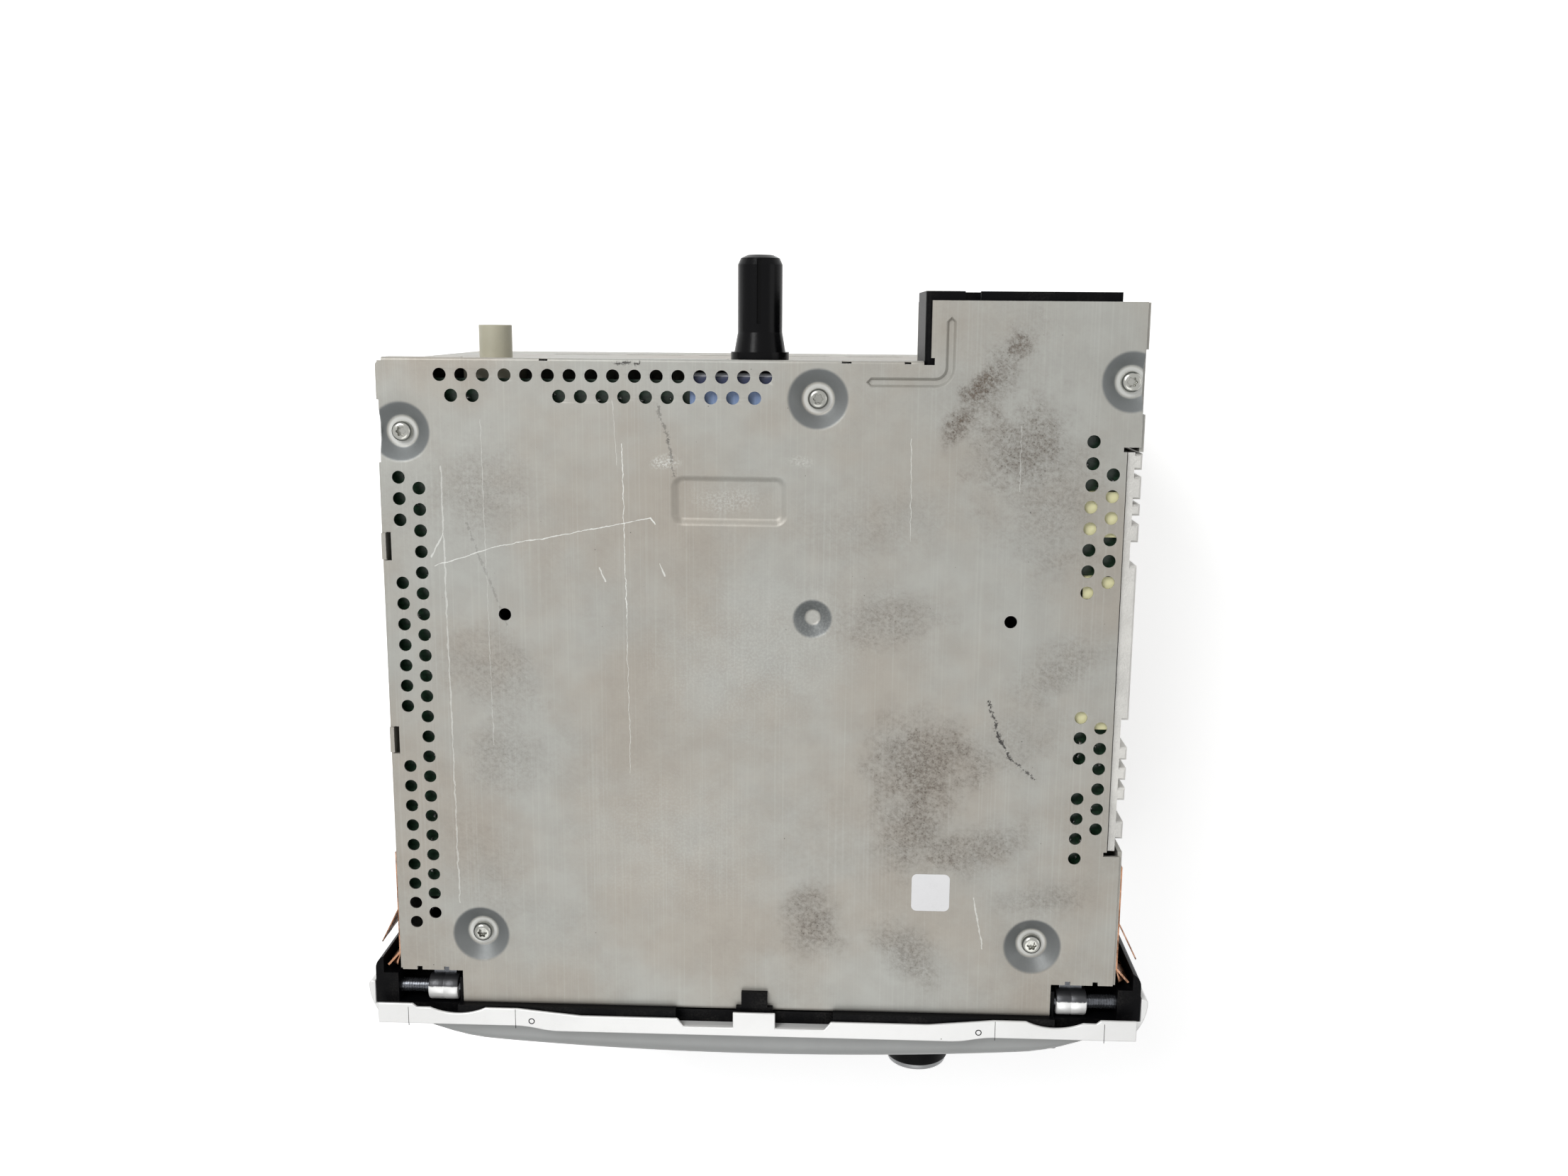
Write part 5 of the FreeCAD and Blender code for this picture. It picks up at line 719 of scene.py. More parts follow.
def wire(tree, shader, **values):
    """Sets or links the shader's inputs."""
    for label, value in values.items():
        socket = shader.inputs[label.replace("_", " ").title()]
        if isinstance(value, bpy.types.NodeSocket):
            tree.links.new(value, socket)
        elif isinstance(value, (tuple, list)):
            socket.default_value = (*value, 1.0)
        else:
            socket.default_value = value


def plain_finish(name, colour, rough, metal=0.0, grain_size=0.4, grain_depth=0.2, tone=0.12, dust_amount=0.0,
                 dust_colour=(0.34, 0.32, 0.29), wear=0.0, wear_colour=(0.6, 0.6, 0.6), coat=0.0,
                 speck_share=0.0, speck_colour=(0.03, 0.028, 0.025), lines=0.0, specular=0.5):
    """A finish of one colour with uneven tone, fine grain, dust, specks and rubbed edges."""
    material, tree, shader, place = new_finish(name)
    found = use(tree, grain(), place=place, size=grain_size, depth=grain_depth)
    shade = times(tree, share_of(tree, clouds(), place=place, size=14.0), tone)
    darker = tuple(channel * 0.45 for channel in colour)
    face = mixed(tree, shade, colour, darker)
    rough_from = times_plus(tree, found["Tone"], 0.16, rough - 0.08)
    if lines:
        drawn = share_of(tree, fine_lines(), place=place, turn=0.2, length=24.0, spacing=0.35)
        lighter = tuple(min(1.0, channel * 1.5 + 0.03) for channel in colour)
        face = tinted(tree, face, drawn, lines, lighter)
    if speck_share:
        spots = share_of(tree, specks(), place=place, spacing=1.7, amount=speck_share)
        face = mixed(tree, spots, face, speck_colour)
    if wear:
        rubbed = share_of(tree, edge_wear(), place=place, radius=0.0003)
        face = tinted(tree, face, rubbed, wear, wear_colour)
    if dust_amount:
        lying = share_of(tree, dust(), place=place, amount=dust_amount)
        face = mixed(tree, lying, face, dust_colour)
        rough_from = calculate(tree, "ADD", rough_from, times(tree, lying, 0.4), clamp=True)
    wire(tree, shader, base_color=face, roughness=rough_from, metallic=metal, coat_weight=coat,
         normal=found["Normal"])
    shader.inputs["Specular IOR Level"].default_value = specular
    if coat:
        shader.inputs["Coat Roughness"].default_value = 0.12
    return material


def patch_at(tree, plan, ragged, across, deep, reach, narrow, turn):
    """A patch's share of the colour, at a place of the cover's plan."""
    return share_of(tree, patch(), place=plan, middle=(across, deep, 0.0), reach=(reach, narrow, 1.0),
                    turn=math.radians(-turn), ragged=ragged)


def line_at(tree, plan, ragged, start, end, width):
    """A drawn line's share of the colour, between two places of the cover's plan."""
    return share_of(tree, mark_line(), place=plan, start=(*start, 0.0), end=(*end, 0.0), width=width,
                    ragged=ragged)


def smudged(tree, plan, dirty, ragged, mottled, amount):
    """The dirt with the cover's smudges, broken up by mottling and by fine slanting lines."""
    streaky = share_of(tree, fine_lines(), place=plan, turn=math.radians(38), length=5.0, spacing=0.55)
    broken = calculate(tree, "MAXIMUM", mottled, times(tree, streaky, 0.9))
    for across, deep, reach, narrow, turn, strength in SMUDGES:
        mask = patch_at(tree, plan, ragged, across, deep, reach * 1.25, narrow * 1.25, turn)
        dirty = times_plus(tree, mask, strength * 1.15, dirty)
    uneven = times_plus(tree, broken, 0.75, 0.25)
    return times(tree, times(tree, dirty, uneven), 0.72 * amount, clamp=True)


def cover_marks(tree, plan, face, dirty, ragged, mottled):
    """The cover's colour with its grains, painted shade on the dish walls and painted highlight on their
    floors, rubbed spots with broad painted sheen, painted shade over the front bend, streaks, scratches and
    specks.
    """
    grains = ranged(tree, noise(tree, plan, 2.4, 4.0, 0.75), 0.50, 0.66)
    heavy = times(tree, grains, ranged(tree, dirty, 0.10, 0.60), clamp=True)
    face = tinted(tree, face, heavy, 0.85, (0.048, 0.036, 0.024))
    face = dish_painted_shade_and_highlight(tree, plan, face)
    crumbs = ranged(tree, noise(tree, plan, 1.7, 4.0, 0.7), 0.45, 0.6)
    # Rubbed spots lighten the colour; the two broad ones are painted sheen.
    for *oval, strength in RUBS_AND_PAINTED_SHEEN:
        mask = patch_at(tree, plan, ragged, *oval)
        face = tinted(tree, face, times(tree, mask, crumbs), strength * 0.8, (0.66, 0.67, 0.64))
    deep = along_axis(tree, plan, "Y")
    # Painted shade: the colour darkens towards the front edge, over the bend.
    bend = ranged(tree, deep, COVER_FRONT + 1.5, COVER_FRONT + 0.3, to_high=0.6)
    face = mixed(tree, bend, face, (0.115, 0.105, 0.090))
    wander = noise(tree, plan, 0.35, 3.0, 0.6, out="Color")
    shift = vector(tree, "MULTIPLY", vector(tree, "SUBTRACT", wander, (0.5, 0.5, 0.5)), (1.1, 1.1, 0.0))
    wobbly = vector(tree, "ADD", plan, shift)
    faint = noise(tree, plan, 0.5, 2.0, 0.5)
    for marks, breaks, colour in ((STREAKS, mottled, (0.035, 0.032, 0.030)),
                                  (SCRATCHES, faint, (0.78, 0.79, 0.76))):
        for start, end, width, strength in marks:
            mask = line_at(tree, wobbly, breaks, start, end, width)
            face = tinted(tree, face, mask, strength, colour)
    near = line_at(tree, wobbly, 0.62, *SPECK_LINE, 3.5)
    crowd = times_plus(tree, near, 0.45, times_plus(tree, dirty, 0.30, 0.014))
    spots = share_of(tree, specks(), place=plan, spacing=1.4, amount=crowd)
    face = tinted(tree, face, spots, 0.8, (0.045, 0.04, 0.035))
    crowd = times_plus(tree, dirty, 0.5, 0.015)
    tiny = share_of(tree, specks(), place=plan, spacing=0.6, amount=crowd)
    return tinted(tree, face, tiny, 0.6, (0.09, 0.085, 0.08))


def sheet_finish(name, looks, marked=False):
    """Zinc coated sheet. The marked one carries the cover's smudges, scratches and specks."""
    material, tree, shader, place = new_finish(name)
    plan = vector(tree, "MULTIPLY", place, (1.0, 1.0, 0.0))
    colour = tuple(looks.sheet_colour)
    grime = tuple(looks.grime_colour)
    found = use(tree, grain(), place=place, size=0.55, depth=0.10)
    wide = share_of(tree, clouds(), place=place, size=46.0)
    close = share_of(tree, clouds(), place=place, size=7.0)
    warm = (colour[0] * 0.95, colour[1] * 0.91, colour[2] * 0.86)
    cool = (colour[0] * 1.01, colour[1] * 1.05, colour[2] * 1.06)
    face = tinted(tree, mixed(tree, wide, cool, warm), close, 0.10, grime)
    rolled = share_of(tree, fine_lines(), place=place, turn=math.radians(90), length=60.0, spacing=0.5)
    face = tinted(tree, face, rolled, 0.10, (0.62, 0.63, 0.60))
    mottled = ranged(tree, noise(tree, plan, 0.9, 5.0, 0.75), 0.36, 0.66)
    dirty = times(tree, share_of(tree, clouds(), place=place, size=30.0), 0.16)
    if marked:
        ragged = noise(tree, plan, 0.16, 6.0, 0.72)
        dirty = smudged(tree, plan, dirty, ragged, mottled, looks.dirt)
        face = mixed(tree, dirty, face, grime)
        face = cover_marks(tree, plan, face, dirty, ragged, mottled)
    else:
        dirty = times(tree, dirty, mottled)
        face = mixed(tree, dirty, face, grime)
    rubbed = share_of(tree, edge_wear(), place=place, radius=0.00025)
    face = tinted(tree, face, rubbed, 0.35, (0.66, 0.67, 0.65))
    rough = times_plus(tree, dirty, 0.30, times_plus(tree, found["Tone"], 0.12, 0.40), clamp=True)
    metal = times_plus(tree, dirty, -0.35, 0.35, clamp=True)
    wire(tree, shader, base_color=face, roughness=rough, metallic=metal, normal=found["Normal"])
    return material


def dish_painted_shade_and_highlight(tree, plan, face):
    """Painted shade on the dish walls, in blue grey, for the dark surroundings they reflect, and a painted
    highlight on the dish floors.
    """
    dishes = [(spot, DISH_RIM, 3.6, 0.55) for spot in SCREW_DISHES]
    dishes.append((BLIND_DISH, BLIND_RIM, BLIND_FLOOR, 0.1))
    for (across, deep), rim, floor, painted_floor_highlight in dishes:
        away = vector(tree, "LENGTH", vector(tree, "SUBTRACT", plan, (across, deep, 0.0)), out="Value")
        wall = times(tree, ranged(tree, away, floor - 0.1, floor + 0.4),
                     ranged(tree, away, rim + 0.3, rim - 0.5))
        # Painted shade: the walls are darkened to blue grey.
        face = tinted(tree, face, wall, 0.78, (0.100, 0.114, 0.122))
        # Painted highlight: the floors are lightened towards pale steel.
        face = mixed(tree, ranged(tree, away, floor, floor - 0.5, to_high=painted_floor_highlight), face, (0.70, 0.71, 0.69))
    return face


FINISHES = {}


def finish(name):
    """A finish that the finishes step has made."""
    if name not in FINISHES:
        raise RuntimeError(f"no finish named {name}: run the finishes step first")
    return FINISHES[name]


def make_finishes(scene):
    """Every material, by name."""
    case, front, trim = scene.cd_case, scene.cd_front, scene.cd_trim
    black = tuple(trim.black)
    FINISHES.update({
        "cover sheet": sheet_finish("Marked zinc sheet", case, marked=True),
        "sheet": sheet_finish("Zinc sheet", case),
        "steel": plain_finish("Bright steel", tuple(trim.steel), 0.26, metal=1.0, grain_size=0.3,
                              grain_depth=0.08, tone=0.25, lines=0.3),
        "screw": plain_finish("Plated screw", (0.40, 0.40, 0.37), 0.20, metal=1.0, grain_size=0.2,
                              grain_depth=0.05, tone=0.4, speck_share=0.05),
        "copper": copper_finish(tuple(trim.copper)),
        "black": plain_finish("Black moulding", black, 0.42, grain_size=0.35, grain_depth=0.25, tone=0.3,
                              dust_amount=0.05, wear=0.20, wear_colour=(0.04, 0.04, 0.04), specular=0.06),
        "gloss black": plain_finish("Polished black", black, 0.22, grain_size=0.6, grain_depth=0.06, tone=0.2,
                                    specular=0.10),
        "barrel": barrel_painted_reflection_finish(),
        # The shaft's rubbed edges turn bluish grey, partly real wear and partly a painted highlight on the
        # ribs.
        "shaft": plain_finish("Dark ribbed steel", (0.10, 0.105, 0.115), 0.25, metal=0.8, grain_size=0.3,
                              grain_depth=0.08, tone=0.4, wear=0.5, wear_colour=(0.5, 0.53, 0.6)),
        "silver": plain_finish("Silver paint", tuple(front.bezel_colour), 0.34, metal=0.25, grain_size=0.12,
                               grain_depth=0.10, tone=0.06, speck_share=0.07, dust_amount=0.06,
                               speck_colour=(0.10, 0.09, 0.075)),
        "panel": plain_finish("Grey panel paint", tuple(front.panel_colour), 0.45, metal=0.15,
                              grain_size=0.16, grain_depth=0.22, tone=0.1, speck_share=0.05,
                              dust_amount=0.10, dust_colour=(0.42, 0.41, 0.39)),
        "key": plain_finish("Key plastic", tuple(front.key_colour), 0.38, grain_size=0.25, grain_depth=0.18,
                            tone=0.2, wear=0.2, wear_colour=(0.12, 0.12, 0.12), dust_amount=0.08),
        "mark": plain_finish("Printed mark", tuple(front.mark_colour), 0.5, grain_size=0.2, grain_depth=0.1,
                             tone=0.1),
        "ring": plain_finish("Satin ring", tuple(front.ring_colour), 0.35, metal=0.6, grain_size=0.2,
                             grain_depth=0.12, tone=0.2),
        "window": plain_finish("Dark window", (0.006, 0.007, 0.008), 0.10, grain_size=1.5, grain_depth=0.03,
                               tone=0.3, coat=1.0, dust_amount=0.05),
        "board": board_finish(tuple(trim.board)),
        "solder": plain_finish("Solder", (0.55, 0.56, 0.55), 0.3, metal=1.0, grain_size=0.3, grain_depth=0.2,
                               tone=0.3),
        "ivory": plain_finish("Ivory plastic", tuple(trim.ivory), 0.48, grain_size=0.5, grain_depth=0.15,
                              tone=0.25, dust_amount=0.25, dust_colour=(0.36, 0.31, 0.22)),
        "cream": plain_finish("Cream plastic", tuple(trim.cream), 0.45, grain_size=0.5, grain_depth=0.12,
                              tone=0.12, speck_share=0.04),
        "aluminium": plain_finish("Cast aluminium", tuple(trim.aluminium), 0.55, metal=0.55, grain_size=0.5,
                                  grain_depth=0.9, tone=0.35, speck_share=0.10, wear=0.6,
                                  wear_colour=(0.85, 0.85, 0.83), speck_colour=(0.24, 0.20, 0.15)),
        "rubber": plain_finish("Rubber", (0.022, 0.022, 0.023), 0.78, grain_size=0.5, grain_depth=0.4,
                               tone=0.3, dust_amount=0.3),
        "ribbon": ribbon_finish(),
        "optic": plain_finish("Coated lens", (0.10, 0.09, 0.22), 0.08, grain_size=1.0,
                              grain_depth=0.02, tone=0.3, coat=1.0),
        "label": plain_finish("Paper label", (0.80, 0.80, 0.81), 0.6, grain_size=0.35, grain_depth=0.12,
                              tone=0.06, speck_share=0.06, dust_amount=0.10),
    })


def copper_finish(colour):
    """Rolled copper with streaks and tarnish."""
    material, tree, shader, place = new_finish("Spring copper")
    found = use(tree, grain(), place=place, size=0.3, depth=0.12)
    drawn = share_of(tree, fine_lines(), place=place, turn=math.radians(90), length=9.0, spacing=0.5)
    face = tinted(tree, colour, drawn, 0.35, (0.80, 0.58, 0.44))
    tarnish = ranged(tree, noise(tree, place, 0.35, 5.0, 0.7), 0.40, 0.64)
    face = tinted(tree, face, tarnish, 0.8, (0.10, 0.050, 0.030))
    rough = times_plus(tree, tarnish, 0.25, 0.26)
    wire(tree, shader, base_color=face, roughness=rough, metallic=1.0, normal=found["Normal"])
    return material


def barrel_painted_reflection_finish():
    """A dark barrel whose front half carries a painted reflection, as pale satin metal."""
    material, tree, shader, place = new_finish("Latch barrel")
    deep = along_axis(tree, place, "Y")
    found = use(tree, grain(), place=place, size=0.5, depth=0.12)
    wobble = times_plus(tree, noise(tree, place, 1.2), 0.4, deep)
    # Painted reflection: in front of the axis the barrel turns pale satin metal, for bright light mirrored in
    # its front half.
    bare = ranged(tree, wobble, -74.5, -74.9)
    stain = share_of(tree, clouds(), place=place, size=5.0)
    bright = mixed(tree, times(tree, stain, 0.3), (0.93, 0.93, 0.92), (0.55, 0.55, 0.54))
    face = mixed(tree, bare, (0.055, 0.056, 0.060), bright)
    rough = times_plus(tree, found["Tone"], 0.2, 0.28)
    metal = times_plus(tree, bare, -0.3, 0.6)
    wire(tree, shader, base_color=face, roughness=rough, metallic=metal, normal=found["Normal"])
    return material


def board_finish(colour):
    """Dark green solder mask over faint copper tracks."""
    material, tree, shader, place = new_finish("Circuit board")
    cells = put(tree, "ShaderNodeTexBrick", {
        "Vector": place, "Scale": 0.22, "Color1": (1, 1, 1, 1), "Color2": (0.4, 0.4, 0.4, 1),
        "Mortar": (0, 0, 0, 1), "Mortar Size": 0.06})
    tracks = put(tree, "ShaderNodeSeparateColor", {0: cells.outputs["Color"]}).outputs[0]
    lighter = tuple(channel * 2.6 for channel in colour)
    face = tinted(tree, colour, tracks, 0.45, lighter)
    pads = share_of(tree, specks(), place=place, spacing=2.4, amount=0.22)
    face = mixed(tree, pads, face, (0.30, 0.31, 0.28))
    found = use(tree, grain(), place=place, size=0.8, depth=0.15)
    rough = times_plus(tree, found["Tone"], 0.2, 0.22)
    wire(tree, shader, base_color=face, roughness=rough, normal=found["Normal"])
    return material


def ribbon_finish():
    """Pale blue film that turns dark navy towards its bend, with a white stripe near the bend."""
    material, tree, shader, place = new_finish("Ribbon film")
    deep = along_axis(tree, place, "Y")
    across = along_axis(tree, place, "X")
    wires = ranged(tree, calculate(tree, "PINGPONG", across, 0.6), 0.35, 0.6, to_high=0.22)
    face = mixed(tree, wires, (0.235, 0.330, 0.560), (0.42, 0.50, 0.70))
    dark = ranged(tree, deep, 74.0, 74.3)
    face = mixed(tree, dark, face, (0.020, 0.030, 0.085))
    stripe = times(tree, ranged(tree, deep, 76.35, 76.45), ranged(tree, deep, 77.25, 77.15))
    face = mixed(tree, stripe, face, (0.66, 0.68, 0.74))
    found = use(tree, grain(), place=place, size=0.9, depth=0.06)
    rough = times_plus(tree, found["Tone"], 0.15, 0.28)
    wire(tree, shader, base_color=face, roughness=rough, normal=found["Normal"])
    return material


SLOT_FINISH = {
    "sheet_steel": "sheet",
    "steel": "steel",
    "copper": "copper",
    "black_plastic": "black",
    "silver_paint": "silver",
    "grey_panel": "panel",
    "clear_black": "window",
    "green_board": "board",
    "cream": "cream",
    "aluminium": "aluminium",
    "rubber": "rubber",
    "ribbon_blue": "ribbon",
    "optic": "optic",
}
NODE_FINISH = {
    "locating_post": "gloss black",
    "main_connector": "black",
    "antenna_jack": "ivory",
    "antenna_contact": "steel",
}


class CDPLAYER_OT_finishes(bpy.types.Operator):
    """Make every material and give the frame's solids theirs"""
    bl_idname = "cdplayer.finishes"
    bl_label = "Finishes"

    def execute(self, context):
        make_finishes(context.scene)
        for name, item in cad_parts.items():
            for slot in item.material_slots:
                known = slot.material.name.split(".")[0]
                chosen = NODE_FINISH.get(name) or SLOT_FINISH.get(known)
                if not chosen:
                    raise RuntimeError(f"{name} has a material with no finish: {known}")
                slot.material = finish(chosen)
        return {"FINISHED"}


# Top cover

FRONT_BEND = 1.1
REAR_BEND = 0.7
FOLD_HEIGHT = 6.0
FRONT_START = COVER_FRONT + FRONT_BEND
REAR_START = COVER_REAR - REAR_BEND
FRONT_END = FRONT_START - FRONT_BEND * math.pi / 2 - (FOLD_HEIGHT - FRONT_BEND)
REAR_END = REAR_START + REAR_BEND * math.pi / 2 + (FOLD_HEIGHT - REAR_BEND)
FOLD_RIGHT = EXTENSION_LEFT - 1.6
FOLD_LEFT = 1.0 - COVER_SIDE
PRESSED = (-20.1, 7.3, 41.9, 54.1)
PRESS_CORNER = 2.9
PRESS_SLOPE = 2.1
PRESS_DEPTH = 1.1
BEAD_HALF = 1.2
BEAD_DEPTH = 0.75
BEAD_PATH = [(25.9, 75.5), (40.4, 75.5), *arc((40.4, 75.5), (42.8, 76.5), (43.8, 78.9), 6), (43.8, 89.2)]


def cover_outline():
    """The sheet before it is folded, from its front left round by the right."""
    notch = COVER_FRONT + 8.8
    bump = notch + 0.9
    right = [(CORNER_CUT, FRONT_END), (CORNER_CUT, notch)]
    for start in (3.4, 10.1):
        right += [(CORNER_CUT + start, notch), (CORNER_CUT + start, bump),
                  (CORNER_CUT + start + 1.3, bump), (CORNER_CUT + start + 1.3, notch)]
    right.append((COVER_SIDE, notch))
    left = [(-across, deep) for across, deep in reversed(right)]
    step, relief = COVER_SIDE - 3.1, COVER_SIDE - 3.9
    sink = [(COVER_SIDE, -36.8), (relief, -36.8), (relief, -35.7), (step, -35.7), (step, 60.3),
            (relief, 60.3), (relief, 61.4), (COVER_SIDE, 61.4)]
    rear = [(COVER_SIDE, EXTENSION_REAR), (EXTENSION_LEFT, EXTENSION_REAR), (EXTENSION_LEFT, 81.1),
            (EXTENSION_LEFT + 0.8, 81.1), (EXTENSION_LEFT + 0.8, 79.5), (FOLD_RIGHT, 79.5)]
    opening = REAR_START + REAR_BEND * math.pi / 2 + 0.9
    fold = [(FOLD_RIGHT, REAR_END), (7, REAR_END), (7, opening), (-7, opening), (-7, REAR_END),
            (-56.1, REAR_END), (-56.1, opening), (-69.1, opening), (-69.1, REAR_END),
            (FOLD_LEFT, REAR_END), (FOLD_LEFT, 79.5), (-COVER_SIDE, 79.5)]
    tabs = []
    for start in (39.7, -7.5):
        tabs += [(-COVER_SIDE, start), (1.6 - COVER_SIDE, start), (1.6 - COVER_SIDE, start - 6.8),
                 (-COVER_SIDE, start - 6.8)]
    return right + sink + rear + fold + tabs + left


def vent_places():
    places = []
    for across, deep, count in VENT_ROWS:
        places += [(across + place * VENT_PITCH, deep) for place in range(count)]
    for across, deep, count in VENT_COLUMNS:
        places += [(across, deep - place * VENT_PITCH) for place in range(count)]
    return places


def depth_inside(box, corner, across, deep):
    """How far inside a rectangle with round corners a point lies, up to the corner's radius."""
    left, right, low, high = box
    x = max(left + corner - across, across - right + corner, 0.0)
    y = max(low + corner - deep, deep - high + corner, 0.0)
    return corner - math.hypot(x, y)


def dish_drop(away, rim, floor, depth):
    """How far a dish goes down at a distance from its middle."""
    if away > rim + 3:
        return 0.0
    wall = 1 - (away - floor + 0.15) / (rim - floor + 0.3)
    straight = max(0.0, min(1.0, wall))
    crease = 0.10 * ease((rim + 3 - away) / 3)
    return max(depth * (0.80 * straight + 0.20 * ease(straight)), crease if away > rim - 0.4 else 0.0)


def cover_drop(across, deep, looks):
    """How far the cover is pressed down at a point."""
    drop = 0.0
    for x, y in SCREW_DISHES:
        away = math.hypot(across - x, deep - y)
        drop = max(drop, dish_drop(away, looks.dish_rim / MM, DISH_FLOOR, looks.dish_depth / MM))
    away = math.hypot(across - BLIND_DISH[0], deep - BLIND_DISH[1])
    drop = max(drop, dish_drop(away, BLIND_RIM, BLIND_FLOOR, looks.dish_depth / MM))
    inward = depth_inside(PRESSED, PRESS_CORNER, across, deep)
    if inward > 0:
        drop = max(drop, PRESS_DEPTH * ease(inward / PRESS_SLOPE))
    near = away_from(BEAD_PATH, across, deep)
    if near < BEAD_HALF:
        drop = max(drop, BEAD_DEPTH * ease(1.6 - 1.6 * near / BEAD_HALF))
    return drop


def fold_over(across, deep, drop):
    """A point of the flat sheet after its two edges are folded down."""
    level = TOP - drop
    if deep < FRONT_START:
        sign, start, radius = -1, FRONT_START, FRONT_BEND
    elif deep > REAR_START and across < FOLD_RIGHT + 0.01:
        sign, start, radius = 1, REAR_START, REAR_BEND
    else:
        return across, deep, level
    beyond = abs(deep - start)
    quarter = radius * math.pi / 2
    angle = min(beyond, quarter) / radius
    down = radius * (1 - math.cos(angle)) + max(0.0, beyond - quarter)
    return across, start + sign * radius * math.sin(angle), TOP - down


class CDPLAYER_OT_cover(bpy.types.Operator):
    """Press, pierce and fold the top cover from one sheet"""
    bl_idname = "cdplayer.cover"
    bl_label = "Top cover"

    def execute(self, context):
        looks = context.scene.cd_case
        rim = looks.dish_rim / MM
        holes = [circle(*spot, looks.vent / MM / 2, 24) for spot in vent_places()]
        holes += [circle(*spot, SCREW_HOLE, 24) for spot in SCREW_DISHES]
        holes += [circle(*spot, LOCK_HOLE, 24) for spot in LOCK_HOLES]
        bend = REAR_BEND * math.pi / 2
        for start, wide in ((19.2, 2.2), (33.4, 1.5), (-50.0, 2.0)):
            holes.append([(start, REAR_START), (start + wide, REAR_START), (start + wide, REAR_START + bend),
                          (start, REAR_START + bend)])
        rings = []
        for spot in SCREW_DISHES:
            for radius in (2.9, 3.4, 3.75, 4.1, 4.6, 5.1, 5.6, 6.1, 6.5, 6.9, 7.3, 8.2, 9.1, 10.0):
                rings.append(circle(*spot, radius * rim / DISH_RIM, 48))
        for radius in (0.8, 1.4, 1.7, 2.1, 2.6, 3.1, 3.6, 4.1, 4.5, 4.9, 5.8, 6.7, 7.6):
            rings.append(circle(*BLIND_DISH, radius, 40))
        left, right, low, high = PRESSED
        for step in range(7):
            inset = PRESS_SLOPE * step / 6
            rings.append(rounded(left + inset, right - inset, low + inset, high - inset,
                                 PRESS_CORNER - inset))
        rings += [along(BEAD_PATH, BEAD_HALF * share) for share in (0.2, 0.4, 0.6, 0.8, 1.0)]
        lines = []
        for step in range(6):
            front = FRONT_START - FRONT_BEND * math.pi / 2 * step / 5
            rear = REAR_START + bend * step / 5
            lines.append([(-CORNER_CUT, front), (CORNER_CUT, front)])
            lines.append([(FOLD_LEFT, rear), (FOLD_RIGHT, rear)])
        spots, faces = filled(cover_outline(), holes, rings, lines)
        points = [fold_over(spot.x, spot.y, cover_drop(spot.x, spot.y, looks)) for spot in spots]
        shape = facing((points, faces), (0, 0, 1))
        make("cover_sheet", shape, finish("cover sheet"), replaces=["top_cover"],
             sheet=looks.sheet / MM, bevel=0.10, smooth=32)
        return {"FINISHED"}


# Screws

SCREW_SIDES = 48
SHANK_RADIUS = 1.45
SHANK_LENGTH = 7.0
SIDE_HEAD = 2.4
SIDE_LENGTH = 3.6
SIDE_LEVEL = 7.0
SIDE_PLACES = (-40.0, 50.0)


def lobed(radius, depth, lobes, steps):
    """The outline of a recess with even lobes."""
    ring = []
    for place in range(lobes * steps):
        angle = FULL_TURN * place / (lobes * steps)
        reach = radius * (1 + depth * math.cos(lobes * angle))
        ring.append((reach * math.cos(angle), reach * math.sin(angle)))
    return ring


def screw_shape(radius, length):
    """A pan head with a six lobed recess. Its seat is at height 0 and it points down."""
    sides = SCREW_SIDES
    recess = lobed(radius * 0.40, 0.16, 6, sides // 6)
    dome = [(0.99, 0.0), (1.0, 0.16), (0.97, 0.36), (0.90, 0.54), (0.78, 0.66), (0.66, 0.72), (0.54, 0.735)]
    points, faces, rings = [], [], []

    def ring_of(loop, height):
        start = len(points)
        points.extend((x, y, height) for x, y in loop)
        rings.append(range(start, start + sides))

    for height in (-length, 0.0):
        ring_of(circle(0, 0, SHANK_RADIUS, sides), height)
    for share, height in dome:
        ring_of(circle(0, 0, radius * share, sides), radius * height)
    for grown, height in ((1.06, 0.73), (1.0, 0.70), (0.94, 0.22)):
        ring_of([(x * grown, y * grown) for x, y in recess], radius * height)
    for lower, upper in zip(rings, rings[1:]):
        for place in range(sides):
            after = (place + 1) % sides
            faces.append((lower[place], lower[after], upper[after], upper[place]))
    faces.append(tuple(rings[-1]))
    faces.append(tuple(reversed(rings[0])))
    return points, faces


class CDPLAYER_OT_screws(bpy.types.Operator):
    """Set the screws in the cover's dishes and in the sides"""
    bl_idname = "cdplayer.screws"
    bl_label = "Screws"

    def execute(self, context):
        looks = context.scene.cd_case
        radius = looks.screw_head / MM
        floor = TOP - looks.dish_depth / MM
        tops = [stood(screw_shape(radius, SHANK_LENGTH), "Z", (*spot, floor)) for spot in SCREW_DISHES]
        make("cover_screw_heads", together(*tops), finish("screw"), replaces=["cover_screws"],
             smooth=40)
        sides = []
        side_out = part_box("side_frame")[1].x / MM
        for side in (-1, 1):
            for deep in SIDE_PLACES:
                points, faces = screw_shape(SIDE_HEAD, SIDE_LENGTH)
                turned_out = [(side * (side_out + z), deep + x, SIDE_LEVEL + y) for x, y, z in points]
                sides.append((turned_out, faces))
        make("side_screw_heads", together(*sides), finish("screw"), replaces=["frame_screws"],
             smooth=40)
        return {"FINISHED"}


class CDPLAYER_OT_label(bpy.types.Operator):
    """Stick the small bare label on the cover"""
    bl_idname = "cdplayer.label"
    bl_label = "Label"

    def execute(self, context):
        outline = rounded(*LABEL, 1.3, 8)
        make("cover_label", prism(outline, TOP + 0.005, TOP + 0.085), finish("label"), bevel=0.02)
        return {"FINISHED"}


# Bezel

STRIP_FRONT = COVER_FRONT - 4.2
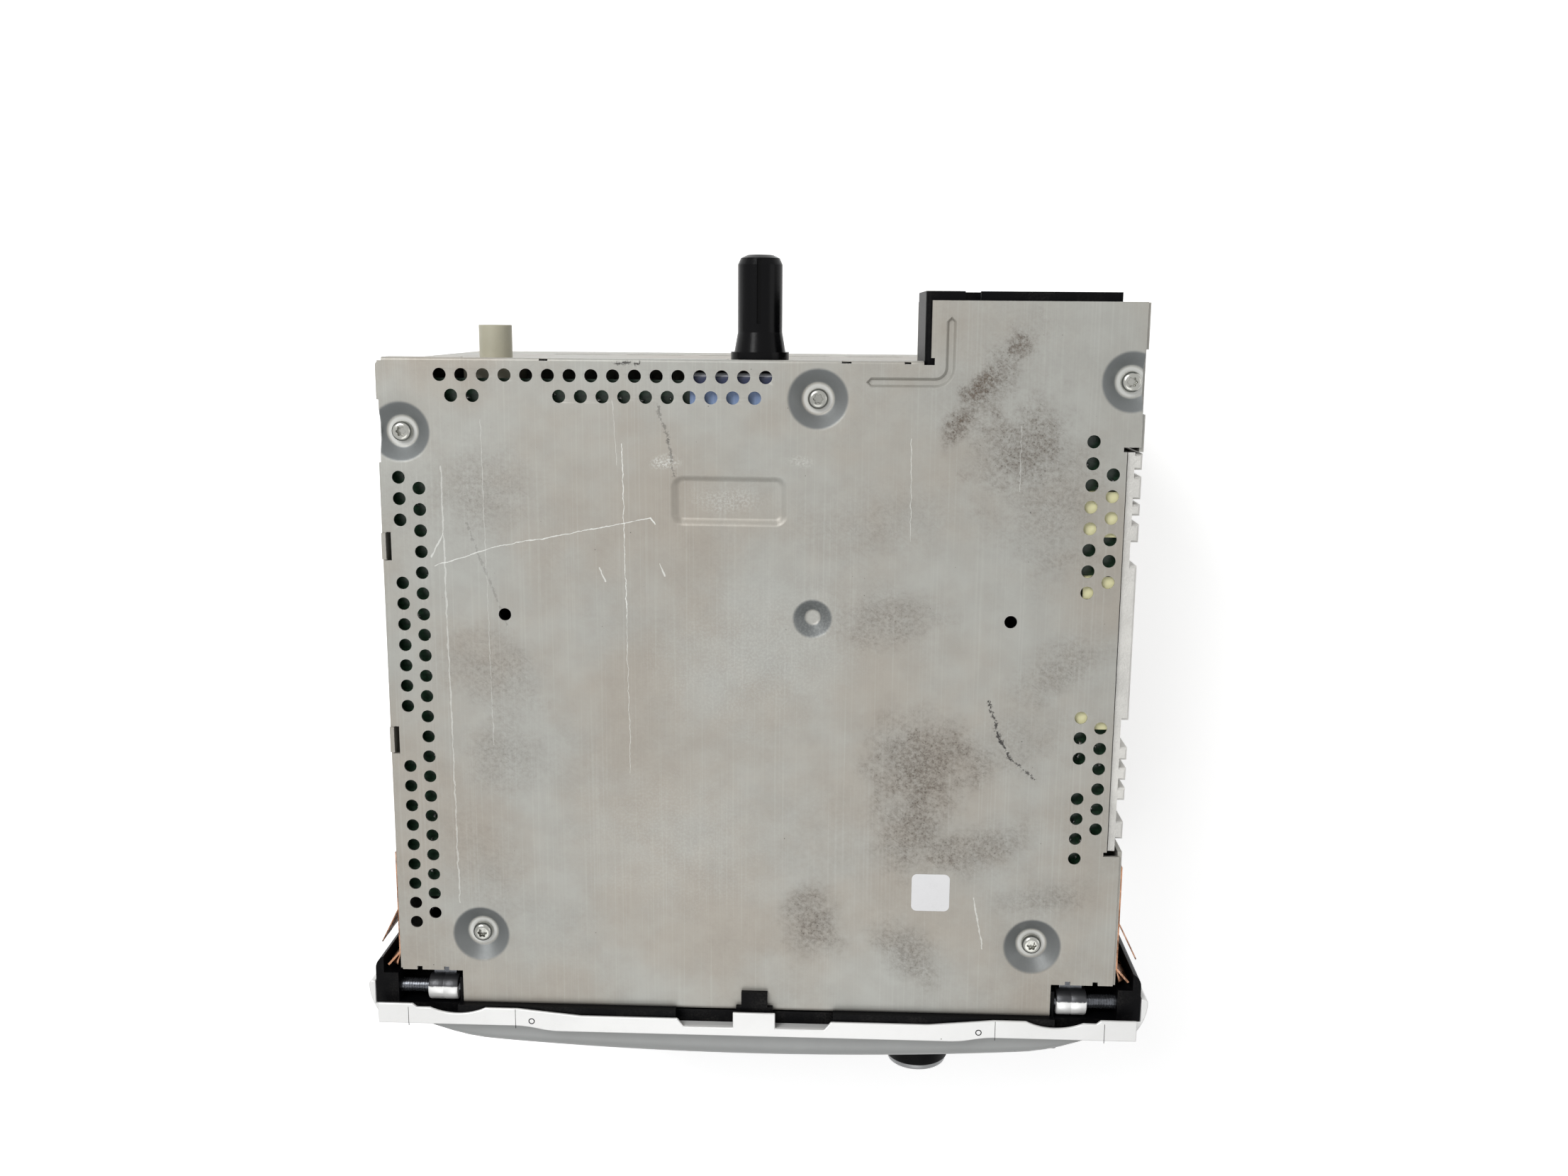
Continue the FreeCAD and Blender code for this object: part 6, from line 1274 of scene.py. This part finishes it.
# The shell's top lies this far under the frame's, so that the pins and seams can stand on it
SHELL_UNDER = 0.08
SEAM_HALF = 0.06
SEAM_PLACES = (-85.7, -59.0, 59.0, 85.5)
PIN_PLACES = (-55.0, 55.0)
PIN_DEEP = -81.6


def bezel_outline(scalloped):
    """The bezel's bars seen from above, with or without the scalloped rear edge."""
    deep_edge = STRIP_FRONT - 1.2
    front = [(STRIP_HALF, STRIP_FRONT), (59.0, STRIP_FRONT)]
    front += arc((59.0, STRIP_FRONT), (56.4, STRIP_FRONT - 0.14), (53.5, STRIP_FRONT - 0.6), 6)
    front += arc((53.5, STRIP_FRONT - 0.6), (50.6, STRIP_FRONT - 1.06), (48.0, deep_edge), 6)
    if scalloped:
        edge = COVER_FRONT
        rear = [(5.2, edge + 0.7), (5.2, FRAME_STEP), (17.3, FRAME_STEP), (18.9, edge - 1.2),
                (42.7, edge - 1.2), (58.6, edge + 0.3), (CORNER_CUT - 6, edge + 0.3)]
        rear += arc((CORNER_CUT - 6, edge + 0.3), (CORNER_CUT + 1.1, edge - 1.3),
                    (CORNER_CUT + 7.9, edge + 0.1), 14)
        rear += [(CORNER_CUT + 11.1, edge + 0.1), (CORNER_CUT + 12.1, edge + 1.0), (STRIP_HALF, edge + 1.0)]
    else:
        rear = [(STRIP_HALF, FRAME_STEP - 0.1)]
    half = rear + front
    return half + [(-across, deep) for across, deep in reversed(half)]


def bezel_side(sign):
    """A side of the bezel seen from above."""
    swell = arc((STRIP_HALF, STRIP_FRONT), (BEZEL_HALF - 0.9, COVER_FRONT - 0.4),
                (BEZEL_HALF, COVER_FRONT + 4.6), 12)
    points = [(PANEL_HALF + 0.2, FRAME_STEP - 0.1), (PANEL_HALF + 0.2, STRIP_FRONT),
              (STRIP_HALF, STRIP_FRONT), *swell]
    points += [(BEZEL_HALF - 0.6, COVER_FRONT + 5.2), (STRIP_HALF + 1.5, COVER_FRONT + 5.2),
               (STRIP_HALF + 1.5, COVER_FRONT - 0.7), (STRIP_HALF - 0.4, COVER_FRONT - 0.7),
               (STRIP_HALF - 0.4, FRAME_STEP - 0.1)]
    return [(sign * across, deep) for across, deep in points]


class CDPLAYER_OT_bezel(bpy.types.Operator):
    """Build the silver bezel, its seams and its two pins"""
    bl_idname = "cdplayer.bezel"
    bl_label = "Bezel"

    def execute(self, context):
        bar = bezel_outline(scalloped=False)
        parts = [
            prism(bar, 0.0, 3.6),
            prism(bar, STRIP_TOP - 3.6, STRIP_TOP - 0.85),
            prism(bezel_outline(scalloped=True), STRIP_TOP - 0.9, STRIP_TOP - SHELL_UNDER),
        ]
        parts += [prism(bezel_side(sign), 3.5, STRIP_TOP - 3.5) for sign in (-1, 1)]
        make("bezel_shell", together(*parts), finish("silver"),
             replaces=["silver_bezel"], bevel=0.22, smooth=30)
        seams = []
        for across in SEAM_PLACES:
            seams.append(prism(rounded(across - SEAM_HALF, across + SEAM_HALF, -83.6, -78.6, 0.05, 2),
                               STRIP_TOP - 0.3, STRIP_TOP - SHELL_UNDER + 0.02))
        make("bezel_seams", together(*seams), finish("gloss black"))
        pins = []
        for across in PIN_PLACES:
            rim = turned([(0.0, -0.5), (0.78, -0.5), (0.78, -0.05), (0.70, -0.004), (0.56, -0.02),
                          (0.46, -0.30), (0.0, -0.36)], 28)
            pins.append(stood(rim, "Z", (across, PIN_DEEP, STRIP_TOP - 0.01)))
        make("bezel_pins", together(*pins), finish("black"), smooth=60)
        return {"FINISHED"}


# Centre panel

def panel_depth(across):
    """How far back the bowed face lies at a distance from the middle."""
    return PANEL_FACE + PANEL_BOW * (across / PANEL_HALF) ** 2


def wrapped(left, right, low, high, radius, wall, holes=(), lines=(), steps=8):
    """A plate whose edges curl back through a quarter turn and run on as a wall.

    Gives a shape in plan, whose heights are depths behind the face.
    """
    curl = radius * math.pi / 2
    core = (left + radius, right - radius, low + radius, high - radius)

    def spread(distance):
        inner_left, inner_right, inner_low, inner_high = core
        return rounded(inner_left - distance, inner_right + distance, inner_low - distance,
                       inner_high + distance, max(distance, 0.0001), 10)

    rings = [spread(curl * step / steps) for step in range(1, steps + 1)]
    rings.append(rounded(*core, 0.001, 1))
    spots, faces = filled(spread(curl + wall), holes, rings, lines)
    points = []
    for spot in spots:
        x = max(core[0], min(core[1], spot.x))
        y = max(core[2], min(core[3], spot.y))
        out = Vector((spot.x - x, spot.y - y))
        beyond = out.length
        if beyond == 0:
            points.append((x, y, 0.0))
            continue
        angle = min(beyond, curl) / radius
        reach = out.normalized() * radius * math.sin(angle)
        depth = radius * (1 - math.cos(angle)) + max(0.0, beyond - curl)
        points.append((x + reach.x, y + reach.y, depth))
    return points, faces


def tapered(shape, deepest):
    """The panel's shell, whose ends fall back and grow shallow so that they meet its rear edge."""
    points = []
    for x, y, z in shape[0]:
        face = panel_depth(x) + PANEL_TAPER * max(0.0, abs(x) - PANEL_TAPER_FROM) ** 2
        points.append((x, face + (PANEL_BACK - face) * z / deepest, y))
    return points, shape[1]


class CDPLAYER_OT_panel(bpy.types.Operator):
    """Build the bowed centre panel with its openings"""
    bl_idname = "cdplayer.panel"
    bl_label = "Centre panel"

    def execute(self, context):
        looks = context.scene.cd_front
        radius = looks.edge / MM
        low, high = 3.8, STRIP_TOP - 3.8
        holes = [rounded(*SLOT, 2.0, 6), rounded(*WINDOW, 1.6, 6), circle(*KNOB_PLACE, 5.0, 48)]
        for _, _, across, up, wide, tall in KEYS:
            holes.append(rounded(across - wide / 2 - KEY_GAP, across + wide / 2 + KEY_GAP,
                                 up - tall / 2 - KEY_GAP, up + tall / 2 + KEY_GAP, 1.3, 5))
        deepest = PANEL_BACK - PANEL_FACE
        wall = deepest - radius
        lines = [[(across, low - deepest), (across, high + deepest)]
                 for across in [PANEL_HALF * step / 22 for step in range(-21, 22)]]
        flat = wrapped(-PANEL_HALF, PANEL_HALF, low, high, radius, wall, holes, lines)
        shape = facing(tapered(flat, deepest), (0, -1, 0))
        make("panel_shell", shape, finish("panel"), replaces=["centre_panel"], sheet=1.6,
             bevel=0.25, smooth=40)
        return {"FINISHED"}


class CDPLAYER_OT_window(bpy.types.Operator):
    """Set the dark display window in the panel"""
    bl_idname = "cdplayer.window"
    bl_label = "Display window"

    def execute(self, context):
        left, right, low, high = WINDOW
        gap = 0.12
        lines = [[(left + (right - left) * step / 14, low - 3), (left + (right - left) * step / 14, high + 3)]
                 for step in range(1, 14)]
        flat = wrapped(left + gap, right - gap, low + gap, high - gap, 0.5, 1.0, lines=lines, steps=4)
        shape = facing(stood_up(flat, lambda across: panel_depth(across) + 0.35), (0, -1, 0))
        make("window_lens", shape, finish("window"), replaces=["display_lens"], smooth=40)
        return {"FINISHED"}


# Keys and knob

def mark_shape(mark):
    """The flat outlines of a key's mark, about its middle, as prisms 0.05 high."""
    if mark == "power":
        ring = []
        for step in range(37):
            angle = math.radians(125 + 290 * step / 36)
            ring.append((1.5 * math.cos(angle), 1.5 * math.sin(angle)))
        return together(prism(along(ring, 0.16), 0.0, 0.05),
                        prism(along([(0.0, 0.4), (0.0, 1.9)], 0.17), 0.0, 0.05))
    triangle = [(-1.7, -0.35), (1.7, -0.35), (0.0, 1.6)]
    bar = [(-1.7, -1.45), (1.7, -1.45), (1.7, -0.85), (-1.7, -0.85)]
    return together(prism(triangle, 0.0, 0.05), prism(bar, 0.0, 0.05))


def numeral(name, text, height):
    """A printed numeral as a flat mesh about its middle."""
    curve = bpy.data.curves.new(name, "FONT")
    curve.body = text
    curve.size = height
    curve.align_x = "CENTER"
    curve.align_y = "CENTER"
    curve.extrude = 0.025
    carrier = bpy.data.objects.new(name, curve)
    mesh = bpy.data.meshes.new_from_object(carrier)
    points = [tuple(point.co) for point in mesh.vertices]
    faces = [tuple(face.vertices) for face in mesh.polygons]
    bpy.data.objects.remove(carrier)
    bpy.data.curves.remove(curve)
    bpy.data.meshes.remove(mesh)
    return points, faces


class CDPLAYER_OT_keys(bpy.types.Operator):
    """Build the keys and print their marks"""
    bl_idname = "cdplayer.keys"
    bl_label = "Keys"

    def execute(self, context):
        for name, mark, across, up, wide, tall in KEYS:
            face, back = [corner.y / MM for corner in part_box(name)]
            left, right = across - wide / 2, across + wide / 2
            low, high = up - tall / 2, up + tall / 2
            cap = stood_up(wrapped(left, right, low, high, 0.9, 3.0, steps=5), lambda x: face)
            stem_start = face + 3.7
            stem = prism(rounded(across - 2, across + 2, up - 2, up + 2, 0.5, 3), 0.0, back - stem_start)
            flange = prism(rounded(left + 0.2, right - 0.2, low + 0.2, high - 0.2, 0.8, 3), -0.3, 0.3)
            inner = stood_up(together(stem, flange), lambda x: stem_start)
            make(f"{name}_cap", together(facing(cap, (0, -1, 0)), inner), finish("key"), body=name,
                 replaces=[name], smooth=45)
            drawn = numeral(name, mark, 5.2) if mark.isdigit() else mark_shape(mark)
            make(f"{name}_mark", printed(drawn, across, face - 0.001, up), finish("mark"), body=name)
        return {"FINISHED"}


class CDPLAYER_OT_knob(bpy.types.Operator):
    """Turn the knob, its satin ring and its pointer"""
    bl_idname = "cdplayer.knob"
    bl_label = "Knob"

    def execute(self, context):
        radius = context.scene.cd_front.knob_radius / MM
        front, back = [corner.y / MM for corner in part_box("knob")]
        across, up = KNOB_PLACE
        ring = radius - 0.7
        body = turned([
            (3.05, back - 0.6), (4.8, back - 0.6), (4.8, front + 5), (radius - 1.6, front + 5),
            (radius - 1.6, back), (radius - 0.45, back), (radius - 0.12, back - 0.14),
            (radius, back - 0.45), (radius - 0.02, back - 3.0), (radius - 0.1, front + 2.2),
            (radius - 0.22, front + 1.75), (radius - 0.5, front + 1.5), (ring - 0.25, front + 1.45),
        ], KNOB_SIDES)
        make("knob_body", stood(body, "Y", (across, 0.0, up)), finish("black"), body="knob",
             replaces=["knob"], smooth=30)
        trim = turned([
            (ring - 0.3, front + 1.6), (ring, front + 1.4), (ring, front + 0.62), (ring - 0.12, front + 0.3),
            (ring - 0.4, front + 0.08), (ring - 0.8, front), (ring - 1.5, front + 0.02),
            (ring - 1.9, front + 0.25), (ring - 2.2, front + 0.7),
        ], KNOB_SIDES)
        make("knob_ring", stood(trim, "Y", (across, 0.0, up)), finish("ring"), body="knob", smooth=50)
        face = turned([(ring - 2.1, front + 0.9), (ring - 2.2, front + 0.66), (ring - 3.4, front + 0.5),
                       (2.0, front + 0.42), (0.0, front + 0.4)], KNOB_SIDES)
        make("knob_face", stood(face, "Y", (across, 0.0, up)), finish("gloss black"), body="knob", smooth=50)
        line = prism(along([(0.0, 2.6), (0.0, 4.6)], 0.22), 0.0, 0.06)
        make("knob_pointer", printed(line, across, front + 0.42, up), finish("mark"), body="knob")
        return {"FINISHED"}


# Corner latches and springs

# The latch barrels' axis: behind the middle and up
LATCH_AXIS = (-75.9, 93.2)
BARREL_START = 74.2
BARREL_END = 81.7


class CDPLAYER_OT_latches(bpy.types.Operator):
    """Build the corner latches with their ribbed shafts"""
    bl_idname = "cdplayer.latches"
    bl_label = "Latches"

    def execute(self, context):
        deep, up = LATCH_AXIS
        start, end = BARREL_START, BARREL_END
        for name, side in (("left", -1), ("right", 1)):
            node = f"latch_{name}"
            inner, outer = side_reach(node)
            barrel = turned([
                (0.0, start), (2.7, start), (3.1, start + 0.12), (3.3, start + 0.45), (3.3, start + 3.4),
                (3.24, start + 3.5), (3.24, start + 3.8), (3.3, start + 3.9), (3.3, end - 0.45),
                (3.1, end - 0.12), (2.7, end), (0.0, end),
            ], 56)
            ribs = []
            place = end
            while place < outer - 0.6:
                ribs += [(1.75, place), (1.75, place + 0.34), (1.62, place + 0.42), (1.62, place + 0.56)]
                place += 0.64
            shaft = turned([(0.0, inner), (1.7, inner), (1.75, inner + 0.1), (1.75, end - 0.3), *ribs,
                            (1.7, outer), (0.0, outer)], 28)
            make(f"{node}_barrel", mirrored(stood(barrel, "X", (0.0, deep, up)), side), finish("barrel"),
                 body=node, replaces=[node], smooth=32)
            arm = prism(rounded(start + 1, end - 1, deep, deep + 9.0, 0.8, 4), up - 1.6, up)
            shape = together(stood(shaft, "X", (0.0, deep, up)), arm)
            make(f"{node}_shaft", mirrored(shape, side), finish("shaft"), body=node, smooth=32)
        return {"FINISHED"}


LEAF_ROWS = 12


def bulged(path, inner, low, high, curl):
    """A leaf that follows a path in plan. Its upper and lower edges curl back towards the inner side."""
    points, faces = [], []
    for row in range(LEAF_ROWS + 1):
        share = row / LEAF_ROWS
        out = 1 - abs(2 * share - 1) ** 2.2 * curl
        level = low + (high - low) * share
        points += [(inner + (across - inner) * out, deep, level) for across, deep in path]
    count = len(path)
    for row in range(LEAF_ROWS):
        for place in range(count - 1):
            start = row * count + place
            faces.append((start, start + 1, start + count + 1, start + count))
    return points, faces


class CDPLAYER_OT_springs(bpy.types.Operator):
    """Bend the copper blades at the sides"""
    bl_idname = "cdplayer.springs"
    bl_label = "Spring blades"

    def execute(self, context):
        for name, side in (("left", -1), ("right", 1)):
            node = f"spring_blade_{name}"
            low_corner, high_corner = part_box(node)
            root, tip = high_corner.y / MM - 0.25, low_corner.y / MM
            low, high = low_corner.z / MM, high_corner.z / MM
            inner, outer = side_reach(node)
            start, end = inner + 0.42, outer - 0.08
            path = [(start + (end - start) * step / 14, root + (tip - root) * step / 14)
                    for step in range(15)]
            tall = (high - low - 0.6) / 2
            halves = [bulged(path, inner, foot, foot + tall, 0.01) for foot in (low, low + tall + 0.6)]
            leaf = facing(mirrored(together(*halves), side), (side, 0.5, 0))
            make(f"{node}_leaf", leaf, finish("copper"), body=node, replaces=[node],
                 sheet=0.3, smooth=30)
            strip_low, strip_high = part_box(f"spring_strip_{name}")
            hook_tip = side_reach(f"spring_strip_{name}")[1] - 0.2
            hook_end = strip_low.y / MM + 0.2
            inner += 0.17
            hook = [(inner + (hook_tip - inner) * ease(step / 8), hook_end + 3.6 * (1 - step / 8))
                    for step in range(9)]
            hook.append((hook_tip - 0.6, hook_end))
            bent = bulged(hook, inner, strip_high.z / MM - 8, strip_high.z / MM, 0.8)
            bent = facing(mirrored(bent, side), (side, 0.5, 0))
            make(f"spring_hook_{name}", bent, finish("copper"), sheet=0.3, smooth=30)
        return {"FINISHED"}


SOLDER_SEED = 11
SOLDER_SPREAD = 2.2


def hides_board(across, deep):
    """Whether the ribbon cable or a terminal block lies under a place."""
    return (deep > 70 and across > -17) or (across > 75 and -7 < deep < 52)


class CDPLAYER_OT_board_detail(bpy.types.Operator):
    """Put solder points on the main board under the ventilation holes"""
    bl_idname = "cdplayer.board_detail"
    bl_label = "Solder points"

    def execute(self, context):
        choose = random.Random(SOLDER_SEED)
        points = []
        for across, deep in vent_places():
            if hides_board(across, deep):
                continue
            for _ in range(2):
                spot = [middle + choose.uniform(-SOLDER_SPREAD, SOLDER_SPREAD) for middle in (across, deep)]
                if abs(spot[0]) > 83 or spot[1] > 75:
                    continue
                size = choose.uniform(0.28, 0.6)
                blob = turned([(size, 0.0), (size * 0.9, 0.16), (size * 0.55, 0.42), (size * 0.25, 0.62),
                               (0.0, 0.66)], 12)
                points.append(stood(blob, "Z", (*spot, BOARD_TOP)))
        make("solder_points", together(*points), finish("solder"), smooth=60)
        return {"FINISHED"}


# Stage

LIGHT_AIM = Vector((0.0, 0.0, 0.05))
CAMERA_PLACE = (0.01872, 0.09004, 0.4282)
CAMERA_TURN = (-10.6313, 2.2015, 0.4439)
CAMERA_LENS = 33.14
CAMERA_SENSOR = 36.0
FLOOR_REACH = 3.0


def seen(tree):
    """1 for a ray that comes from the camera, off a shiny face or through glass."""
    path = put(tree, "ShaderNodeLightPath").outputs
    through = calculate(tree, "MAXIMUM", path["Is Camera Ray"], path["Is Transmission Ray"])
    return calculate(tree, "MAXIMUM", through, path["Is Glossy Ray"])


def soft_light(name, where, size, power):
    """A square light that looks at the middle of the case."""
    lamp = bpy.data.lights.new(name, "AREA")
    lamp.shape = "SQUARE"
    lamp.size = size
    lamp.energy = power
    item = bpy.data.objects.new(name, lamp)
    item.location = where
    item.rotation_euler = (LIGHT_AIM - Vector(where)).to_track_quat("-Z", "Y").to_euler()
    bpy.context.scene.collection.objects.link(item)


class CDPLAYER_OT_stage(bpy.types.Operator):
    """Lay the floor and set the lights, the sky and the camera"""
    bl_idname = "cdplayer.stage"
    bl_label = "Stage"

    def execute(self, context):
        scene = context.scene
        looks = scene.cd_stage
        scene.view_settings.view_transform = "Standard"
        reach = FLOOR_REACH
        mesh = bpy.data.meshes.new("floor")
        corners = [(-reach, -reach, 0), (reach, -reach, 0), (reach, reach, 0), (-reach, reach, 0)]
        mesh.from_pydata(corners, [], [(0, 1, 2, 3)])
        floor = bpy.data.objects.new("floor", mesh)
        scene.collection.objects.link(floor)
        material, tree, shader, place = new_finish("Floor")
        tone = mixed(tree, share_of(tree, clouds(), place=place, size=300.0), tuple(looks.floor),
                     tuple(channel * 0.99 for channel in looks.floor))
        wire(tree, shader, base_color=tone, roughness=0.9, emission_color=(1.0, 1.0, 1.0),
             emission_strength=times(tree, seen(tree), looks.floor_glow))
        mesh.materials.append(material)
        soft_light("Key light", (-0.48, 0.62, 0.88), 0.55, looks.key_power)
        soft_light("Front light", (-0.05, -0.55, 0.95), 0.6, looks.fill_power * 1.7)
        soft_light("Side light", (0.95, 0.1, 0.5), 0.5, looks.fill_power * 0.7)
        world = bpy.data.worlds.new("Sky")
        scene.world = world
        world.use_nodes = True
        nodes = world.node_tree
        background = nodes.nodes["Background"]
        background.inputs["Color"].default_value = (1.0, 1.0, 1.0, 1.0)
        strength = calculate(nodes, "MULTIPLY_ADD", seen(nodes), 1.0 - looks.sky, looks.sky)
        nodes.links.new(strength, background.inputs["Strength"])
        lens = bpy.data.cameras.new("Photo camera")
        lens.lens = CAMERA_LENS
        lens.sensor_width = CAMERA_SENSOR
        camera = bpy.data.objects.new("Photo camera", lens)
        camera.location = CAMERA_PLACE
        camera.rotation_euler = [math.radians(angle) for angle in CAMERA_TURN]
        scene.collection.objects.link(camera)
        scene.camera = camera
        return {"FINISHED"}


STEPS = [
    CDPLAYER_OT_stage,
    CDPLAYER_OT_finishes,
    CDPLAYER_OT_cover,
    CDPLAYER_OT_screws,
    CDPLAYER_OT_label,
    CDPLAYER_OT_bezel,
    CDPLAYER_OT_panel,
    CDPLAYER_OT_window,
    CDPLAYER_OT_keys,
    CDPLAYER_OT_knob,
    CDPLAYER_OT_latches,
    CDPLAYER_OT_springs,
    CDPLAYER_OT_board_detail,
]


class CDPLAYER_PT_steps(bpy.types.Panel):
    """The steps that build the CD player"""
    bl_idname = "CDPLAYER_PT_steps"
    bl_label = "Car CD player"
    bl_space_type = "VIEW_3D"
    bl_region_type = "UI"
    bl_category = "CD Player"

    def draw(self, context):
        for step in STEPS:
            self.layout.operator(step.bl_idname)
        for name, group in SETTINGS.items():
            column = self.layout.column()
            for setting in group.__annotations__:
                column.prop(getattr(context.scene, name), setting)


def register():
    for group in (*SETTINGS.values(), *STEPS, CDPLAYER_PT_steps):
        bpy.utils.register_class(group)
    for name, group in SETTINGS.items():
        setattr(bpy.types.Scene, name, bpy.props.PointerProperty(type=group))


def unregister():
    for name in SETTINGS:
        delattr(bpy.types.Scene, name)
    for group in (CDPLAYER_PT_steps, *reversed(STEPS), *reversed(SETTINGS.values())):
        bpy.utils.unregister_class(group)


def main():
    """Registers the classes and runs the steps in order."""
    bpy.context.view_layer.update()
    register()
    for step in STEPS:
        family, name = step.bl_idname.split(".")
        getattr(getattr(bpy.ops, family), name)()


if __name__ == "__main__":
    main()
